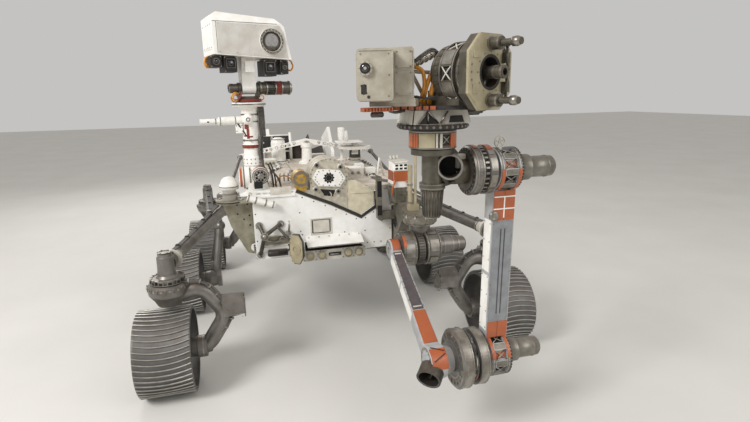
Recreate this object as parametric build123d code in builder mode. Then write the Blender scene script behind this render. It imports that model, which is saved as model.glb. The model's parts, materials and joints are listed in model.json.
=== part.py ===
"""Six-wheeled planetary rover with a rocker-bogie chassis, a mast and a five-joint arm.

Lengths are in millimetres, +Z is up, the front of the rover looks along -Y and its left
side is at +X. Every size is measured from the ground under the middle axle, and the last
step moves all pieces so that the origin is under the middle of the whole rover.
"""

import os
from math import atan2, cos, degrees, hypot, radians, sin

from build123d import *

# Wheels and axles
WHEEL_RADIUS = 262.5
WHEEL_WIDTH = 315.0
TRACK_HALF = 1120.0
MIDDLE_TRACK_HALF = 1150.0
REAR_TRACK_HALF = 1000.0
STEER_OFFSET = 45.0
FRONT_AXLE_Y = -1210.0
MIDDLE_AXLE_Y = 0.0
REAR_AXLE_Y = 1050.0
ORIGIN_SHIFT_Y = 541.7

# Body of the rover
BODY_HALF_WIDTH = 545.0
BODY_FRONT_Y = -890.0
BODY_REAR_Y = 790.0
BODY_BOTTOM_Z = 665.0
BODY_TOP_Z = 1120.0
DECK_THICKNESS = 28.0
DECK_TOP_Z = BODY_TOP_Z + DECK_THICKNESS
PANEL_FRONT_Y = BODY_FRONT_Y - 60

# Suspension
KNUCKLE_TOP_Z = 705.0
CAN_TUBE_Z = 812.0
ROCKER_TUBE = 40.0
BOGIE_TUBE = 34.0
ROCKER_PIVOT = (715.0, -100.0, 922.0)
BOGIE_PIVOT = (895.0, 450.0, 700.0)

# Mast
MAST_X = -520.0
MAST_Y = -800.0
MAST_FLANGE_Z = 1730.0
TILT_AXIS_Z = 1820.0
HEAD_YAW = 15.0

# Arm
AZIMUTH_X = 500.0
AZIMUTH_Y = -1250.0
SHOULDER = (-1290.0, 785.0)
ELBOW = (-2120.0, 458.0)
WRIST = (-2150.0, 1420.0)
TURRET_X = 225.0
TURRET_FLANGE_Z = 1640.0
DRILL_HEADING = -65.0
DRILL_X = 245.0
DRILL_AXIS_Z = 1842.0

PIECES = []


def keep(piece, label):
    """Labels a finished piece and puts it on the list to be written out."""
    piece.label = label
    PIECES.append(piece)


def axis_plane(start, end):
    """Plane at start whose normal points to end."""
    return Plane(origin=start, z_dir=Vector(*end) - Vector(*start))


def span(start, end):
    """Distance between two points."""
    return (Vector(*end) - Vector(*start)).length


def side_plane(x):
    """Plane across the rover at x, with its first axis along +Y and its second along +Z."""
    return Plane(origin=(x, 0, 0), x_dir=(0, 1, 0), z_dir=(1, 0, 0))


def front_plane(y):
    """Upright plane at y, facing the front, with +X to the right and +Z up."""
    return Plane(origin=(0, y, 0), x_dir=(1, 0, 0), z_dir=(0, -1, 0))


def turned_across(centre, stations):
    """Solid turned about the line along X through centre, from stations of x and radius."""
    with BuildPart() as turned:
        with BuildSketch(Plane(origin=(0, centre[0], centre[1]), x_dir=(1, 0, 0), z_dir=(0, -1, 0))):
            with BuildLine():
                Polyline((stations[0][0], 0), *stations, (stations[-1][0], 0), close=True)
            make_face()
        revolve(axis=Axis((0, centre[0], centre[1]), (1, 0, 0)))
    return turned.part


def turned_upright(centre, stations):
    """Solid turned about the upright line through centre, from stations of radius and z."""
    with BuildPart() as turned:
        with BuildSketch(Plane(origin=(centre[0], centre[1], 0), x_dir=(1, 0, 0), z_dir=(0, -1, 0))):
            with BuildLine():
                Polyline((0, stations[0][1]), *stations, (0, stations[-1][1]), close=True)
            make_face()
        revolve(axis=Axis((centre[0], centre[1], 0), (0, 0, 1)))
    return turned.part


def rod(start, end, radius):
    """Round bar between two points."""
    with BuildPart() as bar:
        with BuildSketch(axis_plane(start, end)):
            Circle(radius)
        extrude(amount=span(start, end))
    return bar.part


def tube_run(points, radius, knee_radius):
    """Round tube along straight runs, with a ball fitting at every knee."""
    with BuildPart() as run:
        for start, end in zip(points, points[1:]):
            add(rod(start, end, radius))
        for knee in points[1:-1]:
            with Locations(knee):
                Sphere(knee_radius)
    return run.part


# Wheels: thin hoops with a stiffening ring, curved spokes and a hub with the drive inside
HOOP_WALL = 9.0
RIM_LIP = 14.0
HUB_RADIUS = 62.0
SPOKE_COUNT = 8
SPOKE_WIDTH = 44.0
SPOKE_REACH = WHEEL_RADIUS - 30

with BuildSketch() as spoke:
    with BuildLine():
        back = ThreePointArc((HUB_RADIUS - 8, -14), (140, -52), (SPOKE_REACH, 0))
        tip = Line(back @ 1, (SPOKE_REACH, 10))
        front = ThreePointArc(tip @ 1, (140, -42), (HUB_RADIUS - 8, -4))
        Line(front @ 1, back @ 0)
    make_face()

with BuildPart() as wheel:
    with BuildSketch(Plane.XZ) as hoop_profile:
        with BuildLine():
            outer = [
                (-WHEEL_WIDTH / 2, WHEEL_RADIUS - 8),
                (-WHEEL_WIDTH / 2 + 20, WHEEL_RADIUS),
                (WHEEL_WIDTH / 2 - 20, WHEEL_RADIUS),
                (WHEEL_WIDTH / 2, WHEEL_RADIUS - 8),
                (WHEEL_WIDTH / 2, WHEEL_RADIUS - 8 - RIM_LIP),
                (WHEEL_WIDTH / 2 - 12, WHEEL_RADIUS - 8 - RIM_LIP),
                (WHEEL_WIDTH / 2 - 14, WHEEL_RADIUS - HOOP_WALL),
                (16, WHEEL_RADIUS - HOOP_WALL),
                (12, WHEEL_RADIUS - 34),
                (-30, WHEEL_RADIUS - 34),
                (-34, WHEEL_RADIUS - HOOP_WALL),
                (-WHEEL_WIDTH / 2 + 14, WHEEL_RADIUS - HOOP_WALL),
                (-WHEEL_WIDTH / 2 + 12, WHEEL_RADIUS - 8 - RIM_LIP),
                (-WHEEL_WIDTH / 2, WHEEL_RADIUS - 8 - RIM_LIP),
            ]
            Polyline(*outer, close=True)
        make_face()
    revolve(axis=Axis.X)
    hub = [(-20, HUB_RADIUS), (24, HUB_RADIUS + 10), (40, HUB_RADIUS), (52, 48), (56, 30)]
    add(turned_across((0, 0), hub))
    with BuildSketch(side_plane(-18)):
        with PolarLocations(0, SPOKE_COUNT):
            add(spoke.sketch)
    extrude(amount=SPOKE_WIDTH)

WHEELS = [
    ("front_left", 1, TRACK_HALF, FRONT_AXLE_Y),
    ("front_right", -1, TRACK_HALF, FRONT_AXLE_Y),
    ("middle_left", 1, MIDDLE_TRACK_HALF, MIDDLE_AXLE_Y),
    ("middle_right", -1, MIDDLE_TRACK_HALF, MIDDLE_AXLE_Y),
    ("rear_left", 1, REAR_TRACK_HALF, REAR_AXLE_Y),
    ("rear_right", -1, REAR_TRACK_HALF, REAR_AXLE_Y),
]
for place, side, across, along in WHEELS:
    turned = wheel.part if side > 0 else wheel.part.mirror(Plane.YZ)
    keep(turned.moved(Location((side * across, along, WHEEL_RADIUS))), f"wheel_{place}")

# Steering knuckles: bowl on the steering axis, gooseneck round the wheel's inner rim and the
# drive that holds the hub, with a six-sided cover on the knee
NECK_RADIUS = 50.0
NECK_BEND = 105.0
NECK_PATH = [(-STEER_OFFSET, 612), (-235, 655), (-365, 460), (-235, WHEEL_RADIUS), (-110, WHEEL_RADIUS)]
BOWL = [(70, 570), (84, 600), (112, 640), (118, 672), (116, 692), (98, KNUCKLE_TOP_Z)]
DRIVE = [(-258, 42), (-232, 46), (-230, 66), (-176, 68), (-172, 60), (-25, 60)]

with BuildPart() as knuckle:
    add(turned_upright((-STEER_OFFSET, 0), BOWL))
    with BuildLine(Plane.XZ) as neck_line:
        FilletPolyline(*NECK_PATH, radius=NECK_BEND)
    with BuildSketch(Plane(origin=neck_line.line @ 0, z_dir=neck_line.line % 0)):
        Circle(NECK_RADIUS)
    sweep(path=neck_line.line)
    add(turned_across((0, WHEEL_RADIUS), DRIVE))
    with BuildSketch(Plane(origin=(-345, 0, 505), x_dir=(0, 1, 0), z_dir=(-1, 0, 0.08))):
        RegularPolygon(86, 6, rotation=30)
    extrude(amount=128, taper=6)

STEERED = [
    ("front_left", 1, TRACK_HALF, FRONT_AXLE_Y),
    ("front_right", -1, TRACK_HALF, FRONT_AXLE_Y),
    ("rear_left", 1, REAR_TRACK_HALF, REAR_AXLE_Y),
    ("rear_right", -1, REAR_TRACK_HALF, REAR_AXLE_Y),
]
for place, side, across, along in STEERED:
    turned = knuckle.part if side > 0 else knuckle.part.mirror(Plane.YZ)
    keep(turned.moved(Location((side * across, along, 0))), f"knuckle_{place}")

# Steering actuators: a slotted ring over the knuckle and a slim upright barrel with a cap
RING_Z = KNUCKLE_TOP_Z + 6
CAN = [
    (98, RING_Z), (98, RING_Z + 26), (62, RING_Z + 30), (50, RING_Z + 44),
    (47, 862), (40, 868), (40, 884), (30, 890),
]
RING_SLOTS = 12
with BuildPart() as steer_can:
    add(turned_upright((0, 0), CAN))
    with BuildSketch(Plane.XY.offset(RING_Z + 6)):
        with PolarLocations(96, RING_SLOTS):
            Rectangle(22, 20)
    extrude(amount=20, mode=Mode.SUBTRACT)

# Rockers: a front tube down to the steering actuator and a rear tube down to the bogie
rockers = {}
for place, side in (("left", 1), ("right", -1)):
    pivot = (side * ROCKER_PIVOT[0], ROCKER_PIVOT[1], ROCKER_PIVOT[2])
    can_x = side * (TRACK_HALF - STEER_OFFSET)
    can_point = (can_x, FRONT_AXLE_Y, CAN_TUBE_Z)
    bogie_end = (side * 862, BOGIE_PIVOT[1], BOGIE_PIVOT[2])
    with BuildPart() as rocker:
        add(rod(can_point, pivot, ROCKER_TUBE))
        with BuildSketch(axis_plane(can_point, pivot).offset(30)):
            Circle(50)
        extrude(amount=110, taper=6)
        add(steer_can.part.moved(Location((can_x, FRONT_AXLE_Y, 0))))
        with BuildSketch(axis_plane(pivot, can_point).offset(90)):
            Circle(52)
        extrude(amount=70)
        hub = [(side * 640, 84), (side * 690, 96), (side * 790, 96), (side * 806, 84)]
        add(turned_across(ROCKER_PIVOT[1:], hub))
        add(rod((side * 748, ROCKER_PIVOT[1], ROCKER_PIVOT[2]), bogie_end, ROCKER_TUBE))
        add(turned_across(BOGIE_PIVOT[1:], [(side * 822, 58), (side * 828, 68), (side * 868, 68)]))
    keep(rocker.part, f"rocker_{place}")
    rockers[place] = rocker.part

    # Bogie beam, forward to the middle wheel's drive and back to the rear steering actuator
    bogie_hub = (side * 905, BOGIE_PIVOT[1], BOGIE_PIVOT[2])
    knee = (side * 818, 110, 690)
    ankle = (side * 882, MIDDLE_AXLE_Y, WHEEL_RADIUS)
    rear_x = side * (REAR_TRACK_HALF - STEER_OFFSET)
    rear_point = (rear_x, REAR_AXLE_Y, CAN_TUBE_Z)
    drive = [(side * 866, 60), (side * 920, 70), (side * 960, 66), (side * 966, 58), (side * 1125, 58)]
    with BuildPart() as bogie_beam:
        add(tube_run([bogie_hub, knee, ankle], BOGIE_TUBE, 44))
        add(turned_across(BOGIE_PIVOT[1:], [(side * 870, 64), (side * 936, 64), (side * 944, 54)]))
        add(turned_across((MIDDLE_AXLE_Y, WHEEL_RADIUS), drive))
        with BuildSketch(side_plane(side * 836)):
            with Locations((MIDDLE_AXLE_Y, WHEEL_RADIUS)):
                RegularPolygon(78, 6, rotation=30)
        extrude(amount=side * 34)
        add(rod(bogie_hub, rear_point, BOGIE_TUBE))
        with BuildSketch(axis_plane(rear_point, bogie_hub).offset(30)):
            Circle(46)
        extrude(amount=90, taper=6)
        add(steer_can.part.moved(Location((rear_x, REAR_AXLE_Y, 0))))
        add(rocker.part, mode=Mode.SUBTRACT)
    keep(bogie_beam.part, f"bogie_{place}")

# Rover body
BODY_SIDE = [
    (BODY_FRONT_Y, BODY_BOTTOM_Z + 40),
    (BODY_FRONT_Y + 60, BODY_BOTTOM_Z),
    (BODY_REAR_Y - 80, BODY_BOTTOM_Z),
    (BODY_REAR_Y, BODY_BOTTOM_Z + 120),
    (BODY_REAR_Y, BODY_TOP_Z),
    (BODY_FRONT_Y, BODY_TOP_Z),
]
SIDE_RECESSES = [(-650, 300), (-350, 220), (170, 260), (500, 300)]
with BuildPart() as chassis:
    with BuildSketch(side_plane(-BODY_HALF_WIDTH)):
        with BuildLine():
            Polyline(*BODY_SIDE, close=True)
        make_face()
    extrude(amount=2 * BODY_HALF_WIDTH)
    for side in (-1, 1):
        with BuildSketch(side_plane(side * BODY_HALF_WIDTH)):
            for middle, length in SIDE_RECESSES:
                with Locations((middle, 925)):
                    RectangleRounded(length, 270, 24)
        extrude(amount=-side * 14, mode=Mode.SUBTRACT)
        add(turned_across(ROCKER_PIVOT[1:], [(side * 540, 100), (side * 575, 92), (side * 640, 66)]))
keep(chassis.part, "chassis_box")

with BuildPart() as deck:
    with BuildSketch(Plane.XY.offset(BODY_TOP_Z)):
        with Locations((0, (BODY_REAR_Y - 930) / 2)):
            RectangleRounded(1140, BODY_REAR_Y + 930, 40)
    extrude(amount=DECK_THICKNESS)
    with BuildSketch(Plane.XY.offset(DECK_TOP_Z)):
        with Locations((-40, 20)):
            with GridLocations(300, 200, 2, 2):
                Circle(5)
    extrude(amount=-DECK_THICKNESS, mode=Mode.SUBTRACT)
    with BuildSketch(Plane.XY.offset(BODY_TOP_Z + 6)):
        with Locations((-360, -925)):
            Rectangle(140, 50)
    extrude(amount=52)
keep(deck.part, "top_deck")

with BuildPart() as belly:
    with BuildSketch(Plane.XY.offset(BODY_BOTTOM_Z - 22)):
        with Locations((0, -60)):
            RectangleRounded(1000, 1440, 60)
    extrude(amount=22)
keep(belly.part, "belly_pan")

# Front panel with the notch below the carousel, shallow equipment pockets and a slotted rail
PANEL_OUTLINE = [
    (-545, 712),
    (-500, 700),
    (190, 700),
    (330, 712),
    (400, 730),
    (400, 1118),
    (277, 1118),
    (277, 1013),
    (179, 949),
    (-29, 1058),
    (-262, 1160),
    (-545, 1170),
]
PANEL_POCKETS = [(-102, 893, 132, 100), (-408, 818, 168, 66), (-22, 768, 350, 52)]
RAIL_Z = 1147.0
with BuildPart() as panel:
    with BuildSketch(front_plane(BODY_FRONT_Y)):
        with BuildLine():
            Polyline(*PANEL_OUTLINE, close=True)
        make_face()
    extrude(amount=60)
    with BuildSketch(front_plane(PANEL_FRONT_Y)):
        for across, height, width, depth in PANEL_POCKETS:
            with Locations((across, height)):
                RectangleRounded(width, depth, 12)
    extrude(amount=-30, mode=Mode.SUBTRACT)
    with BuildSketch(front_plane(PANEL_FRONT_Y)):
        with Locations((-400, RAIL_Z)):
            with GridLocations(42, 0, 6, 1):
                SlotOverall(32, 12)
    extrude(amount=-10, mode=Mode.SUBTRACT)
    with BuildSketch(front_plane(PANEL_FRONT_Y)):
        with Locations((-400, RAIL_Z - 21)):
            Rectangle(262, 12)
    extrude(amount=8)
    add(deck.part, mode=Mode.SUBTRACT)
keep(panel.part, "front_panel")

# Bit carousel: round housing with a skirt that fills the notch, and the plate with its port
CAROUSEL_X = -35.0
CAROUSEL_Z = 1225.0
with BuildPart() as carousel:
    with BuildSketch(front_plane(-720)):
        with Locations((CAROUSEL_X, CAROUSEL_Z)):
            Circle(130)
        with Locations((CAROUSEL_X, 1180)):
            Rectangle(260, 80)
    extrude(amount=216)
    with BuildSketch(front_plane(BODY_FRONT_Y - 2)):
        with BuildLine():
            Polyline((-165, 1150), (-165, 1108), (-29, 1060), (90, 998), (90, 1150), close=True)
        make_face()
    extrude(amount=44)
    add(deck.part, mode=Mode.SUBTRACT)
    add(panel.part, mode=Mode.SUBTRACT)
    add(chassis.part, mode=Mode.SUBTRACT)
keep(carousel.part, "carousel_cover")
with BuildPart() as bib:
    with BuildSketch(front_plane(BODY_FRONT_Y - 2)):
        with BuildLine():
            Polyline((92, 1118), (92, 998), (179, 952), (273, 1014), (273, 1118), close=True)
        make_face()
    extrude(amount=50)
    with BuildSketch(front_plane(BODY_FRONT_Y - 41)):
        with BuildLine():
            Polyline((92, 1118), (92, 1196), (150, 1196), (268, 1118), close=True)
        make_face()
    extrude(amount=11)
    add(panel.part, mode=Mode.SUBTRACT)
    add(carousel.part, mode=Mode.SUBTRACT)
keep(bib.part, "notch_bib")
BOSSES = [(-117, 1316), (42, 1294), (-130, 1152), (22, 1130)]
with BuildPart() as carousel_plate:
    with BuildSketch(front_plane(-936)):
        with BuildLine():
            Polyline((-150, 1228), (-108, 1290), (42, 1272), (76, 1216), (36, 1160), (-112, 1174), close=True)
        make_face()
    extrude(amount=20)
    with BuildSketch(front_plane(-936)):
        with Locations(*BOSSES):
            Circle(17)
    extrude(amount=26)
    with BuildSketch(front_plane(-936)):
        with Locations((-38, 1226)):
            Circle(36)
    extrude(amount=20, mode=Mode.SUBTRACT)
keep(carousel_plate.part, "carousel_plate")

# Round cover and white canister beside the carousel
with BuildPart() as round_cover:
    with BuildSketch(front_plane(-830)):
        with Locations((-224, 1229)):
            Circle(53)
        with Locations((-224, 1175)):
            Rectangle(70, 54)
    extrude(amount=116)
    with BuildSketch(front_plane(-946)):
        with Locations((-224, 1229)):
            Circle(40)
    extrude(amount=10)
    add(deck.part, mode=Mode.SUBTRACT)
    add(panel.part, mode=Mode.SUBTRACT)
keep(round_cover.part, "round_cover")
with BuildPart() as canister:
    canister_top = (-578, -982, 1132)
    canister_end = (-408, -982, 1071)
    add(rod(canister_top, canister_end, 22))
    for share in (0.25, 0.75):
        clamp = Vector(*canister_top) * (1 - share) + Vector(*canister_end) * share
        with BuildSketch(front_plane(PANEL_FRONT_Y)):
            with Locations((clamp.X, clamp.Z)):
                Circle(14)
        extrude(amount=26)
    add(panel.part, mode=Mode.SUBTRACT)
keep(canister.part, "front_canister")

# Front hazard cameras below the panel and the visor over them
with BuildPart() as hazard_bar:
    with BuildSketch(front_plane(BODY_FRONT_Y)):
        with Locations((-25, 700)):
            RectangleRounded(440, 74, 14)
    extrude(amount=100)
    add(panel.part, mode=Mode.SUBTRACT)
    with BuildSketch(front_plane(-990)):
        with Locations((-195, 702), (-114, 702), (70, 702), (145, 702)):
            Circle(30)
    extrude(amount=14)
    with BuildSketch(front_plane(-990)):
        with Locations((-22, 700)):
            SlotOverall(90, 26)
    extrude(amount=-20, mode=Mode.SUBTRACT)
keep(hazard_bar.part, "hazard_cameras")
with BuildPart() as visor:
    with BuildSketch(side_plane(-215)):
        with BuildLine():
            Polyline((PANEL_FRONT_Y, 798), (-1052, 778), (-1056, 786), (PANEL_FRONT_Y, 828), close=True)
        make_face()
    extrude(amount=385)
keep(visor.part, "hazard_visor")

# Restraint that holds the turret for launch: a three-legged strut with a padded paddle
PADDLE = (-282, -1052, 782)
PADDLE_OUTLINE = [(20, 102), (50, 48), (50, -48), (20, -102), (-20, -102), (-50, -48), (-50, 48), (-20, 102)]
STRUT_HUB = (-489, -1000, 872)
STRUT_FEET = [(-516, -950, 935), (-376, -950, 935), (-521, -950, 733)]
paddle_plane = Plane(origin=PADDLE, x_dir=(0.8, -0.6, 0), z_dir=(-0.6, -0.8, 0))
with BuildPart() as restraint:
    for foot in STRUT_FEET:
        add(rod(STRUT_HUB, foot, 13))
    with Locations(STRUT_HUB):
        Sphere(24)
    add(rod((-400, -966, 921), PADDLE, 9))
    with BuildSketch(paddle_plane):
        with BuildLine():
            Polyline(*PADDLE_OUTLINE, close=True)
        make_face()
    extrude(amount=20)
    with BuildSketch(paddle_plane.offset(20)):
        Circle(33)
        Circle(22, mode=Mode.SUBTRACT)
    extrude(amount=6)
    add(panel.part, mode=Mode.SUBTRACT)
    add(visor.part, mode=Mode.SUBTRACT)
keep(restraint.part, "turret_restraint")

# Fitting on the right side of the body: gusset plate, flange, drum and domed cap
FITTING = (-692.0, -725.0)
FITTING_CAP = [(50, 1080), (44, 1150), (64, 1156), (64, 1186), (56, 1190), (50, 1214), (32, 1232), (10, 1238)]
with BuildPart() as fitting_post:
    with BuildSketch(front_plane(FITTING[1] + 12)):
        with BuildLine():
            Polyline((-750, 1072), (-545, 1072), (-545, 676), (-600, 690), (-700, 890), close=True)
        make_face()
    extrude(amount=24)
    with BuildSketch(Plane.XY.offset(1060)):
        with Locations((FITTING[0], FITTING[1])):
            Circle(96)
    extrude(amount=20)
    with BuildSketch(Plane.XY.offset(1060)):
        with Locations((-590, FITTING[1])):
            Rectangle(90, 150)
    extrude(amount=20)
    add(turned_upright(FITTING, FITTING_CAP))
    add(deck.part, mode=Mode.SUBTRACT)
    add(chassis.part, mode=Mode.SUBTRACT)
keep(fitting_post.part, "side_fitting")

# Shoulder bracket: a stout box ahead of the body that carries the azimuth housing
with BuildPart() as bracket:
    with BuildSketch(side_plane(410)):
        with BuildLine():
            Polyline(
                (BODY_FRONT_Y, 700),
                (BODY_FRONT_Y - 110, 760),
                (AZIMUTH_Y + 90, 950),
                (AZIMUTH_Y + 60, 1010),
                (BODY_FRONT_Y - 40, 1085),
                (BODY_FRONT_Y, 1085),
                close=True,
            )
        make_face()
    extrude(amount=135)
    with BuildSketch(side_plane(440)):
        with Locations((-1010, 900)):
            Circle(46)
    extrude(amount=75, mode=Mode.SUBTRACT)
    add(turned_upright((AZIMUTH_X, AZIMUTH_Y), [(106, 948), (112, 956), (112, 996), (96, 1004), (96, 1012)]))
    with BuildSketch(front_plane(-970)):
        with BuildLine():
            Polyline((282, 925), (316, 905), (316, 1218), (282, 1232), close=True)
        make_face()
    extrude(amount=40)
    with BuildSketch(front_plane(BODY_FRONT_Y)):
        with Locations((299, 1085)):
            Rectangle(34, 60)
    extrude(amount=90)
    with BuildSketch(front_plane(-975)):
        with Locations((362, 945)):
            Rectangle(96, 60)
    extrude(amount=30)
    with BuildSketch(Plane.XY.offset(1148)):
        with Locations((428, -1000)):
            RectangleRounded(128, 136, 44)
    extrude(amount=-120, taper=8)
    add(panel.part, mode=Mode.SUBTRACT)
    add(deck.part, mode=Mode.SUBTRACT)
keep(bracket.part, "shoulder_bracket")

with BuildPart() as flex_box:
    with BuildSketch(Plane.XY.offset(1148)):
        with Locations((436, -1004)):
            RectangleRounded(108, 124, 20)
    extrude(amount=176)
    add(deck.part, mode=Mode.SUBTRACT)
keep(flex_box.part, "flex_box")
with BuildPart() as arm_post:
    with BuildSketch(Plane.XY.offset(1012)):
        with Locations((AZIMUTH_X - 40, AZIMUTH_Y + 70)):
            Circle(16)
    extrude(amount=302)
    with BuildSketch(Plane.XY.offset(1012)):
        with Locations((AZIMUTH_X - 5, AZIMUTH_Y + 64)):
            Circle(9)
    extrude(amount=390)
    with BuildSketch(Plane.XY.offset(1012)):
        with Locations((AZIMUTH_X - 20, AZIMUTH_Y + 67)):
            Rectangle(72, 32)
    extrude(amount=40)
    add(bracket.part, mode=Mode.SUBTRACT)
keep(arm_post.part, "arm_post")

# Arm, from the azimuth stage out to the turret
SHOULDER_DRUM = [
    (345, 100), (352, 112), (432, 112), (436, 96), (446, 96), (450, 106), (492, 106), (496, 96),
    (504, 96), (508, 108), (590, 108), (604, 96), (606, 62), (700, 62), (706, 54), (790, 50), (800, 40),
]
with BuildPart() as shoulder:
    add(turned_across(SHOULDER, SHOULDER_DRUM))
    add(turned_upright((AZIMUTH_X, AZIMUTH_Y), [(70, 800), (70, 930), (84, 936), (84, 942)]))
keep(shoulder.part, "shoulder_drum")

# Upper arm: a link that widens and leans inward to the elbow, with an open cable boot at its end
UPPER_DEPTH = 86.0
UPPER_LENGTH = hypot(ELBOW[0] - SHOULDER[0], ELBOW[1] - SHOULDER[1])
UPPER_FACE = [(275, 0), (341, 0), (300, UPPER_LENGTH), (215, UPPER_LENGTH)]
BOOT_DIR = Vector(-0.6, -0.7, -0.38).normalized()
BOOT_PLANE = Plane(origin=(262, *ELBOW), z_dir=BOOT_DIR)
link_run = Vector(0, ELBOW[0] - SHOULDER[0], ELBOW[1] - SHOULDER[1]).normalized()
link_plane = Plane(origin=(0, *SHOULDER), x_dir=(1, 0, 0), z_dir=Vector(1, 0, 0).cross(link_run))
with BuildPart() as upper_arm:
    with BuildSketch(link_plane):
        with BuildLine():
            Polyline(*UPPER_FACE, close=True)
        make_face()
    extrude(amount=UPPER_DEPTH / 2, both=True)
    chamfer(upper_arm.edges().group_by(SortBy.LENGTH)[-1], 9)
    add(turned_across(SHOULDER, [(275, 62), (283, 70), (336, 70), (342, 62)]))
    add(turned_across(ELBOW, [(215, 76), (223, 84), (296, 84), (300, 80), (342, 62)]))
    with BuildSketch(BOOT_PLANE):
        Circle(60)
    extrude(amount=112)
    with BuildSketch(BOOT_PLANE.offset(30)):
        Circle(52)
    extrude(amount=90, mode=Mode.SUBTRACT)
keep(upper_arm.part, "upper_arm")

ELBOW_DRUM = [
    (342, 60), (350, 60), (352, 138), (360, 148), (408, 148), (412, 118), (444, 118), (448, 140),
    (496, 140), (505, 128),
]
with BuildPart() as elbow_drum:
    add(turned_across(ELBOW, ELBOW_DRUM))
    with BuildSketch(side_plane(416)):
        with Locations(ELBOW):
            with PolarLocations(118, 14):
                Rectangle(18, 16)
    extrude(amount=24)
    add(upper_arm.part, mode=Mode.SUBTRACT)
keep(elbow_drum.part, "elbow_drum")

FOREARM = (515.0, 630.0)
FOREARM_DEPTH = 76.0
COLLAR_WINDOWS = 8
run = (WRIST[0] - ELBOW[0], WRIST[1] - ELBOW[1])
tilt = degrees(atan2(run[1], run[0]))
middle = ((ELBOW[0] + WRIST[0]) / 2, (ELBOW[1] + WRIST[1]) / 2)
with BuildPart() as forearm:
    with BuildSketch(side_plane(FOREARM[0])):
        with Locations(Location((*middle, 0), (0, 0, tilt))):
            Rectangle(hypot(*run), FOREARM_DEPTH)
    extrude(amount=FOREARM[1] - FOREARM[0])
    for centre, radius in ((ELBOW, 112), (WRIST, 98)):
        add(
            turned_across(
                centre,
                [
                    (508, 60), (515, 60), (517, radius - 4), (521, radius), (622, radius), (630, radius - 8),
                    (632, 62), (700, 60), (706, 50), (826, 48), (836, 38),
                ],
            )
        )
        with BuildSketch(side_plane(540)):
            with Locations(Location((*centre, 0), (0, 0, tilt + 180 / COLLAR_WINDOWS))):
                with PolarLocations(radius - 4, COLLAR_WINDOWS):
                    Rectangle(22, radius * 0.46)
        extrude(amount=64, mode=Mode.SUBTRACT)
keep(forearm.part, "forearm")

TURRET_Y = WRIST[0]
TURRET_CENTRE = (TURRET_X, TURRET_Y)
WRIST_DRUM = [
    (385, 70), (387, 104), (394, 112), (432, 112), (436, 96), (456, 96), (460, 110), (496, 110), (505, 98),
]
with BuildPart() as wrist_drum:
    add(turned_across(WRIST, WRIST_DRUM))
keep(wrist_drum.part, "wrist_drum")

# Bracket between wrist and turret: open cable tube, joint column and motor cup
TUBE_MOUTH = (282, -2215, 1451)
TUBE_ROOT = (335, -2096, 1451)
tube_plane = axis_plane(TUBE_MOUTH, TUBE_ROOT)
WRIST_CUP = [(36, 1216), (40, 1222), (50, 1346), (58, 1350), (58, 1376)]
WRIST_COLUMN = [
    (46, 1376), (46, 1530), (104, 1534), (104, 1550), (96, 1556), (96, 1590), (104, 1596), (104, 1612),
]
with BuildPart() as wrist_bracket:
    add(turned_across(WRIST, [(310, 50), (318, 58), (380, 60), (381, 90), (385, 90)]))
    with BuildSketch(front_plane(TURRET_Y + 85)):
        with BuildLine():
            Polyline(
                (206, 1395), (290, 1352), (384, 1376), (384, 1470), (330, 1530), (206, 1530), close=True
            )
        make_face()
    extrude(amount=78)
    with BuildSketch(Plane.XY.offset(1505)):
        with Locations(TURRET_CENTRE):
            Circle(96)
    extrude(amount=25)
    add(turned_upright(TURRET_CENTRE, WRIST_CUP))
    add(turned_upright(TURRET_CENTRE, WRIST_COLUMN))
    with BuildSketch(tube_plane):
        Circle(56)
    extrude(amount=span(TUBE_MOUTH, TUBE_ROOT))
    with BuildSketch(tube_plane):
        Circle(48)
    extrude(amount=90, mode=Mode.SUBTRACT)
    add(wrist_drum.part, mode=Mode.SUBTRACT)
keep(wrist_bracket.part, "wrist_bracket")

with BuildPart() as turret_base:
    add(turned_upright(TURRET_CENTRE, [(146, 1618), (155, 1624), (155, 1636), (146, TURRET_FLANGE_Z)]))
    with BuildSketch(Plane.XY.offset(TURRET_FLANGE_Z)):
        with Locations(TURRET_CENTRE):
            RectangleRounded(260, 210, 24)
    extrude(amount=60, taper=10)
    with BuildSketch(Plane.XY.offset(TURRET_FLANGE_Z + 60)):
        with Locations(Location((TURRET_X, TURRET_Y, 0), (0, 0, -30))):
            RectangleRounded(330, 250, 40)
    extrude(amount=18)
keep(turret_base.part, "turret_base")

DRILL_DIR = (cos(radians(DRILL_HEADING)), sin(radians(DRILL_HEADING)), 0)
DRILL_SIDE = (-DRILL_DIR[1], DRILL_DIR[0], 0)


def drill_plane(ahead):
    """Plane square to the drill's axis, ahead of its centre, +Y up."""
    x = DRILL_X + ahead * DRILL_DIR[0]
    y = TURRET_Y + ahead * DRILL_DIR[1]
    return Plane(origin=(x, y, DRILL_AXIS_Z), x_dir=DRILL_SIDE, z_dir=DRILL_DIR)


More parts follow.
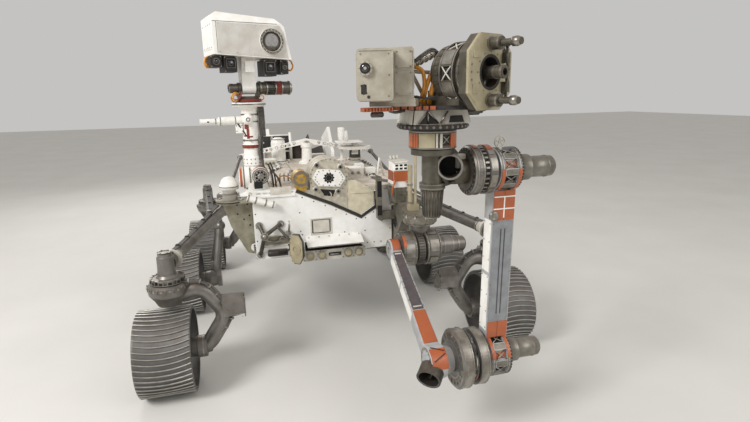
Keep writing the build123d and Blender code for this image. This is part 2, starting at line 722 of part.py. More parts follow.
# Coring drill: stacked barrels, a slotted ring, the eight-sided face plate with stabiliser rods
# above and below it, and the chuck on the axis
DRILL_FRONT = 345.0
DRILL_BARRELS = [(62, 96, 12), (74, 113, 38), (112, 104, 8), (120, 112, 72), (192, 110, 38)]
FACE_WIDTH = 262.0
FACE_HEIGHT = 286.0
FACE_CORNER = 66.0
STABILISER_Z = 106.0
CHUCK_RADIUS = 24.0
with BuildPart() as drill:
    for start, radius, length in DRILL_BARRELS:
        with BuildSketch(drill_plane(start)):
            Circle(radius)
        extrude(amount=length)
    with BuildSketch(drill_plane(126)):
        Circle(124)
        Circle(104, mode=Mode.SUBTRACT)
        with PolarLocations(116, 6):
            Rectangle(50, 52, mode=Mode.SUBTRACT)
    extrude(amount=60)
    with BuildSketch(drill_plane(230)) as face_plate:
        Rectangle(FACE_WIDTH, FACE_HEIGHT)
        chamfer(face_plate.vertices(), FACE_CORNER)
        fillet(face_plate.vertices(), 14)
        Circle(58, mode=Mode.SUBTRACT)
    extrude(amount=46)
    with BuildSketch(drill_plane(276)):
        with Locations((0, STABILISER_Z), (0, -STABILISER_Z)):
            Circle(24)
    extrude(amount=52)
    with BuildSketch(drill_plane(328)):
        with Locations((0, STABILISER_Z), (0, -STABILISER_Z)):
            Circle(13)
    extrude(amount=84)
    with BuildSketch(drill_plane(276)):
        with Locations((78, 0)):
            with GridLocations(0, 110, 1, 2):
                Rectangle(16, 40)
    extrude(amount=30)
    with BuildSketch(drill_plane(200)):
        Circle(CHUCK_RADIUS)
    extrude(amount=DRILL_FRONT - 200)
    with BuildSketch(drill_plane(DRILL_FRONT)):
        Circle(14)
    extrude(amount=-90, mode=Mode.SUBTRACT)
    with BuildSketch(Plane.XY.offset(TURRET_FLANGE_Z + 78)):
        with Locations(Location((DRILL_X, TURRET_Y, 0), (0, 0, DRILL_HEADING))):
            with Locations((100, 0)):
                Rectangle(170, 150)
    extrude(amount=60)
    add(turret_base.part, mode=Mode.SUBTRACT)
keep(drill.part, "coring_drill")

# Close-up instrument: a square sensor head ahead of its electronics box, braced to the drill
INSTRUMENT_DIR = (-0.34, -0.94, 0)
BRACES = [
    ((105, TURRET_Y - 65, 1878), (222, TURRET_Y - 40, 1930), 12),
    ((105, TURRET_Y - 65, 1856), (215, TURRET_Y - 50, 1850), 8),
    ((105, TURRET_Y - 65, 1850), (190, TURRET_Y - 30, 1722), 8),
]
with BuildPart() as instrument:
    box_plane = Plane(
        origin=(-40, TURRET_Y - 60, DRILL_AXIS_Z - 4), x_dir=(0.94, -0.34, 0), z_dir=INSTRUMENT_DIR
    )
    with BuildSketch(box_plane):
        RectangleRounded(142, 196, 14)
    extrude(amount=116)
    with BuildSketch(box_plane.offset(116)):
        with Locations((-36, 26)):
            Circle(26)
    extrude(amount=12)
    with BuildSketch(box_plane.offset(116)):
        with Locations((-44, -52)):
            Rectangle(22, 36)
    extrude(amount=-14, mode=Mode.SUBTRACT)
    with BuildSketch(box_plane.offset(-60)):
        with Locations((98, 0)):
            RectangleRounded(100, 212, 12)
    extrude(amount=100)
    with BuildSketch(Plane.XY.offset(TURRET_FLANGE_Z + 78)):
        with Locations(Location((34, TURRET_Y - 60, 0), (0, 0, -30))):
            Rectangle(190, 110)
    extrude(amount=30)
    for start, foot, radius in BRACES:
        add(rod(start, foot, radius))
    add(drill.part, mode=Mode.SUBTRACT)
    add(turret_base.part, mode=Mode.SUBTRACT)
keep(instrument.part, "turret_instrument")

# Mast: base with the fold-out drum and barrel, tube, wind sensors, yoke and head
MAST_CENTRE = (MAST_X, MAST_Y)
FOLD_BARREL = [(-620, 50), (-615, 62), (-598, 62), (-594, 74), (-540, 74), (-534, 66), (-480, 66)]
with BuildPart() as mast_base:
    with BuildSketch(Plane.XY.offset(DECK_TOP_Z)):
        with Locations((MAST_X + 10, MAST_Y + 10)):
            RectangleRounded(140, 190, 20)
    extrude(amount=16)
    with BuildSketch(front_plane(MAST_Y + 85)):
        with Locations((MAST_X + 38, 1256)):
            Circle(55)
    extrude(amount=185)
    with BuildSketch(front_plane(MAST_Y - 100)):
        with Locations((MAST_X + 38, 1256)):
            Circle(45)
    extrude(amount=8)
    with BuildSketch(front_plane(MAST_Y + 80)):
        with BuildLine():
            Polyline((-570, 1160), (-430, 1160), (-450, 1260), (-545, 1260), close=True)
        make_face()
    extrude(amount=160)
    with BuildSketch(front_plane(MAST_Y + 40)):
        with Locations((-500, 1202)):
            Rectangle(56, 50)
    extrude(amount=130, mode=Mode.SUBTRACT)
    add(turned_across((MAST_Y - 10, 1242), FOLD_BARREL))
    with BuildSketch(Plane.XY.offset(1240)):
        with Locations(MAST_CENTRE):
            Circle(52)
    extrude(amount=80)
keep(mast_base.part, "mast_base")
MAST_PROFILE = [
    (58, 1320), (62, 1326), (62, 1376), (56, 1382), (54, 1434), (60, 1436), (60, 1460), (54, 1462),
    (54, MAST_FLANGE_Z - 44), (66, MAST_FLANGE_Z - 29), (100, MAST_FLANGE_Z - 24),
    (108, MAST_FLANGE_Z - 19), (108, MAST_FLANGE_Z - 5), (103, MAST_FLANGE_Z),
]
with BuildPart() as mast_tube:
    add(turned_upright(MAST_CENTRE, MAST_PROFILE))
    with BuildSketch(Plane.XY.offset(1520)):
        with Locations((MAST_X + 74, MAST_Y - 6)):
            Rectangle(44, 60)
    extrude(amount=MAST_FLANGE_Z - 1520 - 27)
keep(mast_tube.part, "mast_tube")
BOOM_Z = 1617.0
with BuildPart() as boom:
    tip = (MAST_X - 310, MAST_Y - 50, BOOM_Z)
    waist = (MAST_X - 200, MAST_Y - 36, BOOM_Z)
    root = (MAST_X - 45, MAST_Y - 20, BOOM_Z)
    add(rod(root, waist, 27))
    add(rod(waist, tip, 17))
    with Locations((MAST_X - 14, MAST_Y - 60, BOOM_Z + 8)):
        Sphere(36)
    with BuildSketch(Plane.XY.offset(BOOM_Z - 80)):
        with Locations((MAST_X - 72, MAST_Y - 18)):
            RectangleRounded(46, 46, 6)
    extrude(amount=60)
    add(mast_tube.part, mode=Mode.SUBTRACT)
keep(boom.part, "wind_sensor")

# Head carrier: turning drum, two lugs and the tilt actuator
LUGS = [(-586, -570), (-466, -450)]
LUG_FOOT_Z = MAST_FLANGE_Z + 30
NECK_DRUM = [
    (78, MAST_FLANGE_Z + 2), (78, MAST_FLANGE_Z + 20), (68, MAST_FLANGE_Z + 26),
    (68, MAST_FLANGE_Z + 34), (60, MAST_FLANGE_Z + 40),
]
TILT_ACTUATOR = [(-452, 40), (-360, 40), (-354, 30), (-336, 30), (-330, 42), (-236, 42), (-228, 34)]
with BuildPart() as mast_neck:
    add(turned_upright(MAST_CENTRE, NECK_DRUM))
    for low, high in LUGS:
        with BuildSketch(side_plane(low)):
            with Locations((MAST_Y, TILT_AXIS_Z)):
                Circle(36)
            with Locations((MAST_Y, (LUG_FOOT_Z + TILT_AXIS_Z) / 2)):
                Rectangle(60, TILT_AXIS_Z - LUG_FOOT_Z)
        extrude(amount=high - low)
    add(turned_across((MAST_Y, TILT_AXIS_Z), TILT_ACTUATOR))
    add(turned_across((MAST_Y, TILT_AXIS_Z), [(-640, 24), (-636, 30), (-586, 30)]))
keep(mast_neck.part, "mast_neck")

# Head: a wedge-topped box with the big round window, on a tapered stem between the lugs
HEAD_OUTLINE = [(-744, 2019), (-258, 1993), (-298, 2190), (-352, 2238), (-708, 2264), (-744, 2238)]
HEAD_WINDOW = (-387.0, 2100.0)
HEAD_BEVEL = [(MAST_Y - 136, 2206), (MAST_Y - 90, 2270), (MAST_Y - 136, 2270)]
STEM = [(MAST_Y - 60, 2024), (MAST_Y - 34, 1806), (MAST_Y + 34, 1806), (MAST_Y + 60, 2024)]
with BuildPart() as head:
    with BuildSketch(front_plane(MAST_Y + 150)):
        with BuildLine():
            Polyline(*HEAD_OUTLINE, close=True)
        make_face()
    extrude(amount=285)
    with BuildSketch(side_plane(-760)):
        with BuildLine():
            Polyline(*HEAD_BEVEL, close=True)
        make_face()
    extrude(amount=520, mode=Mode.SUBTRACT)
    with BuildSketch(front_plane(MAST_Y - 135)):
        with Locations(HEAD_WINDOW):
            Circle(76)
            Circle(61, mode=Mode.SUBTRACT)
    extrude(amount=15)
    with BuildSketch(front_plane(MAST_Y - 135)):
        with Locations(HEAD_WINDOW):
            Circle(61)
    extrude(amount=3)
    with BuildSketch(side_plane(-562)):
        with BuildLine():
            Polyline(*STEM, close=True)
        make_face()
        with Locations((MAST_Y, TILT_AXIS_Z)):
            Circle(38)
    extrude(amount=88)
keep(head.part, "mast_head")
CAMERAS = [(-728, 66, 1978, 66), (-640, 80, 1962, 92), (-391, 84, 1942, 98), (-295, 56, 1948, 84)]
CAMERA_RAILS = [(-680, 128, 2006), (-345, 134, 1990)]
with BuildPart() as camera_bar:
    for middle_x, width, middle_z, height in CAMERAS:
        with BuildSketch(front_plane(MAST_Y + 40)):
            with Locations((middle_x, middle_z)):
                Rectangle(width, height)
        extrude(amount=130)
        with BuildSketch(front_plane(MAST_Y - 90)):
            with Locations((middle_x, middle_z)):
                RectangleRounded(width * 0.66, height * 0.66, 6)
                RectangleRounded(width * 0.5, height * 0.5, 5, mode=Mode.SUBTRACT)
        extrude(amount=8)
    for middle_x, width, middle_z in CAMERA_RAILS:
        with BuildSketch(front_plane(MAST_Y + 50)):
            with Locations((middle_x, middle_z)):
                Rectangle(width, 34)
        extrude(amount=120)
    add(head.part, mode=Mode.SUBTRACT)
keep(camera_bar.part, "mast_cameras")

# Deck equipment
ANTENNA = (410.0, 200.0)
ANTENNA_TILT_Z = 1264.0
ANTENNA_POST = [(66, DECK_TOP_Z), (66, 1160), (46, 1168), (44, 1196), (56, 1200), (56, 1208)]
with BuildPart() as antenna_base:
    add(turned_upright(ANTENNA, ANTENNA_POST))
keep(antenna_base.part, "antenna_base")
with BuildPart() as antenna_yoke:
    add(turned_upright(ANTENNA, [(52, 1210), (52, 1226), (40, 1232), (16, 1234)]))
    for low in (-48, 34):
        with BuildSketch(side_plane(ANTENNA[0] + low)):
            with Locations((ANTENNA[1], ANTENNA_TILT_Z)):
                Circle(15)
            with Locations((ANTENNA[1], 1240)):
                Rectangle(30, 48)
        extrude(amount=14)
keep(antenna_yoke.part, "antenna_yoke")
with BuildPart() as antenna_plate:
    with BuildSketch(Plane.XY.offset(1290)):
        with Locations(ANTENNA):
            RegularPolygon(150, 6)
    extrude(amount=22)
    with BuildSketch(side_plane(ANTENNA[0] - 29)):
        with Locations((ANTENNA[1], ANTENNA_TILT_Z)):
            Circle(13)
        with Locations((ANTENNA[1], 1279)):
            Rectangle(26, 24)
    extrude(amount=58)
keep(antenna_plate.part, "antenna_plate")

# Differential: an arched, perforated beam on its pivot, with links down to the rockers
DIFFERENTIAL_Y = 420.0
BEAM = [(-612, 1256), (0, 1378), (612, 1256), (612, 1222), (300, 1282), (0, 1332), (-300, 1282), (-612, 1222)]
BEAM_SLOPE = 0.192
BEAM_POST = [(78, DECK_TOP_Z), (78, 1164), (50, 1176), (44, 1290), (54, 1300), (54, 1340)]
BEAM_HOLE_RADIUS = 11.5
BEAM_HOLES = [-545, -500, -455, -410, -365, -320, -275, -235, -195, -155, -115]
with BuildPart() as differential:
    with BuildSketch(front_plane(DIFFERENTIAL_Y + 22)):
        with BuildLine():
            Polyline(*BEAM, close=True)
        make_face()
        for along in BEAM_HOLES:
            height = 1355 + along * BEAM_SLOPE
            with Locations((along, height), (-along, height)):
                Circle(BEAM_HOLE_RADIUS, mode=Mode.SUBTRACT)
    extrude(amount=44)
    add(turned_upright((0, DIFFERENTIAL_Y), BEAM_POST))
keep(differential.part, "differential_bar")
with BuildPart() as links:
    for place, side in (("left", 1), ("right", -1)):
        top = (side * 606, DIFFERENTIAL_Y - 46, 1236)
        foot = (side * 700, ROCKER_PIVOT[1] + 70, 1050)
        add(rod(top, foot, 15))
        with Locations(top, foot):
            Sphere(24)
        add(rod(top, (side * 600, DIFFERENTIAL_Y + 10, 1240), 14))
        add(rod(foot, (side * 720, ROCKER_PIVOT[1] + 20, 950), 24))
        add(rockers[place], mode=Mode.SUBTRACT)
    add(differential.part, mode=Mode.SUBTRACT)
keep(links.part, "differential_links")

UHF_CAN = [(84, DECK_TOP_Z), (84, 1162), (66, 1170), (66, 1340), (56, 1372), (30, 1386)]
with BuildPart() as uhf:
    add(turned_upright((-250, 560), UHF_CAN))
keep(uhf.part, "uhf_antenna")
LOW_GAIN_POST = [
    (44, DECK_TOP_Z), (44, 1158), (16, 1166), (16, 1330), (28, 1344), (34, 1380), (34, 1452), (26, 1462),
]
with BuildPart() as low_gain:
    add(turned_upright((350, 500), LOW_GAIN_POST))
keep(low_gain.part, "low_gain_antenna")
BOXES = [
    (-180, -610, 150, 130, 60),
    (210, -520, 180, 120, 76),
    (-350, 380, 130, 150, 58),
    (110, 560, 170, 110, 64),
]
with BuildPart() as boxes:
    for across, along, width, depth, height in BOXES:
        with BuildSketch(Plane.XY.offset(DECK_TOP_Z)):
            with Locations((across, along)):
                RectangleRounded(width, depth, 10)
        extrude(amount=height)
    chamfer(boxes.faces().filter_by(Axis.Z).group_by(Axis.Z)[-1].edges(), 6)
keep(boxes.part, "deck_instruments")

# Power source at the back: finned can on a tapered bracket
POWER_BRACKET = [(BODY_REAR_Y, 790), (BODY_REAR_Y, 1090), (960, 1010), (1010, 900), (900, 800)]
with BuildPart() as power:
    core = Plane(origin=(0, 900, 870), x_dir=(1, 0, 0), z_dir=(0, 0.83, 0.56))
    with BuildSketch(core):
        Circle(120)
    extrude(amount=500)
    with BuildSketch(core.offset(500)):
        Circle(120)
    extrude(amount=24, taper=40)
    with BuildSketch(core.offset(-20)):
        Circle(96)
    extrude(amount=20)
    with BuildSketch(core.offset(30)):
        with PolarLocations(0, 8, start_angle=22.5):
            with Locations((205, 0)):
                Rectangle(190, 8)
    extrude(amount=440)
    for along in (30, 462):
        with BuildSketch(core.offset(along)):
            Circle(146)
        extrude(amount=8)
    with BuildSketch(side_plane(-70)):
        with BuildLine():
            Polyline(*POWER_BRACKET, close=True)
        make_face()
    extrude(amount=140)
    add(chassis.part, mode=Mode.SUBTRACT)
    add(deck.part, mode=Mode.SUBTRACT)
keep(power.part, "power_source")
EXCHANGER = [(BODY_REAR_Y, 720), (1110, 770), (1400, 1040), (1400, 1300), (1010, 1440), (BODY_REAR_Y, 1200)]
with BuildPart() as exchangers:
    for side in (-1, 1):
        with BuildSketch(side_plane(side * 300)):
            with BuildLine():
                Polyline(*EXCHANGER, close=True)
            make_face()
        extrude(amount=side * 16)
        with BuildSketch(side_plane(side * 316)):
            with BuildLine():
                Polyline(*EXCHANGER, close=True)
            make_face()
            offset(amount=-34, mode=Mode.SUBTRACT)
        extrude(amount=side * 14)
keep(exchangers.part, "heat_exchangers")
with BuildPart() as rear_cams:
    for side in (-1, 1):
        with BuildSketch(front_plane(BODY_REAR_Y + 60)):
            with Locations((side * 430, 1000)):
                RectangleRounded(120, 66, 10)
        extrude(amount=60)
        with BuildSketch(front_plane(BODY_REAR_Y + 74)):
            with Locations((side * 430 - 30, 1000), (side * 430 + 30, 1000)):
                Circle(22)
        extrude(amount=14)
keep(rear_cams.part, "rear_hazard_cameras")

# The head looks a little to the rover's left; everything then moves to the shared origin
HEAD_NODES = ("mast_neck", "mast_head", "mast_cameras")
mast_foot = Location((MAST_X, MAST_Y, 0))
head_turn = mast_foot * Location((0, 0, 0), (0, 0, HEAD_YAW)) * mast_foot.inverse()
os.makedirs("parts", exist_ok=True)
for piece in PIECES:
    label = piece.label
    place = Location((0, ORIGIN_SHIFT_Y, 0))
    if label in HEAD_NODES:
        place = place * head_turn
    placed = piece.moved(place)
    placed.label = label
    export_step(placed, f"parts/{label}.step")
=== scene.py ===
"""Looks of a six-wheeled planetary rover: finishes for its frame and the detail that rides on it.

Places are written in metres in the rover's own frame: ground level under the middle axle, the
front along -Y, the rover's left at +X. Every finished mesh is moved once into the shared frame.
"""

import json
import logging
from dataclasses import dataclass, field
from enum import Enum
from math import atan2, cos, degrees, dist, hypot, pi, radians, sin
from typing import Iterable, Sequence

import bmesh
import bpy
from mathutils import Matrix, Vector

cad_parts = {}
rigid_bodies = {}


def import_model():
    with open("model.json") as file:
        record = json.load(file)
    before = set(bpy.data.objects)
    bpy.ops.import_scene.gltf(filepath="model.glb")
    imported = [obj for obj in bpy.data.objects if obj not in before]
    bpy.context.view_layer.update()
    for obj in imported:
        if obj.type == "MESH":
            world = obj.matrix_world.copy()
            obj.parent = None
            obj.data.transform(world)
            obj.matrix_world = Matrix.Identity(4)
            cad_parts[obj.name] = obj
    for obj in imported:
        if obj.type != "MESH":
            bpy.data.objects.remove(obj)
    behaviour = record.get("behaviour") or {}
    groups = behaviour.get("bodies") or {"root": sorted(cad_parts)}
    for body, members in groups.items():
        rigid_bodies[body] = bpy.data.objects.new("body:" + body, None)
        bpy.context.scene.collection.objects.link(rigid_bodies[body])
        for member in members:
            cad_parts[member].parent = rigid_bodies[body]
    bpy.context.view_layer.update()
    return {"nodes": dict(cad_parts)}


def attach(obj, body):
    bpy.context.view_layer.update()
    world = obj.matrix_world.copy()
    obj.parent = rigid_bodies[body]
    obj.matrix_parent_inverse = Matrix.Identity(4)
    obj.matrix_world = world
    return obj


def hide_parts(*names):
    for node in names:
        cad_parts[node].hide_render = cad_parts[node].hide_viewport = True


LOG = logging.getLogger("rover")
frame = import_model()

SHIFT_Y = 0.5417
MAST = Vector((-0.52, -0.8, 0.0))
# The head looks a little to the rover's left; its pieces are written square and turned once
HEAD_TURN = Matrix.Translation(MAST) @ Matrix.Rotation(radians(15.0), 4, "Z") @ Matrix.Translation(-MAST)
Point = tuple[float, float, float]
Pair = tuple[float, float]
Spot = Sequence[float]
WHOLE: Pair = (-180, 180)  # angles of a sector that goes all the way round


# Colour and shader graph


def linear(code: str) -> tuple[float, float, float, float]:
    """Turns an sRGB hex colour into linear light.

    Args:
        code: Six hex digits with a leading hash.

    Returns:
        The colour as four linear values.
    """
    values = [int(code[i : i + 2], 16) / 255 for i in (1, 3, 5)]
    red, green, blue = (v / 12.92 if v <= 0.04045 else ((v + 0.055) / 1.055) ** 2.4 for v in values)
    return (red, green, blue, 1.0)


class Graph:
    """A material with short calls that add and join its shader nodes."""

    def __init__(self, name: str) -> None:
        """Creates the material.

        Args:
            name: What the real material is.
        """
        self.material = bpy.data.materials.new(name)
        self.material.use_nodes = True
        self.tree = self.material.node_tree
        self.shader = self.tree.nodes["Principled BSDF"]
        self.place = self.add("ShaderNodeTexCoord").outputs["Object"]

    def add(self, kind: str, inputs: dict | None = None, **settings: object) -> bpy.types.Node:
        """Adds one node.

        Args:
            kind: The node's type name.
            inputs: Values or sockets for its inputs, by name or index.
            settings: Plain properties of the node.

        Returns:
            The new node.
        """
        node = self.tree.nodes.new(kind)
        for key, value in settings.items():
            setattr(node, key, value)
        for key, value in (inputs or {}).items():
            self.put(node.inputs[key], value)
        return node

    def put(self, socket: bpy.types.NodeSocket, value: object) -> None:
        """Links a socket into an input, or sets the input's plain value.

        Args:
            socket: The input.
            value: An output socket or a plain value.
        """
        if isinstance(value, bpy.types.NodeSocket):
            self.tree.links.new(value, socket)
        else:
            socket.default_value = value

    def stretched(self, scale: Point) -> bpy.types.NodeSocket:
        """Object coordinates scaled by axis, for brushed or streaked patterns.

        Args:
            scale: Factor along each axis.

        Returns:
            The scaled coordinates.
        """
        return self.add("ShaderNodeMapping", {"Vector": self.place, "Scale": scale}).outputs[0]

    def noise(
        self, size_mm: float, detail: float = 3.0, rough: float = 0.55, at: object = None
    ) -> bpy.types.NodeSocket:
        """Noise whose patches have a real size.

        Args:
            size_mm: Rough size of one patch.
            detail: Octaves of finer noise.
            rough: Strength of the finer octaves.
            at: Coordinates, if not the plain object ones.

        Returns:
            A factor from 0 to 1.
        """
        inputs = {
            "Vector": at or self.place, "Scale": 1000.0 / size_mm, "Detail": detail, "Roughness": rough
        }
        return self.add("ShaderNodeTexNoise", inputs).outputs[0]

    def spread(self, factor: object, low: float, high: float, to: Pair = (0.0, 1.0)) -> bpy.types.NodeSocket:
        """Maps a range of a factor onto another, clamped.

        Args:
            factor: The value to map.
            low: Value that becomes the first end.
            high: Value that becomes the second end.
            to: Both ends of the result.

        Returns:
            The mapped value.
        """
        inputs = {"Value": factor, "From Min": low, "From Max": high, "To Min": to[0], "To Max": to[1]}
        return self.add("ShaderNodeMapRange", inputs).outputs[0]

    def sum(self, kind: str, first: object, second: object) -> bpy.types.NodeSocket:
        """Joins two values with a plain operation.

        Args:
            kind: Name of the operation, such as MULTIPLY.
            first: First value.
            second: Second value.

        Returns:
            The result.
        """
        return self.add("ShaderNodeMath", {0: first, 1: second}, operation=kind).outputs[0]

    def mix(self, factor: object, first: object, second: object) -> bpy.types.NodeSocket:
        """Mixes two colours.

        Args:
            factor: Share of the second.
            first: First colour.
            second: Second colour.

        Returns:
            The mixed colour.
        """
        node = self.add("ShaderNodeMix", data_type="RGBA")
        for index, value in ((0, factor), (6, first), (7, second)):
            self.put(node.inputs[index], value)
        return node.outputs[2]

    def upward(self) -> bpy.types.NodeSocket:
        """How far the surface faces the sky, from 0 to 1."""
        normal = self.add("ShaderNodeNewGeometry").outputs["Normal"]
        height = self.add("ShaderNodeSeparateXYZ", {0: normal}).outputs[2]
        return self.spread(height, 0.15, 0.95)

    def bump(
        self, height: object, depth_mm: float, strength: float = 1.0, over: object = None
    ) -> bpy.types.NodeSocket:
        """Raises the surface by a height map.

        Args:
            height: Value from 0 to 1.
            depth_mm: Real depth of the full range.
            strength: Share of it that is applied.
            over: A normal this one is laid over.

        Returns:
            The new normal.
        """
        inputs = {"Height": height, "Distance": depth_mm / 1000, "Strength": strength}
        if over is not None:
            inputs["Normal"] = over
        return self.add("ShaderNodeBump", inputs).outputs[0]

    def close(self, **values: object) -> bpy.types.Material:
        """Sets the surface shader's inputs by name, with underscores for spaces.

        Args:
            values: Colours, numbers or sockets.

        Returns:
            The finished material.
        """
        for key, value in values.items():
            self.put(self.shader.inputs[key.replace("_", " ")], value)
        return self.material


DUST = "#B98E62"


@dataclass(frozen=True)
class Finish:
    """A plain coated or bare metal surface with wear and a film of dust."""

    name: str
    base: str
    shade: str
    roughness: float = 0.5
    metallic: float = 0.0
    dust: float = 0.25
    patch_mm: float = 60.0
    grain_mm: float = 1.6
    grain_depth_mm: float = 0.12
    brushed: Point = (1.0, 1.0, 1.0)
    ior: float = 1.5
    coat: float = 0.0

    def build(self) -> bpy.types.Material:
        """Makes the material: two close tones, fine grain, worn roughness and settled dust.

        Returns:
            The material.
        """
        g = Graph(self.name)
        at = g.stretched(self.brushed)
        patches = g.noise(self.patch_mm, 4.0)
        grain = g.noise(self.grain_mm, 2.0, 0.6, at)
        tone = g.mix(g.spread(patches, 0.35, 0.68), linear(self.base), linear(self.shade))
        tone = g.mix(g.spread(grain, 0.62, 0.74, (0.0, 0.35)), tone, linear(self.shade))
        settled = g.sum("MULTIPLY", g.upward(), g.spread(g.noise(34.0, 5.0, 0.65), 0.3, 0.7))
        film = g.sum(
            "ADD", g.sum("MULTIPLY", settled, self.dust), g.spread(patches, 0.5, 0.8, (0.0, self.dust * 0.3))
        )
        colour = g.mix(film, tone, linear(DUST))
        rough = g.sum("ADD", g.spread(grain, 0.3, 0.7, (self.roughness - 0.08, self.roughness + 0.08)), film)
        metal = g.sum("MULTIPLY", g.sum("SUBTRACT", 1.0, film), self.metallic)
        normal = g.bump(grain, self.grain_depth_mm, 0.6)
        return g.close(
            Base_Color=colour, Roughness=rough, Metallic=metal, Normal=normal, IOR=self.ior,
            Coat_Weight=self.coat
        )


@dataclass(frozen=True)
class Fabric:
    """A quilted thermal blanket or braided sleeve."""

    name: str
    base: str
    shade: str
    weave_mm: float = 2.0
    fold_mm: float = 40.0
    fold_depth_mm: float = 4.0
    sheen: float = 0.3

    def build(self) -> bpy.types.Material:
        """Makes the material: crossed threads over soft folds, with painted shade in the folds' hollows and
        between the threads.

        Returns:
            The material.
        """
        g = Graph(self.name)
        scale = 1000.0 / self.weave_mm
        threads = [
            g.add(
                "ShaderNodeTexWave",
                {"Vector": g.place, "Scale": scale / 6.283, "Distortion": 0.6, "Detail": 1.0},
                wave_type="BANDS", bands_direction=direction
            ).outputs[1]
            for direction in ("DIAGONAL", "Z")
        ]
        weave = g.sum("MULTIPLY", *threads)
        folds = g.noise(self.fold_mm, 3.0, 0.5)
        # Painted shade: the folds' low parts, which the bump sinks, take the darker colour
        tone = g.mix(g.spread(folds, 0.3, 0.7), linear(self.shade), linear(self.base))
        # Painted shade between the threads, where the weave is low
        tone = g.mix(g.spread(weave, 0.0, 0.3, (0.45, 0.0)), tone, linear(self.shade))
        normal = g.bump(weave, 0.5, 0.5, g.bump(folds, self.fold_depth_mm, 0.8))
        g.shader.inputs["Sheen Weight"].default_value = self.sheen
        return g.close(Base_Color=tone, Roughness=0.9, Normal=normal)


@dataclass(frozen=True)
class Flex:
    """A flat flexible circuit: film over copper tracks."""

    name: str
    base: str
    shade: str
    track_mm: float = 7.0
    axis: str = "X"

    def build(self) -> bpy.types.Material:
        """Makes the material: fine parallel tracks under a glossy film.

        Returns:
            The material.
        """
        g = Graph(self.name)
        tracks = g.add("ShaderNodeTexWave", {
            "Vector": g.place, "Scale": 1000.0 / self.track_mm / 6.283, "Distortion": 0.0
        }, bands_direction=self.axis).outputs[1]
        tone = g.mix(g.spread(tracks, 0.3, 0.7), linear(self.shade), linear(self.base))
        tone = g.mix(g.spread(g.noise(30.0, 4.0), 0.45, 0.75, (0.0, 0.25)), tone, linear(self.shade))
        return g.close(
            Base_Color=tone, Roughness=g.spread(g.noise(12.0), 0.3, 0.7, (0.28, 0.55)), Coat_Weight=0.1,
            Normal=g.bump(tracks, 0.3, 0.5, g.bump(g.noise(25.0), 1.5, 0.6)), IOR=1.7,
        )


@dataclass(frozen=True)
class LensGlass:
    """Dark coated glass of a camera, with a faint tint from its coating."""

    name: str
    base: str
    tint: str

    def build(self) -> bpy.types.Material:
        """Makes the material: near-black depth under a clear, slightly coloured coat.

        Returns:
            The material.
        """
        g = Graph(self.name)
        depth = g.mix(g.spread(g.noise(18.0, 1.0), 0.35, 0.65), linear(self.base), linear(self.tint))
        g.shader.inputs["Coat Roughness"].default_value = 0.03
        g.shader.inputs["Coat IOR"].default_value = 1.52
        return g.close(
            Base_Color=depth, Roughness=g.spread(g.noise(3.0), 0.3, 0.7, (0.05, 0.12)), Coat_Weight=1.0
        )


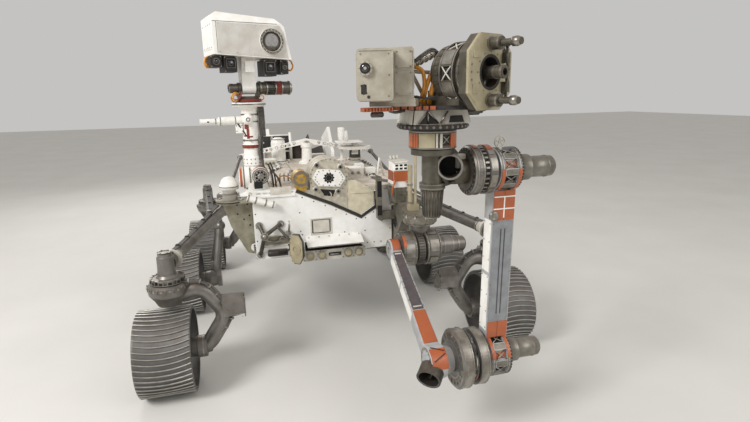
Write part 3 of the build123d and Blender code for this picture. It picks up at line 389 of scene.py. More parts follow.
FINISHES: dict[str, Finish | Fabric | Flex | LensGlass] = {
    # Matt white thermal paint: bright and even, a little chalky, tan where dust settles
    "white": Finish("white_thermal_paint", "#F0EEE9", "#E4E0D8", 0.55, dust=0.14),
    # The same paint on the body's panels, a shade cooler
    "panel": Finish("white_panel_paint", "#EEEDE9", "#E0DED8", 0.5, dust=0.12, patch_mm=90.0),
    # Off-white coating of the small instrument housings
    "cream": Finish("cream_coated_aluminium", "#CBC7BC", "#B5B0A3", 0.5, dust=0.14, patch_mm=60.0),
    # Light grey anodised face of the arm links
    "link": Finish("grey_anodised_link", "#B9BABB", "#A7A7A7", 0.45, metallic=0.25, dust=0.14),
    # Olive-khaki coat of the body's side fitting and brackets
    "drab": Finish("olive_drab_coating", "#9C9784", "#7E7966", 0.5, metallic=0.2, dust=0.18, patch_mm=45.0),
    # Beige-grey coat of the turret's sensor head, which reads warmer than the body's white
    "stone": Finish("stone_coated_aluminium", "#B1AA9B", "#968F7F", 0.45, dust=0.14, patch_mm=60.0),
    # Titanium tubes of the suspension, brown-grey from heat and dust
    "titanium": Finish(
        "titanium_tube", "#85827D", "#67635E", 0.36, metallic=0.7, dust=0.12, patch_mm=90.0,
        brushed=(1, 6, 6)
    ),
    # Blackened actuator housings with a dull sheen
    "actuator": Finish(
        "anodised_actuator_housing", "#5E5B55", "#44413B", 0.4, metallic=0.65, dust=0.14, patch_mm=40.0
    ),
    # Bare machined aluminium rings and flanges
    "machined": Finish(
        "machined_aluminium", "#A7A39B", "#7B766E", 0.34, metallic=0.9, dust=0.15, brushed=(9, 1, 1)
    ),
    # Wheel skin: thin rolled aluminium, dulled by grit, painted darker as shade between the cleats
    "wheel": Finish(
        "rolled_wheel_aluminium", "#6E6D6B", "#5C5A58", 0.5, metallic=0.55, dust=0.12, patch_mm=80.0
    ),
    # Cleats: the same metal as the skin, painted brighter as highlight on the raised bars
    "cleat": Finish("wheel_cleats_painted_highlight", "#A9A7A1", "#8C8983", 0.38, metallic=0.6, dust=0.10, patch_mm=50.0),
    # Warm grey machined housings of the drill
    "gunmetal": Finish(
        "drill_housing_metal", "#6B665B", "#504C43", 0.38, metallic=0.65, dust=0.14, patch_mm=40.0
    ),
    # Satin cans of the joint motors
    "motor": Finish(
        "satin_motor_can", "#8F8B82", "#77736A", 0.36, metallic=0.7, dust=0.12, patch_mm=40.0,
        brushed=(9, 1, 1)
    ),
    # Golden film cap beside the carousel
    "yellow": Finish("golden_film_cap", "#C9A24B", "#96722C", 0.35, metallic=0.5, dust=0.15, patch_mm=20.0),
    # Black-painted mechanism and camera housings; also painted shade in recesses, windows, cut-outs and the
    # drill's well
    "black": Finish("black_coating_and_painted_shade", "#2B2927", "#1B1A19", 0.55, dust=0.16, patch_mm=20.0),
    # Deck plate: pale coated aluminium with a worn film
    "deck": Finish("coated_deck_plate", "#D8D4CA", "#B9B3A6", 0.5, dust=0.4, patch_mm=70.0),
    # Light beige coat of the carousel's housing
    "housing": Finish(
        "beige_coated_housing", "#C3BCAC", "#A79F8E", 0.5, metallic=0.15, dust=0.2, patch_mm=30.0
    ),
    # Pale cloth bib beside it
    "bib": Fabric("pale_thermal_blanket", "#D8D0BA", "#BDB39A"),
    # Khaki coat of the drill's face plate and small trims
    "khaki": Finish(
        "khaki_coated_plate", "#B3A98C", "#9A9075", 0.48, metallic=0.2, dust=0.12, patch_mm=70.0
    ),
    # Olive-grey machined bands and brackets
    "olive": Finish(
        "olive_grey_anodised", "#8A867A", "#6A665B", 0.40, metallic=0.6, dust=0.12, patch_mm=40.0
    ),
    # Dark face of the upper link
    "label": Finish("dark_label_plate", "#4B4950", "#3E3C44", 0.5, dust=0.14, patch_mm=45.0),
    # Mid grey face of the forearm
    "grey": Finish("grey_label_plate", "#8D8F92", "#7C7E81", 0.5, dust=0.16, patch_mm=45.0),
    # The head's white paint, painted a warm light grey on its front as shade
    "shaded_head_front": Finish("white_paint_painted_shade", "#CFCBC4", "#BEB9B0", 0.5, dust=0.14, patch_mm=60.0),
    # Painted shade: near-black sheets in unlit openings and the insides of housings
    "void": Finish("painted_shade_dark", "#151413", "#0C0B0B", 0.8, dust=0.04, patch_mm=20.0),
    # Copper-coloured flat circuits along the arm
    "flex": Flex("copper_flat_circuit", "#C0622A", "#8E4118", 3.0),
    # Dark red wrap round the mast's harness
    "wrap": Fabric("red_harness_wrap", "#8E3524", "#5F2118", weave_mm=1.4, fold_mm=18.0, fold_depth_mm=1.5),
    # Grey braided sleeve of the cables
    "braid": Fabric(
        "braided_cable_sleeve", "#6B6660", "#3A3733", weave_mm=1.2, fold_mm=10.0, fold_depth_mm=0.6
    ),
    # Amber film round the hoses
    "amber": Finish("amber_film_hose", "#DE9A2A", "#B8741C", 0.35, dust=0.08, patch_mm=18.0, coat=0.4),
    # Coated glass of the cameras
    "glass": LensGlass("coated_lens_glass", "#0C0D10", "#241F2B"),
    # Wide window of the big lens, painted brown-grey as the reflection in the mirror behind it
    "window": LensGlass("telescope_window_glass", "#3A342D", "#5B5145"),
}
MATERIALS: dict[str, bpy.types.Material] = {}


def finish_of(key: str) -> bpy.types.Material:
    """Makes a finish once and gives it out again afterwards.

    Args:
        key: The finish's short name.

    Returns:
        Its material.
    """
    if key not in MATERIALS:
        MATERIALS[key] = FINISHES[key].build()
    return MATERIALS[key]


# Mesh building


class Axis3(Enum):
    """A named direction in the rover's frame."""

    ACROSS = (1.0, 0.0, 0.0)
    BACK = (0.0, 1.0, 0.0)
    UP = (0.0, 0.0, 1.0)
    AHEAD = (0.0, -1.0, 0.0)
    OUT_RIGHT = (-1.0, 0.0, 0.0)
    DOWN = (0.0, 0.0, -1.0)


Aim = Axis3 | Spot


def aim_of(axis: Aim) -> Vector:
    """The unit vector of a named axis or of a plain direction."""
    return Vector(axis.value if isinstance(axis, Axis3) else axis).normalized()


def placed(origin: Spot, first: Vector, second: Vector, third: Vector) -> Matrix:
    """The place with this origin and these axes."""
    return Matrix.Translation(origin) @ Matrix((first, second, third)).transposed().to_4x4()


def outward(place: Matrix) -> Vector:
    """The third axis of a place, which points out of its plane."""
    return place.to_3x3() @ Vector((0, 0, 1))


def polar(centre: Pair, radius: float, a: float) -> Pair:
    """The point at an angle, in radians, on a circle."""
    return centre[0] + radius * cos(a), centre[1] + radius * sin(a)


def basis(centre: Spot, axis: Aim) -> Matrix:
    """Place whose third axis points along a direction and whose second stays as upright as it can.

    Args:
        centre: Its origin.
        axis: Direction of its third axis.

    Returns:
        The place as a matrix.
    """
    ahead = aim_of(axis)
    guide = Vector((0, 0, 1)) if abs(ahead.z) < 0.95 else Vector((0, 1, 0))
    right = guide.cross(ahead).normalized()
    up = ahead.cross(right)
    return placed(centre, right, up, ahead)


@dataclass
class Mesher:
    """Collects shapes into one mesh that becomes a single piece."""

    name: str
    body: str
    finish: str
    slot: str = ""
    turn: Matrix = field(default_factory=Matrix)
    bm: bmesh.types.BMesh = field(default_factory=bmesh.new)

    def _skin(
        self, rings: list[list[bmesh.types.BMVert]], smooth: bool = False, caps: bool = True
    ) -> "Mesher":
        """Joins closed rings of vertices with quads.

        Args:
            rings: Rings with the same number of vertices.
            smooth: Whether the sides shade smoothly.
            caps: Whether the first and last ring get a face.

        Returns:
            The mesher itself.
        """
        for low, high in zip(rings, rings[1:]):
            for i, j in zip(range(len(low)), [*range(1, len(low)), 0]):
                self.bm.faces.new((low[i], low[j], high[j], high[i])).smooth = smooth
        if caps:
            self.bm.faces.new(list(reversed(rings[0])))
            self.bm.faces.new(rings[-1])
        return self

    def lathe(
        self, centre: Spot, axis: Aim, stations: Sequence[Pair], segments: int = 40, caps: bool = True,
        smooth: bool = True
    ) -> "Mesher":
        """Turns a profile about a line.

        Args:
            centre: Start of the line.
            axis: Its direction.
            stations: Pairs of distance along it and radius.
            segments: Steps round it.
            caps: Whether both ends are closed.
            smooth: Whether the sides shade smoothly.

        Returns:
            The mesher itself.
        """
        place = basis(centre, axis)
        rings = []
        for along, radius in stations:
            ring = []
            for i in range(segments):
                a = 2 * pi * i / segments
                ring.append(self.bm.verts.new(place @ Vector((radius * cos(a), radius * sin(a), along))))
            rings.append(ring)
        return self._skin(rings, smooth, caps)

    def ring(
        self, centre: Spot, axis: Aim, outer: float, inner: float, depth: float, segments: int = 40
    ) -> "Mesher":
        """A flat ring with a hole, its base at centre."""
        stations = [(0, inner), (0, outer), (depth, outer), (depth, inner), (0, inner)]
        return self.lathe(centre, axis, stations, segments, caps=False, smooth=False)

    def sector(
        self, centre: Spot, axis: Aim, radius: float, depth: float, angles: Pair, along: Pair,
        steps: int = 10
    ) -> "Mesher":
        """A curved panel round an axis.

        Args:
            centre: Start of the axis.
            axis: Its direction.
            radius: Inner radius of the panel.
            depth: Its thickness.
            angles: First and last angle, in degrees, from the place's first axis.
            along: First and last distance along the axis.
            steps: Facets across it.

        Returns:
            The mesher itself.
        """
        place = basis(centre, axis)
        rings = []
        for i in range(steps + 1):
            a = radians(angles[0] + (angles[1] - angles[0]) * i / steps)
            out = Vector((cos(a), sin(a), 0))
            corners = (
                (radius, along[0]), (radius + depth, along[0]), (radius + depth, along[1]),
                (radius, along[1])
            )
            rings.append([self.bm.verts.new(place @ (out * r + Vector((0, 0, z)))) for r, z in corners])
        return self._skin(rings)

    def ball(self, centre: Spot, radius: float) -> "Mesher":
        """A round knob, turned from a half circle."""
        steps = 10
        arc = [pi * k / steps for k in range(1, steps)]
        stations = [(-radius * cos(a), radius * sin(a)) for a in arc]
        return self.lathe(centre, Axis3.UP, stations, 24)

    def block(self, place: Matrix, size: Point, bevel: float = 0.0015) -> "Mesher":
        """A box with bevelled edges.

        Args:
            place: Its centre and axes.
            size: Its three sizes.
            bevel: Width of the bevels.

        Returns:
            The mesher itself.
        """
        part = bmesh.ops.create_cube(self.bm, size=1.0)["verts"]
        bmesh.ops.transform(self.bm, matrix=place @ Matrix.Diagonal((*size, 1.0)), verts=part)
        if bevel:
            edges = list(dict.fromkeys(e for v in part for e in v.link_edges))
            bmesh.ops.bevel(
                self.bm, geom=edges, offset=min(bevel, min(size) * 0.3), segments=2, affect="EDGES",
                profile=0.6
            )
        return self

    def box(self, low: Spot, high: Spot, bevel: float = 0.0015) -> "Mesher":
        """A bevelled box between two corners."""
        low, high = Vector(low), Vector(high)
        return self.block(Matrix.Translation((low + high) / 2), tuple(high - low), bevel)

    def plate(
        self, place: Matrix, outline: Sequence[Pair], thickness: float, bevel: float = 0.001
    ) -> "Mesher":
        """A flat plate with any outline.

        Args:
            place: Plane of its base, thickness along its third axis.
            outline: Corners in that plane.
            thickness: Its thickness.
            bevel: Width of the bevel round both faces.

        Returns:
            The mesher itself.
        """
        low = [self.bm.verts.new(place @ Vector((x, y, 0))) for x, y in outline]
        high = [self.bm.verts.new(place @ Vector((x, y, thickness))) for x, y in outline]
        faces = [self.bm.faces.new(list(reversed(low))), self.bm.faces.new(high)]
        self._skin([low, high], caps=False)
        if bevel:
            edges = [e for f in faces for e in f.edges]
            bmesh.ops.bevel(self.bm, geom=edges, offset=bevel, segments=1, affect="EDGES")
        return self

    def holed(
        self, place: Matrix, outline: Sequence[Pair], hole: float, low: float, high: float, steps: int = 64
    ) -> "Mesher":
        """A plate with any convex outline round its middle and a round hole through it.

        Args:
            place: Plane of the outline, its origin in the hole's middle.
            outline: Corners in that plane.
            hole: Radius of the hole.
            low: First level along the third axis.
            high: Second level.
            steps: Steps round it.

        Returns:
            The mesher itself.
        """
        rings: list[list[bmesh.types.BMVert]] = [[], [], [], []]
        corners = {atan2(y, x) for x, y in outline}
        turns = sorted(corners | {-pi + 2 * pi * (k + 0.5) / steps for k in range(steps)})
        for a in turns:
            way = Vector((cos(a), sin(a)))
            reach = 1e9
            for (x0, y0), (x1, y1) in zip(outline, [*outline[1:], outline[0]]):
                edge = Vector((x1 - x0, y1 - y0))
                cross = way.cross(edge)
                if abs(cross) > 1e-9:
                    t = Vector((x0, y0)).cross(edge) / cross
                    u = Vector((x0, y0)).cross(way) / cross
                    if t > 0 and -1e-6 <= u <= 1 + 1e-6:
                        reach = min(reach, t)
            for ring, (r, z) in zip(rings, ((hole, low), (reach, low), (reach, high), (hole, high))):
                ring.append(self.bm.verts.new(place @ Vector((way.x * r, way.y * r, z))))
        return self._skin([*rings, rings[0]], caps=False)

    def slab(self, corners: Sequence[Spot], push: Spot) -> "Mesher":
        """A plate between any flat outline in space and the same outline pushed along a vector."""
        low = [self.bm.verts.new(c) for c in corners]
        high = [self.bm.verts.new(Vector(c) + Vector(push)) for c in corners]
        self.bm.faces.new(list(reversed(low)))
        self.bm.faces.new(high)
        return self._skin([low, high], caps=False)

    def tube(
        self, points: Sequence[Spot], radius: float | Spot, segments: int = 12, rounded: int = 6
    ) -> "Mesher":
        """A round tube, hose or cable along a smooth line through points.

        Args:
            points: Where it passes.
            radius: Its radius, or one for each point.
            segments: Steps round it.
            rounded: Steps between two points, or 0 for straight runs.

        Returns:
            The mesher itself.
        """
        radii = [radius] * len(points) if isinstance(radius, (int, float)) else list(radius)
        line, widths = smooth_line([Vector(p) for p in points], radii, rounded)
        normal = Vector((0, 0, 1))
        rings = []
        for i, spot in enumerate(line):
            ahead = (line[min(i + 1, len(line) - 1)] - line[max(i - 1, 0)]).normalized()
            if abs(normal.dot(ahead)) > 0.94:
                normal = ahead.orthogonal()
            normal = (normal - ahead * normal.dot(ahead)).normalized()
            side = ahead.cross(normal)
            ring = []
            for k in range(segments):
                a = 2 * pi * k / segments
                ring.append(self.bm.verts.new(spot + (normal * cos(a) + side * sin(a)) * widths[i]))
            rings.append(ring)
        return self._skin(rings, True)

    def strip(
        self, points: Sequence[Spot], side: Spot, width: float, thickness: float, rounded: int = 4
    ) -> "Mesher":
        """A flat band along a line.

        Args:
            points: Its middle line.
            side: Direction of its width.
            width: Its width.
            thickness: Its thickness.
            rounded: Steps between two points.

        Returns:
            The mesher itself.
        """
        line, _ = smooth_line([Vector(p) for p in points], [0.0] * len(points), rounded)
        across = Vector(side).normalized() * width / 2
        rings = []
        for i, spot in enumerate(line):
            ahead = (line[min(i + 1, len(line) - 1)] - line[max(i - 1, 0)]).normalized()
            out = ahead.cross(across).normalized() * thickness / 2
            corners = (spot - across - out, spot + across - out, spot + across + out, spot - across + out)
            rings.append([self.bm.verts.new(c) for c in corners])
        return self._skin(rings)

    def mesh(self) -> bpy.types.Mesh:
        """The collected mesh with outward normals, in the shared frame."""
        bmesh.ops.recalc_face_normals(self.bm, faces=self.bm.faces)
        made = bpy.data.meshes.new(self.name)
        self.bm.to_mesh(made)
        self.bm.free()
        made.transform(Matrix.Translation((0, SHIFT_Y, 0)) @ self.turn)
        return made

    def done(self, *stands_for: str) -> bpy.types.Object:
        """Turns the collected shapes into a piece that rides on its body.

        Args:
            stands_for: CAD nodes that the piece is shown instead of.

        Returns:
            The piece.
        """
        made = self.mesh()
        made.materials.append(finish_of(self.finish))
        return ride_piece(self.name, made, self.body, stands_for)


def smooth_line(points: list[Vector], radii: list[float], steps: int) -> tuple[list[Vector], list[float]]:
    """A smooth curve through points, with radii carried along.

    Args:
        points: Where it passes.
        radii: One radius for each point.
        steps: Steps between two points; 0 or 1 keeps straight runs.

    Returns:
        The finer points and their radii.
    """
    if steps < 2 or len(points) < 3:
        return points, radii
    ends = [points[0] * 2 - points[1], *points, points[-1] * 2 - points[-2]]
    line, widths = [], []
    for i in range(1, len(ends) - 2):
        a, b, c, d = ends[i - 1 : i + 3]
        for k in range(steps):
            t = k / steps
            spot = 0.5 * (
                2 * b + (c - a) * t + (2 * a - 5 * b + 4 * c - d) * t * t + (3 * b - a - 3 * c + d) * t**3
            )
            line.append(spot)
            widths.append(radii[i - 1] * (1 - t) + radii[i] * t)
    return [*line, points[-1]], [*widths, radii[-1]]


def ride_piece(
    name: str, mesh: bpy.types.Mesh, body: str, stands_for: Iterable[str] = ()
) -> bpy.types.Object:
    """Puts a finished mesh in the scene as a piece of the object.

    Args:
        name: The piece's name.
        mesh: Its mesh, in the shared frame.
        body: CAD body it moves with.
        stands_for: CAD nodes that it is shown instead of.

    Returns:
        The piece.
    """
    piece = bpy.data.objects.new(name, mesh)
    bpy.context.scene.collection.objects.link(piece)
    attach(piece, body)
    for node in stands_for:
        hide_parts(node)
    LOG.info("%s on %s, %d faces", name, body, len(mesh.polygons))
    return piece


# Geometry node trees for what repeats


class Tree:
    """A geometry node tree with short calls, named inputs and one mesh output."""

    def __init__(self, name: str, inputs: dict[str, tuple[str, object]]) -> None:
        """Creates the tree.

        Args:
            name: The tree's name.
            inputs: Socket type and default value of each input, by name.
        """
        self.tree = bpy.data.node_groups.new(name, "GeometryNodeTree")
        self.tree.interface.new_socket("Geometry", in_out="INPUT", socket_type="NodeSocketGeometry")
        self.ids: dict[str, str] = {}
        for key, (kind, value) in inputs.items():
            made = self.tree.interface.new_socket(key, in_out="INPUT", socket_type=kind)
            if value is not None:
                made.default_value = value
            self.ids[key] = made.identifier
        self.tree.interface.new_socket("Geometry", in_out="OUTPUT", socket_type="NodeSocketGeometry")
        self.entry = self.tree.nodes.new("NodeGroupInput")
        self.exit = self.tree.nodes.new("NodeGroupOutput")

    def add(self, kind: str, inputs: dict | None = None, **settings: object) -> bpy.types.Node:
        """Adds one node.

        Args:
            kind: The node's type name.
            inputs: Values or sockets for its inputs, by name or index.
            settings: Plain properties of the node.

        Returns:
            The new node.
        """
        node = self.tree.nodes.new(kind)
        for key, value in settings.items():
            setattr(node, key, value)
        for key, value in (inputs or {}).items():
            socket = node.inputs[key]
            if isinstance(value, bpy.types.NodeSocket):
                self.tree.links.new(value, socket)
            else:
                socket.default_value = value
        return node

    def source(self, key: str) -> bpy.types.NodeSocket:
        """The socket of a named input."""
        return self.entry.outputs[key]

    def calc(self, kind: str, first: object, second: object = 0.0) -> bpy.types.NodeSocket:
        """A plain sum of two values."""
        return self.add("ShaderNodeMath", {0: first, 1: second}, operation=kind).outputs[0]

    def close(self, geometry: bpy.types.NodeSocket) -> None:
        """Realizes the instances, sets the material and joins the output.

        Args:
            geometry: What the tree makes.
        """
        real = self.add("GeometryNodeRealizeInstances", {0: geometry})
        painted = self.add("GeometryNodeSetMaterial", {
            "Geometry": real.outputs[0], "Material": self.source("Material")
        })
        self.tree.links.new(painted.outputs[0], self.exit.inputs[0])

    def bake(self, name: str, base: bpy.types.Mesh, values: dict[str, object]) -> bpy.types.Mesh:
        """Runs the tree on a mesh and returns the plain mesh it makes.

        Args:
            name: Name of the new mesh.
            base: Mesh the tree starts from.
            values: Values of the named inputs.

        Returns:
            The plain mesh.
        """
        carrier = bpy.data.objects.new(name, base)
        bpy.context.scene.collection.objects.link(carrier)
        modifier = carrier.modifiers.new("tree", "NODES")
        modifier.node_group = self.tree
        for key, value in values.items():
            modifier[self.ids[key]] = value
        bpy.context.view_layer.update()
        ready = carrier.evaluated_get(bpy.context.evaluated_depsgraph_get())
        made = bpy.data.meshes.new_from_object(ready)
        bpy.data.objects.remove(carrier)
        made.name = name
        return made


def grouser_tree() -> Tree:
    """Cleats round a wheel: one bowed bar, repeated about the X axis.

    Returns:
        The tree, with inputs for count, radius, width, height, thickness and bow.
    """
    t = Tree("wheel_cleats", {
        "Count": ("NodeSocketInt", 48),
        "Radius": ("NodeSocketFloat", 0.256),
        "Width": ("NodeSocketFloat", 0.3),
        "Height": ("NodeSocketFloat", 0.006),
        "Thickness": ("NodeSocketFloat", 0.004),
        "Bow": ("NodeSocketFloat", 0.03),
        "Material": ("NodeSocketMaterial", None)
    })
    half = t.calc("DIVIDE", t.source("Width"), 2.0)
    ends = [
        t.add("ShaderNodeCombineXYZ", {"X": x}).outputs[0] for x in (t.calc("MULTIPLY", half, -1.0), half)
    ]
    crown = t.add("ShaderNodeCombineXYZ", {"Y": t.calc("MULTIPLY", t.source("Bow"), 2.0)}).outputs[0]
    line = t.add("GeometryNodeCurveQuadraticBezier", {
        "Resolution": 14, "Start": ends[0], "Middle": crown, "End": ends[1]
    })
    shape = t.add("GeometryNodeCurvePrimitiveQuadrilateral", {
        "Width": t.source("Thickness"), "Height": t.source("Height")
    })
    bar = t.add("GeometryNodeCurveToMesh", {0: line.outputs[0], 1: shape.outputs[0], "Fill Caps": True})
    # Each bar is bent onto the hoop: its sideways bow becomes an angle round the wheel
    spot = t.add("ShaderNodeSeparateXYZ", {0: t.add("GeometryNodeInputPosition").outputs[0]})
    angle = t.calc("DIVIDE", spot.outputs[1], t.source("Radius"))
    reach = t.calc("ADD", t.source("Radius"), spot.outputs[2])
    bent = t.add("ShaderNodeCombineXYZ", {
        "X": spot.outputs[0], "Y": t.calc("MULTIPLY", reach, t.calc("SINE", angle)),
        "Z": t.calc("MULTIPLY", reach, t.calc("COSINE", angle))
    })
    wrapped = t.add("GeometryNodeSetPosition", {"Geometry": bar.outputs[0], "Position": bent.outputs[0]})
    points = t.add("GeometryNodePoints", {"Count": t.source("Count")})
    step = t.calc("DIVIDE", 2 * pi, t.source("Count"))
    turn = t.calc("MULTIPLY", t.add("GeometryNodeInputIndex").outputs[0], step)
    spin = t.add("ShaderNodeCombineXYZ", {"X": turn})
    spread = t.add("GeometryNodeInstanceOnPoints", {
        "Points": points.outputs[0], "Instance": wrapped.outputs[0], "Rotation": spin.outputs[0]
    })
    t.close(spread.outputs[0])
    return t


def fastener_tree() -> Tree:
    """Hexagon bolts on washers at every point, standing along the point's own direction.

    Returns:
        The tree, with inputs for the bolt's radius and height.
    """
    t = Tree("fasteners", {
        "Radius": ("NodeSocketFloat", 0.004), "Height": ("NodeSocketFloat", 0.003),
        "Material": ("NodeSocketMaterial", None)
    })
    wide = t.calc("MULTIPLY", t.source("Radius"), 1.5)
    washer = t.add("GeometryNodeMeshCylinder", {
        "Vertices": 12, "Radius": wide, "Depth": t.calc("MULTIPLY", t.source("Height"), 0.6)
    })
    head = t.add("GeometryNodeMeshCylinder", {
        "Vertices": 6, "Radius": t.source("Radius"), "Depth": t.calc("MULTIPLY", t.source("Height"), 2.0)
    })
    bolt = t.add("GeometryNodeJoinGeometry")
    for part in (washer, head):
        t.tree.links.new(part.outputs[0], bolt.inputs[0])
    aim = t.add("GeometryNodeInputNamedAttribute", {"Name": "aim"}, data_type="FLOAT_VECTOR")
    size = t.add("GeometryNodeInputNamedAttribute", {"Name": "size"}, data_type="FLOAT")
    stand = t.add("FunctionNodeAlignRotationToVector", {"Vector": aim.outputs[0]}, axis="Z")
    spread = t.add("GeometryNodeInstanceOnPoints", {
        "Points": t.entry.outputs[0], "Instance": bolt.outputs[0], "Rotation": stand.outputs[0],
        "Scale": size.outputs[0]
    })
    t.close(spread.outputs[0])
    return t


def tie_tree() -> Tree:
    """Cable ties along lines: a short sleeve at even steps, standing along the line.

    Returns:
        The tree, with inputs for the step, the sleeve's radius and its length.
    """
    t = Tree("cable_ties", {
        "Step": ("NodeSocketFloat", 0.03), "Radius": ("NodeSocketFloat", 0.008),
        "Length": ("NodeSocketFloat", 0.006), "Material": ("NodeSocketMaterial", None)
    })
    curve = t.add("GeometryNodeMeshToCurve", {0: t.entry.outputs[0]})
    points = t.add(
        "GeometryNodeCurveToPoints", {"Curve": curve.outputs[0], "Length": t.source("Step")}, mode="LENGTH"
    )
    sleeve = t.add("GeometryNodeMeshCylinder", {
        "Vertices": 14, "Radius": t.source("Radius"), "Depth": t.source("Length")
    })
    spread = t.add("GeometryNodeInstanceOnPoints", {
        "Points": points.outputs[0], "Instance": sleeve.outputs[0], "Rotation": points.outputs["Rotation"]
    })
    t.close(spread.outputs[0])
    return t


TREES: dict[str, Tree] = {}


def tree_of(key: str) -> Tree:
    """Makes a tree once and gives it out again afterwards."""
    makers = {"cleats": grouser_tree, "bolts": fastener_tree, "ties": tie_tree}
    if key not in TREES:
        TREES[key] = makers[key]()
    return TREES[key]


@dataclass
class Bolts:
    """All the fasteners of one size on one body, as points that the tree turns into bolts."""

    name: str
    body: str
    radius: float = 0.0045
    height: float = 0.003
    finish: str = "machined"
    turn: Matrix = field(default_factory=Matrix)
    spots: list[tuple[Vector, Vector, float]] = field(default_factory=list)

    def at(self, spot: Spot, aim: Aim, size: float = 1.0) -> None:
        """Adds one bolt."""
        self.spots.append((Vector(spot), aim_of(aim), size))

    def circle(self, centre: Spot, aim: Aim, radius: float, count: int, size: float = 1.0) -> None:
        """Adds a bolt circle.

        Args:
            centre: Middle of the circle.
            aim: Direction the bolts stand in.
            radius: Radius of the circle.
            count: How many bolts.
            size: Scale of each bolt.
        """
        place = basis(centre, aim)
        for i in range(count):
            a = 2 * pi * i / count
            self.at(place @ Vector((radius * cos(a), radius * sin(a), 0)), aim, size)

    def rim(
        self, centre: Spot, axis: Axis3, radius: float, count: int, size: float = 1.0, start: float = 0.0
    ) -> None:
        """Adds bolts round a drum, each standing straight out from its axis.

        Args:
            centre: Middle of the drum at the bolts' level.
            axis: The drum's axis, ACROSS or UP.
            radius: Radius that the bolts stand on.
            count: How many bolts.
            size: Scale of each bolt.
            start: Angle of the first, in degrees.
        """
        for k in range(count):
            a = radians(start + 360 / count * k)
            out = Vector((0, cos(a), sin(a))) if axis is Axis3.ACROSS else Vector((cos(a), sin(a), 0))
            self.at(Vector(centre) + out * radius, out, size)

    def row(self, first: Spot, last: Spot, aim: Aim, count: int, size: float = 1.0) -> None:
        """Adds bolts in a straight row, both ends included."""
        for i in range(count):
            self.at(Vector(first).lerp(Vector(last), i / max(count - 1, 1)), aim, size)

    def done(self) -> bpy.types.Object:
        """Runs the tree and puts the bolts in the scene as one piece."""
        base = bpy.data.meshes.new(self.name)
        base.from_pydata([s[0] + Vector((0, SHIFT_Y, 0)) for s in self.spots], [], [])
        base.attributes.new("aim", "FLOAT_VECTOR", "POINT")
        base.attributes.new("size", "FLOAT", "POINT")
        for i, (_, aim, size) in enumerate(self.spots):
            base.attributes["aim"].data[i].vector = aim
            base.attributes["size"].data[i].value = size
        values = {"Radius": self.radius, "Height": self.height, "Material": finish_of(self.finish)}
        made = tree_of("bolts").bake(self.name, base, values)
        lift = Matrix.Translation((0, SHIFT_Y, 0))
        made.transform(lift @ self.turn @ lift.inverted())
        return ride_piece(self.name, made, self.body)


def ties(
    name: str, body: str, lines: Sequence[Sequence[Point]], step: float, radius: float, length: float,
    finish: str
) -> bpy.types.Object:
    """Puts cable ties along lines.

    Args:
        name: The piece's name.
        body: Body it rides on.
        lines: Lines of points in the rover's frame.
        step: Distance between ties.
        radius: Radius of a tie.
        length: Length of a tie.
        finish: Its finish.

    Returns:
        The piece.
    """
    vertices, edges = [], []
    for points in lines:
        line, _ = smooth_line([Vector(p) for p in points], [0.0] * len(points), 6)
        first = len(vertices)
        vertices += [p + Vector((0, SHIFT_Y, 0)) for p in line]
        edges += [(first + i, first + i + 1) for i in range(len(line) - 1)]
    base = bpy.data.meshes.new(name)
    base.from_pydata(vertices, edges, [])
    values = {"Step": step, "Radius": radius, "Length": length, "Material": finish_of(finish)}
    return ride_piece(name, tree_of("ties").bake(name, base, values), body)


# Wheels


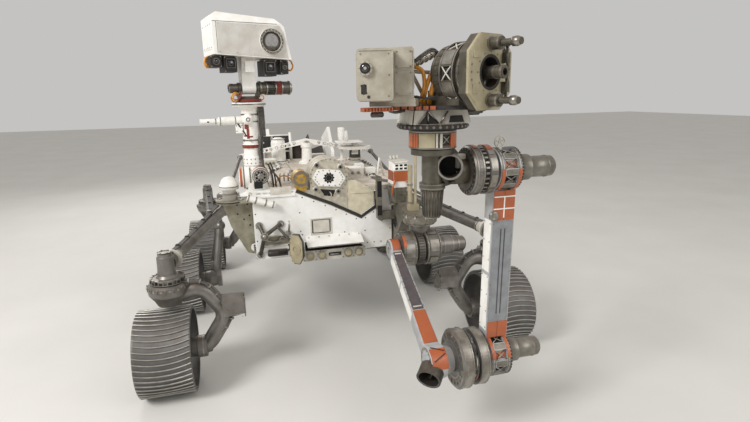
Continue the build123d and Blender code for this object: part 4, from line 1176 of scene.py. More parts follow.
@dataclass
class Wheel:
    """One wheel: thin cleated hoop, stiffening ring, curved spokes and hub."""

    place: str
    side: int
    across: float
    along: float
    radius: float = 0.2625
    width: float = 0.315
    hub: float = 0.062
    spokes: int = 8
    cleats: int = 48
    cleat_height: float = 0.0085

    def skin(self) -> bpy.types.Object:
        """The hoop with rolled edges, stiffening ring, spokes and hub, in place of the plain CAD wheel."""
        m = Mesher(f"wheel_hoop_{self.place}", f"wheel_{self.place}", "wheel", "wheel_metal")
        skin = self.radius - self.cleat_height
        half = self.width / 2
        edge = [
            (-half, skin - 0.018), (-half, skin - 0.001), (-half + 0.004, skin + 0.0015),
            (-half + 0.012, skin), (half - 0.012, skin), (half - 0.004, skin + 0.0015), (half, skin - 0.001),
            (half, skin - 0.018), (half - 0.004, skin - 0.019), (half - 0.008, skin - 0.004),
            (0.018, skin - 0.003), (0.01, skin - 0.022), (-0.028, skin - 0.022), (-0.036, skin - 0.003),
            (-half + 0.008, skin - 0.004), (-half + 0.004, skin - 0.019), (-half, skin - 0.018)
        ]
        centre = (self.side * self.across, self.along, self.radius)
        axis = (self.side, 0, 0)
        m.lathe(centre, axis, edge, 96, caps=False)
        self._spokes(m, centre)
        hub = self.hub
        m.lathe(centre, axis, [
            (-0.02, 0.03), (-0.02, hub), (0.004, hub + 0.002), (0.01, hub + 0.012), (0.018, hub + 0.012),
            (0.022, hub), (0.034, hub - 0.008), (0.038, 0.04), (0.038, 0.03), (0.05, 0.026), (0.052, 0.01)
        ], 48)
        return m.done(f"wheel_{self.place}")

    def _spokes(self, m: Mesher, centre: Point) -> None:
        """Bowed titanium strips from the hub to the stiffening ring, with a foot at each end."""
        reach = self.radius - self.cleat_height - 0.021
        for k in range(self.spokes):
            a = 2 * pi * k / self.spokes
            out = Vector((0, cos(a), sin(a)))
            round_ = Vector((0, -sin(a), cos(a))) * self.side
            line = [
                Vector(centre) + out * r + round_ * bow for r,
                bow in (
                    (0.058, -0.006), (0.092, -0.034), (0.138, -0.046), (0.186, -0.036),
                    (reach - 0.006, -0.006), (reach, 0.012)
                )
            ]
            m.strip(line, (1, 0, 0), 0.042, 0.0035, 5)

    def tread(self) -> bpy.types.Object:
        """The bowed cleats round the hoop, made by the cleat tree."""
        base = bpy.data.meshes.new("cleat_base")
        values = {
            "Count": self.cleats,
            "Radius": self.radius - self.cleat_height / 2 - 0.0002,
            "Width": self.width - 0.006,
            "Height": self.cleat_height,
            "Thickness": 0.006,
            "Bow": 0.024 * self.side,
            # The cleats take the finish painted brighter as highlight
            "Material": finish_of("cleat")
        }
        made = tree_of("cleats").bake(f"wheel_cleats_{self.place}", base, values)
        made.transform(Matrix.Translation((self.side * self.across, self.along + SHIFT_Y, self.radius)))
        return ride_piece(made.name, made, f"wheel_{self.place}")

    def bolts(self) -> None:
        """Hub bolts and the row of rivets that holds each spoke's foot."""
        b = Bolts(f"wheel_bolts_{self.place}", f"wheel_{self.place}", 0.0045, 0.0028)
        x = self.side * (self.across + 0.018)
        centre = (self.side * (self.across + 0.0181), self.along, self.radius)
        b.circle(centre, (self.side, 0, 0), self.hub + 0.007, 16)
        b.circle((
            self.side * (self.across + 0.038), self.along, self.radius
        ), (self.side, 0, 0), 0.035, 8, 0.8)
        reach = self.radius - self.cleat_height - 0.022
        for k in range(self.spokes):
            a = 2 * pi * (k + 0.06) / self.spokes
            inward = (0, -cos(a), -sin(a))
            for dx in (-0.012, 0.012):
                spot = (
                    x + self.side * (dx - 0.026), self.along + reach * cos(a), self.radius + reach * sin(a)
                )
                b.at(spot, inward, 0.7)
        b.done()

    def build(self) -> None:
        """Builds the whole wheel."""
        self.skin()
        self.tread()
        self.bolts()


WHEELS = (
    Wheel("front_left", 1, 1.12, -1.21), Wheel("front_right", -1, 1.12, -1.21),
    Wheel("middle_left", 1, 1.15, 0.0), Wheel("middle_right", -1, 1.15, 0.0),
    Wheel("rear_left", 1, 1.0, 1.05), Wheel("rear_right", -1, 1.0, 1.05)
)
# Turret: coring drill, close-up instrument, base and wrist


@dataclass
class Drill:
    """Dress of the coring drill, placed by distance ahead, sideways and up from its middle."""

    origin: Point = (0.245, -2.15, 1.842)
    heading: float = -65.0
    face: float = 0.276
    half_width: float = 0.131
    half_height: float = 0.143
    corner: float = 0.066
    body: str = "turret"

    @property
    def ahead(self) -> Vector:
        """The drill's own direction."""
        a = radians(self.heading)
        return Vector((cos(a), sin(a), 0))

    @property
    def side(self) -> Vector:
        """Level direction across the drill, to the viewer's right."""
        return Vector((-self.ahead.y, self.ahead.x, 0))

    def at(self, s: float, a: float = 0.0, b: float = 0.0) -> Vector:
        """A point s ahead, a to the side and b up."""
        return Vector(self.origin) + self.ahead * s + self.side * a + Vector((0, 0, b))

    def round_(self, s: float, radius: float, deg: float) -> Vector:
        """A point round the drill's axis."""
        a = radians(deg)
        return self.at(s, radius * cos(a), radius * sin(a))

    def plane(self, s: float) -> Matrix:
        """Upright plane across the drill at s."""
        return placed(self.at(s), self.side, Vector((0, 0, 1)), self.ahead)

    def octagon(self, grow: float) -> list[Pair]:
        """The face plate's outline, larger by grow."""
        w, h, c = self.half_width + grow, self.half_height + grow, self.corner + grow * 0.6
        quarter = [(w, h - c), (w - c, h)]
        top = [quarter[0], quarter[1], (-quarter[1][0], quarter[1][1]), (-quarter[0][0], quarter[0][1])]
        return [*top, *[(-x, -y) for x, y in top]]

    def barrels(self) -> None:
        """Bright joint rings, clamp bands and ribs round the barrels."""
        m = Mesher("drill_rings", self.body, "machined", "turret_metal")
        for s, r, d in (
            (0.072, 0.114, 0.005), (0.108, 0.114, 0.005), (0.121, 0.1255, 0.006), (0.185, 0.1255, 0.006),
            (0.2, 0.112, 0.006), (0.214, 0.112, 0.005), (0.226, 0.114, 0.004)
        ):
            m.ring(self.at(s), self.ahead, r, r - 0.012, d, 56)
        for k in range(6):
            low, high = 60 * k + 16, 60 * k + 44
            m.sector(self.at(0), self.ahead, 0.1235, 0.0022, (low, high), (0.13, 0.182))
        m.done()
        m = Mesher("drill_window_braces", self.body, "cream")
        for k in range(6):
            for a, b in ((-13, 13), (13, -13)):
                line = [
                    self.round_(0.132 + 0.048 * t, 0.1215, 60 * k + a + (b - a) * t)
                    for t in (0, 0.25, 0.5, 0.75, 1)
                ]
                m.tube(line, 0.0028, 8, 0)
        m.done()
        m = Mesher("drill_ribs", self.body, "gunmetal")
        for k in range(18):
            m.sector(self.at(0), self.ahead, 0.1128, 0.003, (20 * k - 2.6, 20 * k + 2.6), (0.08, 0.106), 2)
        for k in range(24):
            m.sector(self.at(0), self.ahead, 0.1098, 0.004, (15 * k - 2, 15 * k + 2), (0.203, 0.213), 2)
        m.done()
        m = Mesher("drill_dark_bands", self.body, "black")
        m.sector(self.at(0), self.ahead, 0.1124, 0.0012, WHOLE, (0.128, 0.184), 48)
        m.sector(self.at(0), self.ahead, 0.1042, 0.0012, WHOLE, (0.1125, 0.1195), 48)
        m.ring(self.at(0.0545), self.ahead, 0.102, 0.06, 0.006)
        m.done()

    def face_plate(self) -> None:
        """Raised rim, ring and ribs of the eight-sided face plate, and the dark well in its middle."""
        m = Mesher("drill_face_plate", self.body, "khaki")
        m.holed(self.plane(0), self.octagon(0.0008), 0.0582, self.face - 0.01, self.face + 0.0022)
        m.holed(self.plane(0), self.octagon(-0.001), 0.124, self.face + 0.0022, self.face + 0.0046)
        for a, b, w, h in ((-0.092, 0.066, 0.034, 0.028), (-0.094, -0.062, 0.03, 0.034)):
            m.block(self.plane(self.face + 0.004) @ Matrix.Translation((a, b, 0)), (w, h, 0.006))
        m.done()
        # Painted shade: black lining and floor of the well
        m = Mesher("drill_well", self.body, "black")
        m.lathe(self.at(0.2305), self.ahead, [(0, 0.0575), (0.0015, 0.0575)], 40)
        m.ring(self.at(self.face + 0.002), self.ahead, 0.068, 0.0582, 0.001, 40)
        m.sector(self.at(0), self.ahead, 0.0568, 0.001, WHOLE, (0.231, 0.275), 40)
        for a, b, w, h in (
            (0.085, 0.085, 0.028, 0.034), (0.086, -0.084, 0.03, 0.03), (0.104, 0.0, 0.016, 0.06)
        ):
            m.block(self.plane(self.face + 0.0012) @ Matrix.Translation((a, b, 0)), (w, h, 0.0024), 0.0006)
        m.done()
        m = Mesher("drill_well_frame", self.body, "machined", "turret_metal")
        for deg in (30, 150, 270):
            m.tube([self.round_(0.25, 0.024, deg), self.round_(0.25, 0.0572, deg)], 0.0045, 8, 0)
        m.ring(self.at(0.3), self.ahead, 0.0262, 0.0238, 0.01, 32)
        m.ring(self.at(0.334), self.ahead, 0.0258, 0.016, 0.009, 32)
        for b in (0.106, -0.106):
            m.ring(self.at(0.277, 0, b), self.ahead, 0.0285, 0.02, 0.009, 32)
            m.ring(self.at(0.318, 0, b), self.ahead, 0.0262, 0.014, 0.008, 32)
            m.lathe(self.at(0.372, 0, b), self.ahead, [
                (0, 0.0135), (0.004, 0.018), (0.022, 0.019), (0.034, 0.015), (0.0385, 0.006)
            ], 24)
        m.done()
        m = Mesher("drill_linkage", self.body, "actuator")
        for a, b, c, d in (
            (0.034, 0.102, 0.036, 0.012), (0.034, -0.102, 0.036, -0.006), (0.036, 0.014, 0.036, -0.008)
        ):
            m.tube([self.at(0.326, a, b), self.at(0.33, c, d)], 0.0052, 10, 0)
        m.ball(self.at(0.33, 0.036, 0.012), 0.011)
        m.ball(self.at(0.328, 0.034, 0.1), 0.01)
        m.ball(self.at(0.328, 0.034, -0.1), 0.01)
        m.tube([self.at(0.29, 0.024, 0.0), self.at(0.33, 0.036, 0.002)], 0.004, 8, 0)
        m.done()

    def fasteners(self) -> None:
        """Bolts round the face plate, the rings and the rear plate."""
        b = Bolts("drill_bolts", self.body, 0.0036, 0.0022)
        rim = self.octagon(-0.017)
        for i in range(8):
            first, last = Vector(rim[i]), Vector(rim[(i + 1) % 8])
            count = 5 if (last - first).length > 0.1 else 3
            for k in range(count):
                spot = first.lerp(last, (k + 0.5) / count)
                b.at(self.at(self.face + 0.0022, spot.x, spot.y), self.ahead)
        for k in range(12):
            b.at(self.round_(self.face + 0.0024, 0.078, 30 * k), self.ahead, 0.7)
        for k in range(24):
            b.at(self.round_(0.0745, 0.1045, 15 * k), -self.ahead, 0.8)
        for k in range(30):
            a = radians(12 * k)
            out = self.side * cos(a) + Vector((0, 0, sin(a)))
            b.at(self.at(0.221) + out * 0.11, out, 0.7)
            b.at(self.at(0.091) + out * 0.113, out, 0.6)
        b.done()

    def hoses(self) -> None:
        """Amber hoses, black cables and the clamped braces between drill and instrument."""
        m = Mesher("drill_hoses", self.body, "amber")
        m.tube([
            (0.222, -2.205, 1.905), (0.204, -2.232, 1.876), (0.17, -2.232, 1.815), (0.158, -2.222, 1.765),
            (0.16, -2.205, 1.722)
        ], 0.0105)
        m.tube([
            (0.226, -2.205, 1.868), (0.202, -2.24, 1.836), (0.184, -2.236, 1.775), (0.186, -2.21, 1.722)
        ], 0.0105)
        m.tube([
            (0.112, -2.218, 1.876), (0.14, -2.246, 1.856), (0.15, -2.24, 1.79), (0.136, -2.215, 1.724)
        ], 0.008)
        m.done()
        m = Mesher("drill_cables", self.body, "braid")
        for k in range(2):
            d = 0.009 * k
            m.tube([
                (0.232, -2.196 - d, 1.93), (0.19, -2.222, 1.944 - d), (0.146, -2.23, 1.922 - d),
                (0.108, -2.22 + d, 1.892 - d)
            ], 0.0048, 8)
        for k in range(3):
            m.tube([
                (0.1 + 0.01 * k, -2.226, 1.756), (0.15, -2.246 - 0.004 * k, 1.748),
                (0.215, -2.236, 1.742 + 0.006 * k), (0.262, -2.255, 1.752)
            ], 0.0045, 8)
        m.done()
        m = Mesher("brace_clamps", self.body, "machined")
        start, end = Vector((0.105, -2.215, 1.878)), Vector((0.222, -2.19, 1.93))
        for t in (0.12, 0.3, 0.5, 0.68, 0.86):
            m.lathe(start.lerp(end, t), (end - start), [
                (0, 0.0125), (0.001, 0.015), (0.011, 0.015), (0.012, 0.0125)
            ], 20)
        m.done()

    def build(self) -> None:
        """Builds the drill's dress."""
        self.barrels()
        self.face_plate()
        self.fasteners()
        self.hoses()


@dataclass
class Instrument:
    """Dress of the square sensor head and its electronics box."""

    origin: Point = (-0.04, -2.21, 1.838)
    out: Point = (-0.34, -0.94, 0.0)
    face: float = 0.116
    body: str = "turret"

    @property
    def place(self) -> Matrix:
        """Plane of the sensor's face: right, up and out."""
        out = Vector(self.out).normalized()
        right = Vector((-out.y, out.x, 0))
        return placed(self.origin, right, Vector((0, 0, 1)), out)

    def spot(self, x: float, y: float, z: float) -> Vector:
        """A point right, up and out from the box's origin."""
        return self.place @ Vector((x, y, z))

    @property
    def aim(self) -> Vector:
        """Direction that the sensor looks in."""
        return Vector(self.out).normalized()

    def build(self) -> None:
        """Builds rim, lens, shutter slot, covers, comb and fasteners."""
        body, f = self.body, self.face
        m = Mesher("sensor_rim", body, "stone", "cream_cover")
        for x0, x1, y0, y1 in (
            (-0.062, 0.066, 0.09, 0.095), (-0.062, 0.066, -0.095, -0.09), (0.064, 0.069, -0.09, 0.09)
        ):
            m.block(
                self.place @ Matrix.Translation(((x0 + x1) / 2, (y0 + y1) / 2, f + 0.0012)),
                (x1 - x0, y1 - y0, 0.004), 0.0018
            )
        m.ring(self.spot(-0.036, 0.026, f + 0.01), self.aim, 0.027, 0.021, 0.004, 36)
        # Painted highlight: a pale disc on the crown of the lens
        m.lathe(self.spot(-0.036, 0.026, f + 0.0165), self.aim, [(0, 0.0062), (0.0015, 0.0055)], 20)
        m.done()
        m = Mesher("sensor_dark", body, "black")
        m.lathe(self.spot(-0.036, 0.026, f + 0.0122), self.aim, [(0, 0.0212), (0.0008, 0.0212)], 36)
        tilted = self.place @ Matrix.Translation((
            -0.044, -0.052, f - 0.006
        )) @ Matrix.Rotation(radians(14), 4, "Z")
        m.block(tilted, (0.018, 0.038, 0.013), 0.0005)
        m.lathe(self.spot(-0.026, -0.08, f), self.aim, [(0, 0.006), (0.0016, 0.006)], 20)
        for k in range(4):
            m.block(
                self.place @ Matrix.Translation((0.1485, 0.062 - 0.034 * k, -0.012)),
                (0.001, 0.02, 0.052), 0.0002
            )
        m.done()
        Mesher("sensor_lens", body, "glass").lathe(
            self.spot(-0.036, 0.026, f + 0.0128), self.aim,
            [(0, 0.017), (0.003, 0.013), (0.0045, 0.006), (0.0048, 0.001)],
            36
        ).done()
        m = Mesher("sensor_panels", body, "stone", "cream_cover")
        m.block(self.place @ Matrix.Translation((0.107, 0.062, 0.0415)), (0.066, 0.066, 0.004))
        m.block(self.place @ Matrix.Translation((0.107, -0.03, 0.042)), (0.07, 0.092, 0.005))
        m.block(self.place @ Matrix.Translation((0.1, 0.1075, -0.01)), (0.08, 0.004, 0.07))
        m.block(self.place @ Matrix.Translation((0.0, 0.0995, 0.055)), (0.09, 0.004, 0.08))
        for k in range(7):
            m.block(
                self.place @ Matrix.Translation((-0.0725, 0.0, 0.018 + 0.014 * k)),
                (0.004, 0.16, 0.004), 0.0005
            )
        m.done()
        b = Bolts("sensor_bolts", body, 0.0028, 0.0018)
        for x, y in ((0.052, 0.078), (0.052, -0.078), (-0.054, 0.078), (0.054, 0.0)):
            b.at(self.spot(x, y, f), self.aim, 0.8)
        for x in (0.08, 0.134):
            for y in (0.09, 0.034, 0.01, -0.07):
                b.at(self.spot(x, y, 0.0445), self.aim, 0.9)
        b.circle(self.spot(-0.036, 0.026, f + 0.014), self.aim, 0.024, 8, 0.5)
        b.done()
        m = Mesher("sensor_comb", body, "flex", "orange_flex")
        m.box((-0.118, -2.262, 1.699), (0.01, -2.226, 1.716))
        for k in range(10):
            m.box((-0.117 + 0.013 * k, -2.27, 1.7), (-0.11 + 0.013 * k, -2.261, 1.715), 0.0005)
        m.done()
        m = Mesher("sensor_pod", body, "actuator")
        m.lathe((-0.08, -2.244, 1.687), Axis3.ACROSS, [
            (0, 0.006), (0.004, 0.011), (0.05, 0.011), (0.054, 0.006)
        ], 20)
        m.tube([(0.0, -2.24, 1.7), (0.03, -2.232, 1.694), (0.07, -2.226, 1.7)], 0.006, 10)
        m.done()


@dataclass
class TurretBase:
    """Dress of the turret's black plate, its pale foot and the studded flange."""

    centre: Pair = (0.225, -2.15)
    body: str = "turret"

    def build(self) -> None:
        """Builds cladding, struts, heaters and studs."""
        x, y = self.centre
        body = self.body
        m = Mesher("turret_foot_cover", body, "cream")
        lean = 0.178
        for deg, half in ((-90, 0.128), (180, 0.103), (0, 0.103), (90, 0.128)):
            a = radians(deg)
            out = Vector((cos(a), sin(a), lean))
            reach = 0.1062 if half > 0.11 else 0.1312
            spot = Vector((x, y, 1.6412)) + Vector((out.x, out.y, 0)) * reach
            m.plate(basis(spot, out), [
                (-half, 0), (half, 0), (half - 0.01, 0.058), (-half + 0.01, 0.058)
            ], 0.0016, 0.0005)
        m.done()
        # Painted shade in the openings between the foot's struts
        m = Mesher("turret_foot_recess", body, "black")
        place = basis(Vector((x, y - 0.108, 1.6412)), (0, -1, lean))
        m.plate(place, [(-0.108, 0.002), (-0.018, 0.002), (-0.063, 0.052)], 0.0016, 0)
        m.plate(place, [(0.03, 0.006), (0.1, 0.006), (0.092, 0.034), (0.038, 0.034)], 0.0016, 0)
        m.done()
        m = Mesher("turret_foot_struts", body, "machined")
        front = y - 0.111
        for a, b in (
            ((-0.108, 1.645), (-0.063, 1.694)), ((-0.063, 1.694), (-0.016, 1.645)),
            ((-0.063, 1.645), (-0.063, 1.69)), ((-0.01, 1.646), (0.026, 1.692))
        ):
            m.tube([(x + a[0], front, a[1]), (x + b[0], front + 0.006, b[1])], 0.0038, 8, 0)
        m.ring((x, y, 1.6405), Axis3.UP, 0.15, 0.146, 0.003, 64)
        m.done()
        m = Mesher("turret_heaters", body, "flex", "orange_flex")
        edge = Matrix.Translation((x, y, 1.7085)) @ Matrix.Rotation(radians(-30), 4, "Z")
        for k in range(6):
            m.block(edge @ Matrix.Translation((-0.13 + 0.03 * k, -0.1285, 0)), (0.023, 0.008, 0.016))
        m.done()
        m = Mesher("turret_side_pod", body, "actuator")
        m.lathe((x + 0.115, y - 0.085, 1.688), Axis3.ACROSS, [
            (0, 0.008), (0.004, 0.015), (0.06, 0.015), (0.066, 0.009), (0.078, 0.008)
        ], 24)
        m.tube([
            (x + 0.18, y - 0.085, 1.688), (x + 0.21, y - 0.1, 1.7), (x + 0.2, y - 0.16, 1.735)
        ], 0.005, 10)
        m.done()
        b = Bolts("turret_studs", body, 0.0048, 0.0045)
        b.rim((x, y, 1.63), Axis3.UP, 0.1545, 36, 0.8)
        b.circle((x, y, 1.6402), Axis3.UP, 0.1515, 18, 0.6)
        b.done()


@dataclass
class Wrist:
    """Dress of the wrist: drum, joint column, cable tube and motor cup."""

    centre: Pair = (0.225, -2.15)
    drum_z: float = 1.42
    body: str = "arm_wrist"

    def column(self) -> None:
        """Coloured panels, braced window and rings round the joint column."""
        x, y = self.centre
        for name, finish, spans in (
            ("wrist_flex_wraps", "flex", ((-205, -148), (-64, -20))),
            ("wrist_light_straps", "cream", ((-104, -99), (-94, -88))),
            ("wrist_column_plate", "khaki", ((-146, -106),)),
            ("wrist_back_plates", "olive", ((-18, 60), (70, 148)))
        ):
            m = Mesher(name, self.body, finish)
            for span in spans:
                m.sector((x, y, 1.554), (0, 0, 1), 0.0965, 0.0082, span, (-0.013, 0.047))
            m.done()
        # Painted shade in the braced window
        Mesher("wrist_window", self.body, "black").sector(
            (x, y, 1.554), (0, 0, 1), 0.0962, 0.0015, (-87, -65), (0.002, 0.04)
        ).done()
        m = Mesher("wrist_window_braces", self.body, "machined")
        for a, b in ((-86, -66), (-66, -86)):
            line = []
            for t in (0, 0.33, 0.66, 1):
                deg = radians(a + (b - a) * t)
                line.append((x + 0.1 * cos(deg), y + 0.1 * sin(deg), 1.557 + 0.034 * t))
            m.tube(line, 0.003, 8, 0)
        for z, r in ((1.5355, 0.1045), (1.6045, 0.1045)):
            m.ring((x, y, z), Axis3.UP, r + 0.001, r - 0.006, 0.005, 56)
        m.done()

    def cup(self) -> None:
        """Upright ribs and bands of the motor cup, and the rim and dark bore of the cable tube."""
        x, y = self.centre
        m = Mesher("wrist_cup_ribs", self.body, "actuator")
        for k in range(20):
            a = 2 * pi * k / 20
            out = Vector((cos(a), sin(a), 0))
            line = [Vector((x, y, z)) + out * r for r, z in ((0.0405, 1.226), (0.0505, 1.344))]
            m.tube(line, 0.003, 6, 0)
        m.done()
        m = Mesher("wrist_cup_bands", self.body, "machined")
        m.ring((x, y, 1.351), Axis3.UP, 0.0592, 0.056, 0.006, 40)
        m.ring((x, y, 1.37), Axis3.UP, 0.0592, 0.056, 0.004, 40)
        m.ring((x, y, 1.2165), Axis3.UP, 0.0385, 0.03, 0.004, 32)
        mouth, root = Vector((0.282, -2.215, 1.451)), Vector((0.335, -2.096, 1.451))
        into = (root - mouth).normalized()
        m.ring(mouth - into * 0.001, into, 0.0575, 0.0485, 0.01, 48)
        m.ring(mouth + into * 0.03, into, 0.058, 0.055, 0.006, 48)
        m.done()
        # Painted shade lining the cable tube's bore
        m = Mesher("wrist_tube_bore", self.body, "void")
        m.sector(mouth, into, 0.047, 0.0009, WHOLE, (0.001, 0.0885), 40)
        m.lathe(mouth + into * 0.0885, into, [(0, 0.0475), (0.001, 0.0475)], 40)
        m.done()

    def bracket(self) -> None:
        """Machined plate ahead of the bracket with its cut-outs and lugs."""
        m = Mesher("wrist_bracket_plate", self.body, "cream")
        place = basis((0.0, -2.1432, 0.0), (0, -1, 0))
        # In this place the first axis runs to +X and the second upward
        outline = [
            (0.21, 1.402), (0.262, 1.384), (0.262, 1.44), (0.24, 1.47), (0.268, 1.5), (0.3, 1.526),
            (0.21, 1.526)
        ]
        m.plate(place, outline, 0.004, 0.0008)
        m.box((0.212, -2.158, 1.5), (0.258, -2.146, 1.522))
        m.box((0.338, -2.17, 1.436), (0.378, -2.146, 1.5))
        m.box((0.342, -2.176, 1.384), (0.376, -2.146, 1.42))
        m.tube([(0.215, -2.16, 1.475), (0.245, -2.166, 1.448), (0.232, -2.16, 1.412)], 0.006, 10)
        m.done()
        # Painted shade in the plate's cut-outs
        m = Mesher("wrist_bracket_pockets", self.body, "black")
        m.plate(
            basis((0, -2.1473, 0), (0, -1, 0)),
            [(0.216, 1.44), (0.236, 1.44), (0.23, 1.462), (0.216, 1.474)], 0.0008, 0
        )
        m.plate(
            basis((0, -2.1473, 0), (0, -1, 0)), [(0.216, 1.41), (0.25, 1.396), (0.25, 1.426), (0.216, 1.43)],
            0.0008, 0
        )
        m.done()

    def drum(self) -> None:
        """Black flange with pale screws, ribs, bright bands and the flat circuit over the drum."""
        c = (0.0, -2.15, self.drum_z)
        m = Mesher("wrist_drum_flange", self.body, "black")
        m.ring((0.3848, -2.15, self.drum_z), Axis3.ACROSS, 0.1055, 0.062, 0.0016, 56)
        m.sector(c, Axis3.ACROSS, 0.0968, 0.002, WHOLE, (0.4365, 0.4555), 48)
        m.done()
        m = Mesher("wrist_drum_bands", self.body, "machined")
        m.sector(c, Axis3.ACROSS, 0.1122, 0.002, WHOLE, (0.396, 0.402), 56)
        m.sector(c, Axis3.ACROSS, 0.1122, 0.002, WHOLE, (0.424, 0.43), 56)
        for k in range(28):
            a = 360 * k / 28
            m.sector(c, Axis3.ACROSS, 0.0975, 0.0105, (a - 2.2, a + 2.2), (0.4368, 0.4552), 2)
        for k in range(9):
            a = 40 * k
            m.sector(c, Axis3.ACROSS, 0.1102, 0.0022, (a - 15, a + 15), (0.463, 0.493))
        m.done()
        m = Mesher("wrist_drum_circuit", self.body, "flex", "orange_flex")
        m.sector(c, Axis3.ACROSS, 0.1145, 0.0025, (60, 112), (0.404, 0.422))
        m.sector(c, Axis3.ACROSS, 0.1128, 0.0025, (66, 118), (0.464, 0.492))
        m.done()
        b = Bolts("wrist_drum_bolts", self.body, 0.0036, 0.002)
        b.circle((0.3848, -2.15, self.drum_z), Axis3.OUT_RIGHT, 0.0985, 24)
        b.circle((0.3848, -2.15, self.drum_z), Axis3.OUT_RIGHT, 0.072, 10, 0.8)
        b.rim((0.413, -2.15, self.drum_z), Axis3.ACROSS, 0.1121, 24, 0.7)
        b.done()

    def build(self) -> None:
        """Builds the wrist's dress."""
        self.column()
        self.cup()
        self.bracket()
        self.drum()


TURRET = (Drill(), Instrument(), TurretBase(), Wrist())


# Arm: shoulder, upper link, elbow and forearm

FRONT, TOP = 180.0, 90.0  # angles of the front and the top, counted round a line across the rover
# Y and Z of the arm's joint lines
SHOULDER: Pair = (-1.29, 0.785)
ELBOW: Pair = (-2.12, 0.458)
WRIST: Pair = (-2.15, 1.42)


@dataclass
class UpperArm:
    """Dress of the upper link: label plate, flat circuits, side plates and the open cable boot."""

    shoulder: Pair = SHOULDER
    elbow: Pair = ELBOW
    half_depth: float = 0.0432
    left: Pair = (0.275, 0.215)
    right: Pair = (0.341, 0.3)
    body: str = "arm_upper"

    @property
    def run(self) -> Vector:
        """Direction from shoulder to elbow."""
        return Vector((0, self.elbow[0] - self.shoulder[0], self.elbow[1] - self.shoulder[1])).normalized()

    @property
    def length(self) -> float:
        """Distance between both joints."""
        return dist(self.shoulder, self.elbow)

    @property
    def place(self) -> Matrix:
        """Plane of the upper face: +X, back along the link, and out of the face."""
        across, back = Vector((1, 0, 0)), -self.run
        out = across.cross(back)
        base = Vector((0, *self.shoulder)) + out * self.half_depth
        return placed(base, across, back, out)

    def edge(self, t: float, side: Pair, inset: float) -> Pair:
        """A point of the face's outline, t of the way along."""
        return (side[0] + (side[1] - side[0]) * t + inset, -self.length * t)

    def panel(self, m: Mesher, t0: float, t1: float, inset: float, lift: float, thick: float) -> None:
        """A plate that follows the tapered face from t0 to t1."""
        outline = [
            self.edge(t0, self.left, inset), self.edge(t1, self.left, inset),
            self.edge(t1, self.right, -inset), self.edge(t0, self.right, -inset)
        ]
        m.plate(self.place @ Matrix.Translation((0, 0, lift)), outline, thick, 0.0006)

    def face(self) -> None:
        """Label plate, its stripes, the circuits, the side plates and their bolts."""
        m = Mesher("upper_arm_label", self.body, "label")
        self.panel(m, 0.085, 0.64, 0.007, 0.0, 0.0022)
        m.done()
        m = Mesher("upper_arm_stripe", self.body, "cream")
        place = self.place
        for t0, t1 in ((0.1, 0.112), (0.612, 0.622)):
            outline = [
                self.edge(t0, self.left, 0.014), self.edge(t1, self.left, 0.014),
                self.edge(t1, self.right, -0.014), self.edge(t0, self.right, -0.014)
            ]
            m.plate(place @ Matrix.Translation((0, 0, 0.0022)), outline, 0.0006, 0)
        m.done()
        m = Mesher("upper_arm_circuit", self.body, "flex", "orange_flex")
        self.panel(m, 0.65, 0.905, 0.004, 0.0, 0.0035)
        m.sector((0, *self.shoulder), Axis3.ACROSS, 0.0705, 0.0022, (70, 172), (0.284, 0.334))
        m.done()
        m = Mesher("upper_arm_side_plate", self.body, "white", "link_paint")
        for t0, t1 in ((0.09, 0.36), (0.38, 0.66)):
            corners = []
            for t, h in ((t0, -0.03), (t1, -0.03), (t1, 0.03), (t0, 0.03)):
                x, y = self.edge(t, self.left, -0.0006)
                corners.append(place @ Vector((x, y, h - self.half_depth)))
            m.slab(corners, (-0.0022, 0, 0))
        m.done()
        b = Bolts("upper_arm_bolts", self.body, 0.0032, 0.002)
        for k in range(10):
            t = 0.1 + 0.057 * k
            for side, inset in ((self.left, 0.0035), (self.right, -0.0035)):
                b.at(place @ Vector((*self.edge(t, side, inset), 0.0)), outward(place), 0.8)
        b.circle((0.2748, *self.shoulder), Axis3.OUT_RIGHT, 0.052, 12)
        b.circle((0.2148, *self.elbow), Axis3.OUT_RIGHT, 0.064, 16)
        b.circle((0.2148, *self.elbow), Axis3.OUT_RIGHT, 0.035, 8, 0.8)
        b.done()

    def ends(self) -> None:
        """Rings and bands at both joints and the strutted triangle ahead of the elbow."""
        m = Mesher("upper_arm_rings", self.body, "machined")
        for x, centre, r in ((0.2738, self.shoulder, 0.062), (0.2138, self.elbow, 0.076)):
            m.ring((x, *centre), Axis3.ACROSS, r, r - 0.007, 0.003, 48)
            m.ring((x, *centre), Axis3.ACROSS, r * 0.36, r * 0.2, 0.003, 32)
        m.done()
        Mesher("elbow_end_wrap", self.body, "flex", "orange_flex").sector(
            (0, *self.elbow), Axis3.ACROSS, 0.0845, 0.002, (104, 178), (0.2165, 0.2985), 24
        ).done()
        m = Mesher("elbow_struts", self.body, "black")
        for a, b in ((98, 118), (150, 128)):
            line = []
            for t in (0, 0.5, 1):
                deg = radians(a + (b - a) * t)
                line.append((0.228 + 0.062 * t, *polar(self.elbow, 0.0885, deg)))
            m.tube(line, 0.0026, 8, 3)
        m.done()

    def boot(self) -> None:
        """Rim, dark shell and bore of the open cable boot."""
        start = Vector((0.262, -2.12, 0.458))
        out = Vector((-0.6, -0.7, -0.38)).normalized()
        end = start + out * 0.112
        m = Mesher("boot_rim", self.body, "actuator")
        m.ring(end - out * 0.012, out, 0.062, 0.0525, 0.0125, 48)
        m.sector(start, out, 0.0601, 0.0016, WHOLE, (0.044, 0.1005), 48)
        m.done()
        # Painted shade lining the boot's bore
        m = Mesher("boot_bore", self.body, "void")
        m.sector(start, out, 0.0508, 0.0009, WHOLE, (0.0312, 0.1115), 40)
        m.lathe(start + out * 0.0305, out, [(0, 0.051), (0.001, 0.051)], 40)
        m.done()

    def build(self) -> None:
        """Builds the upper arm's dress."""
        self.face()
        self.ends()
        self.boot()


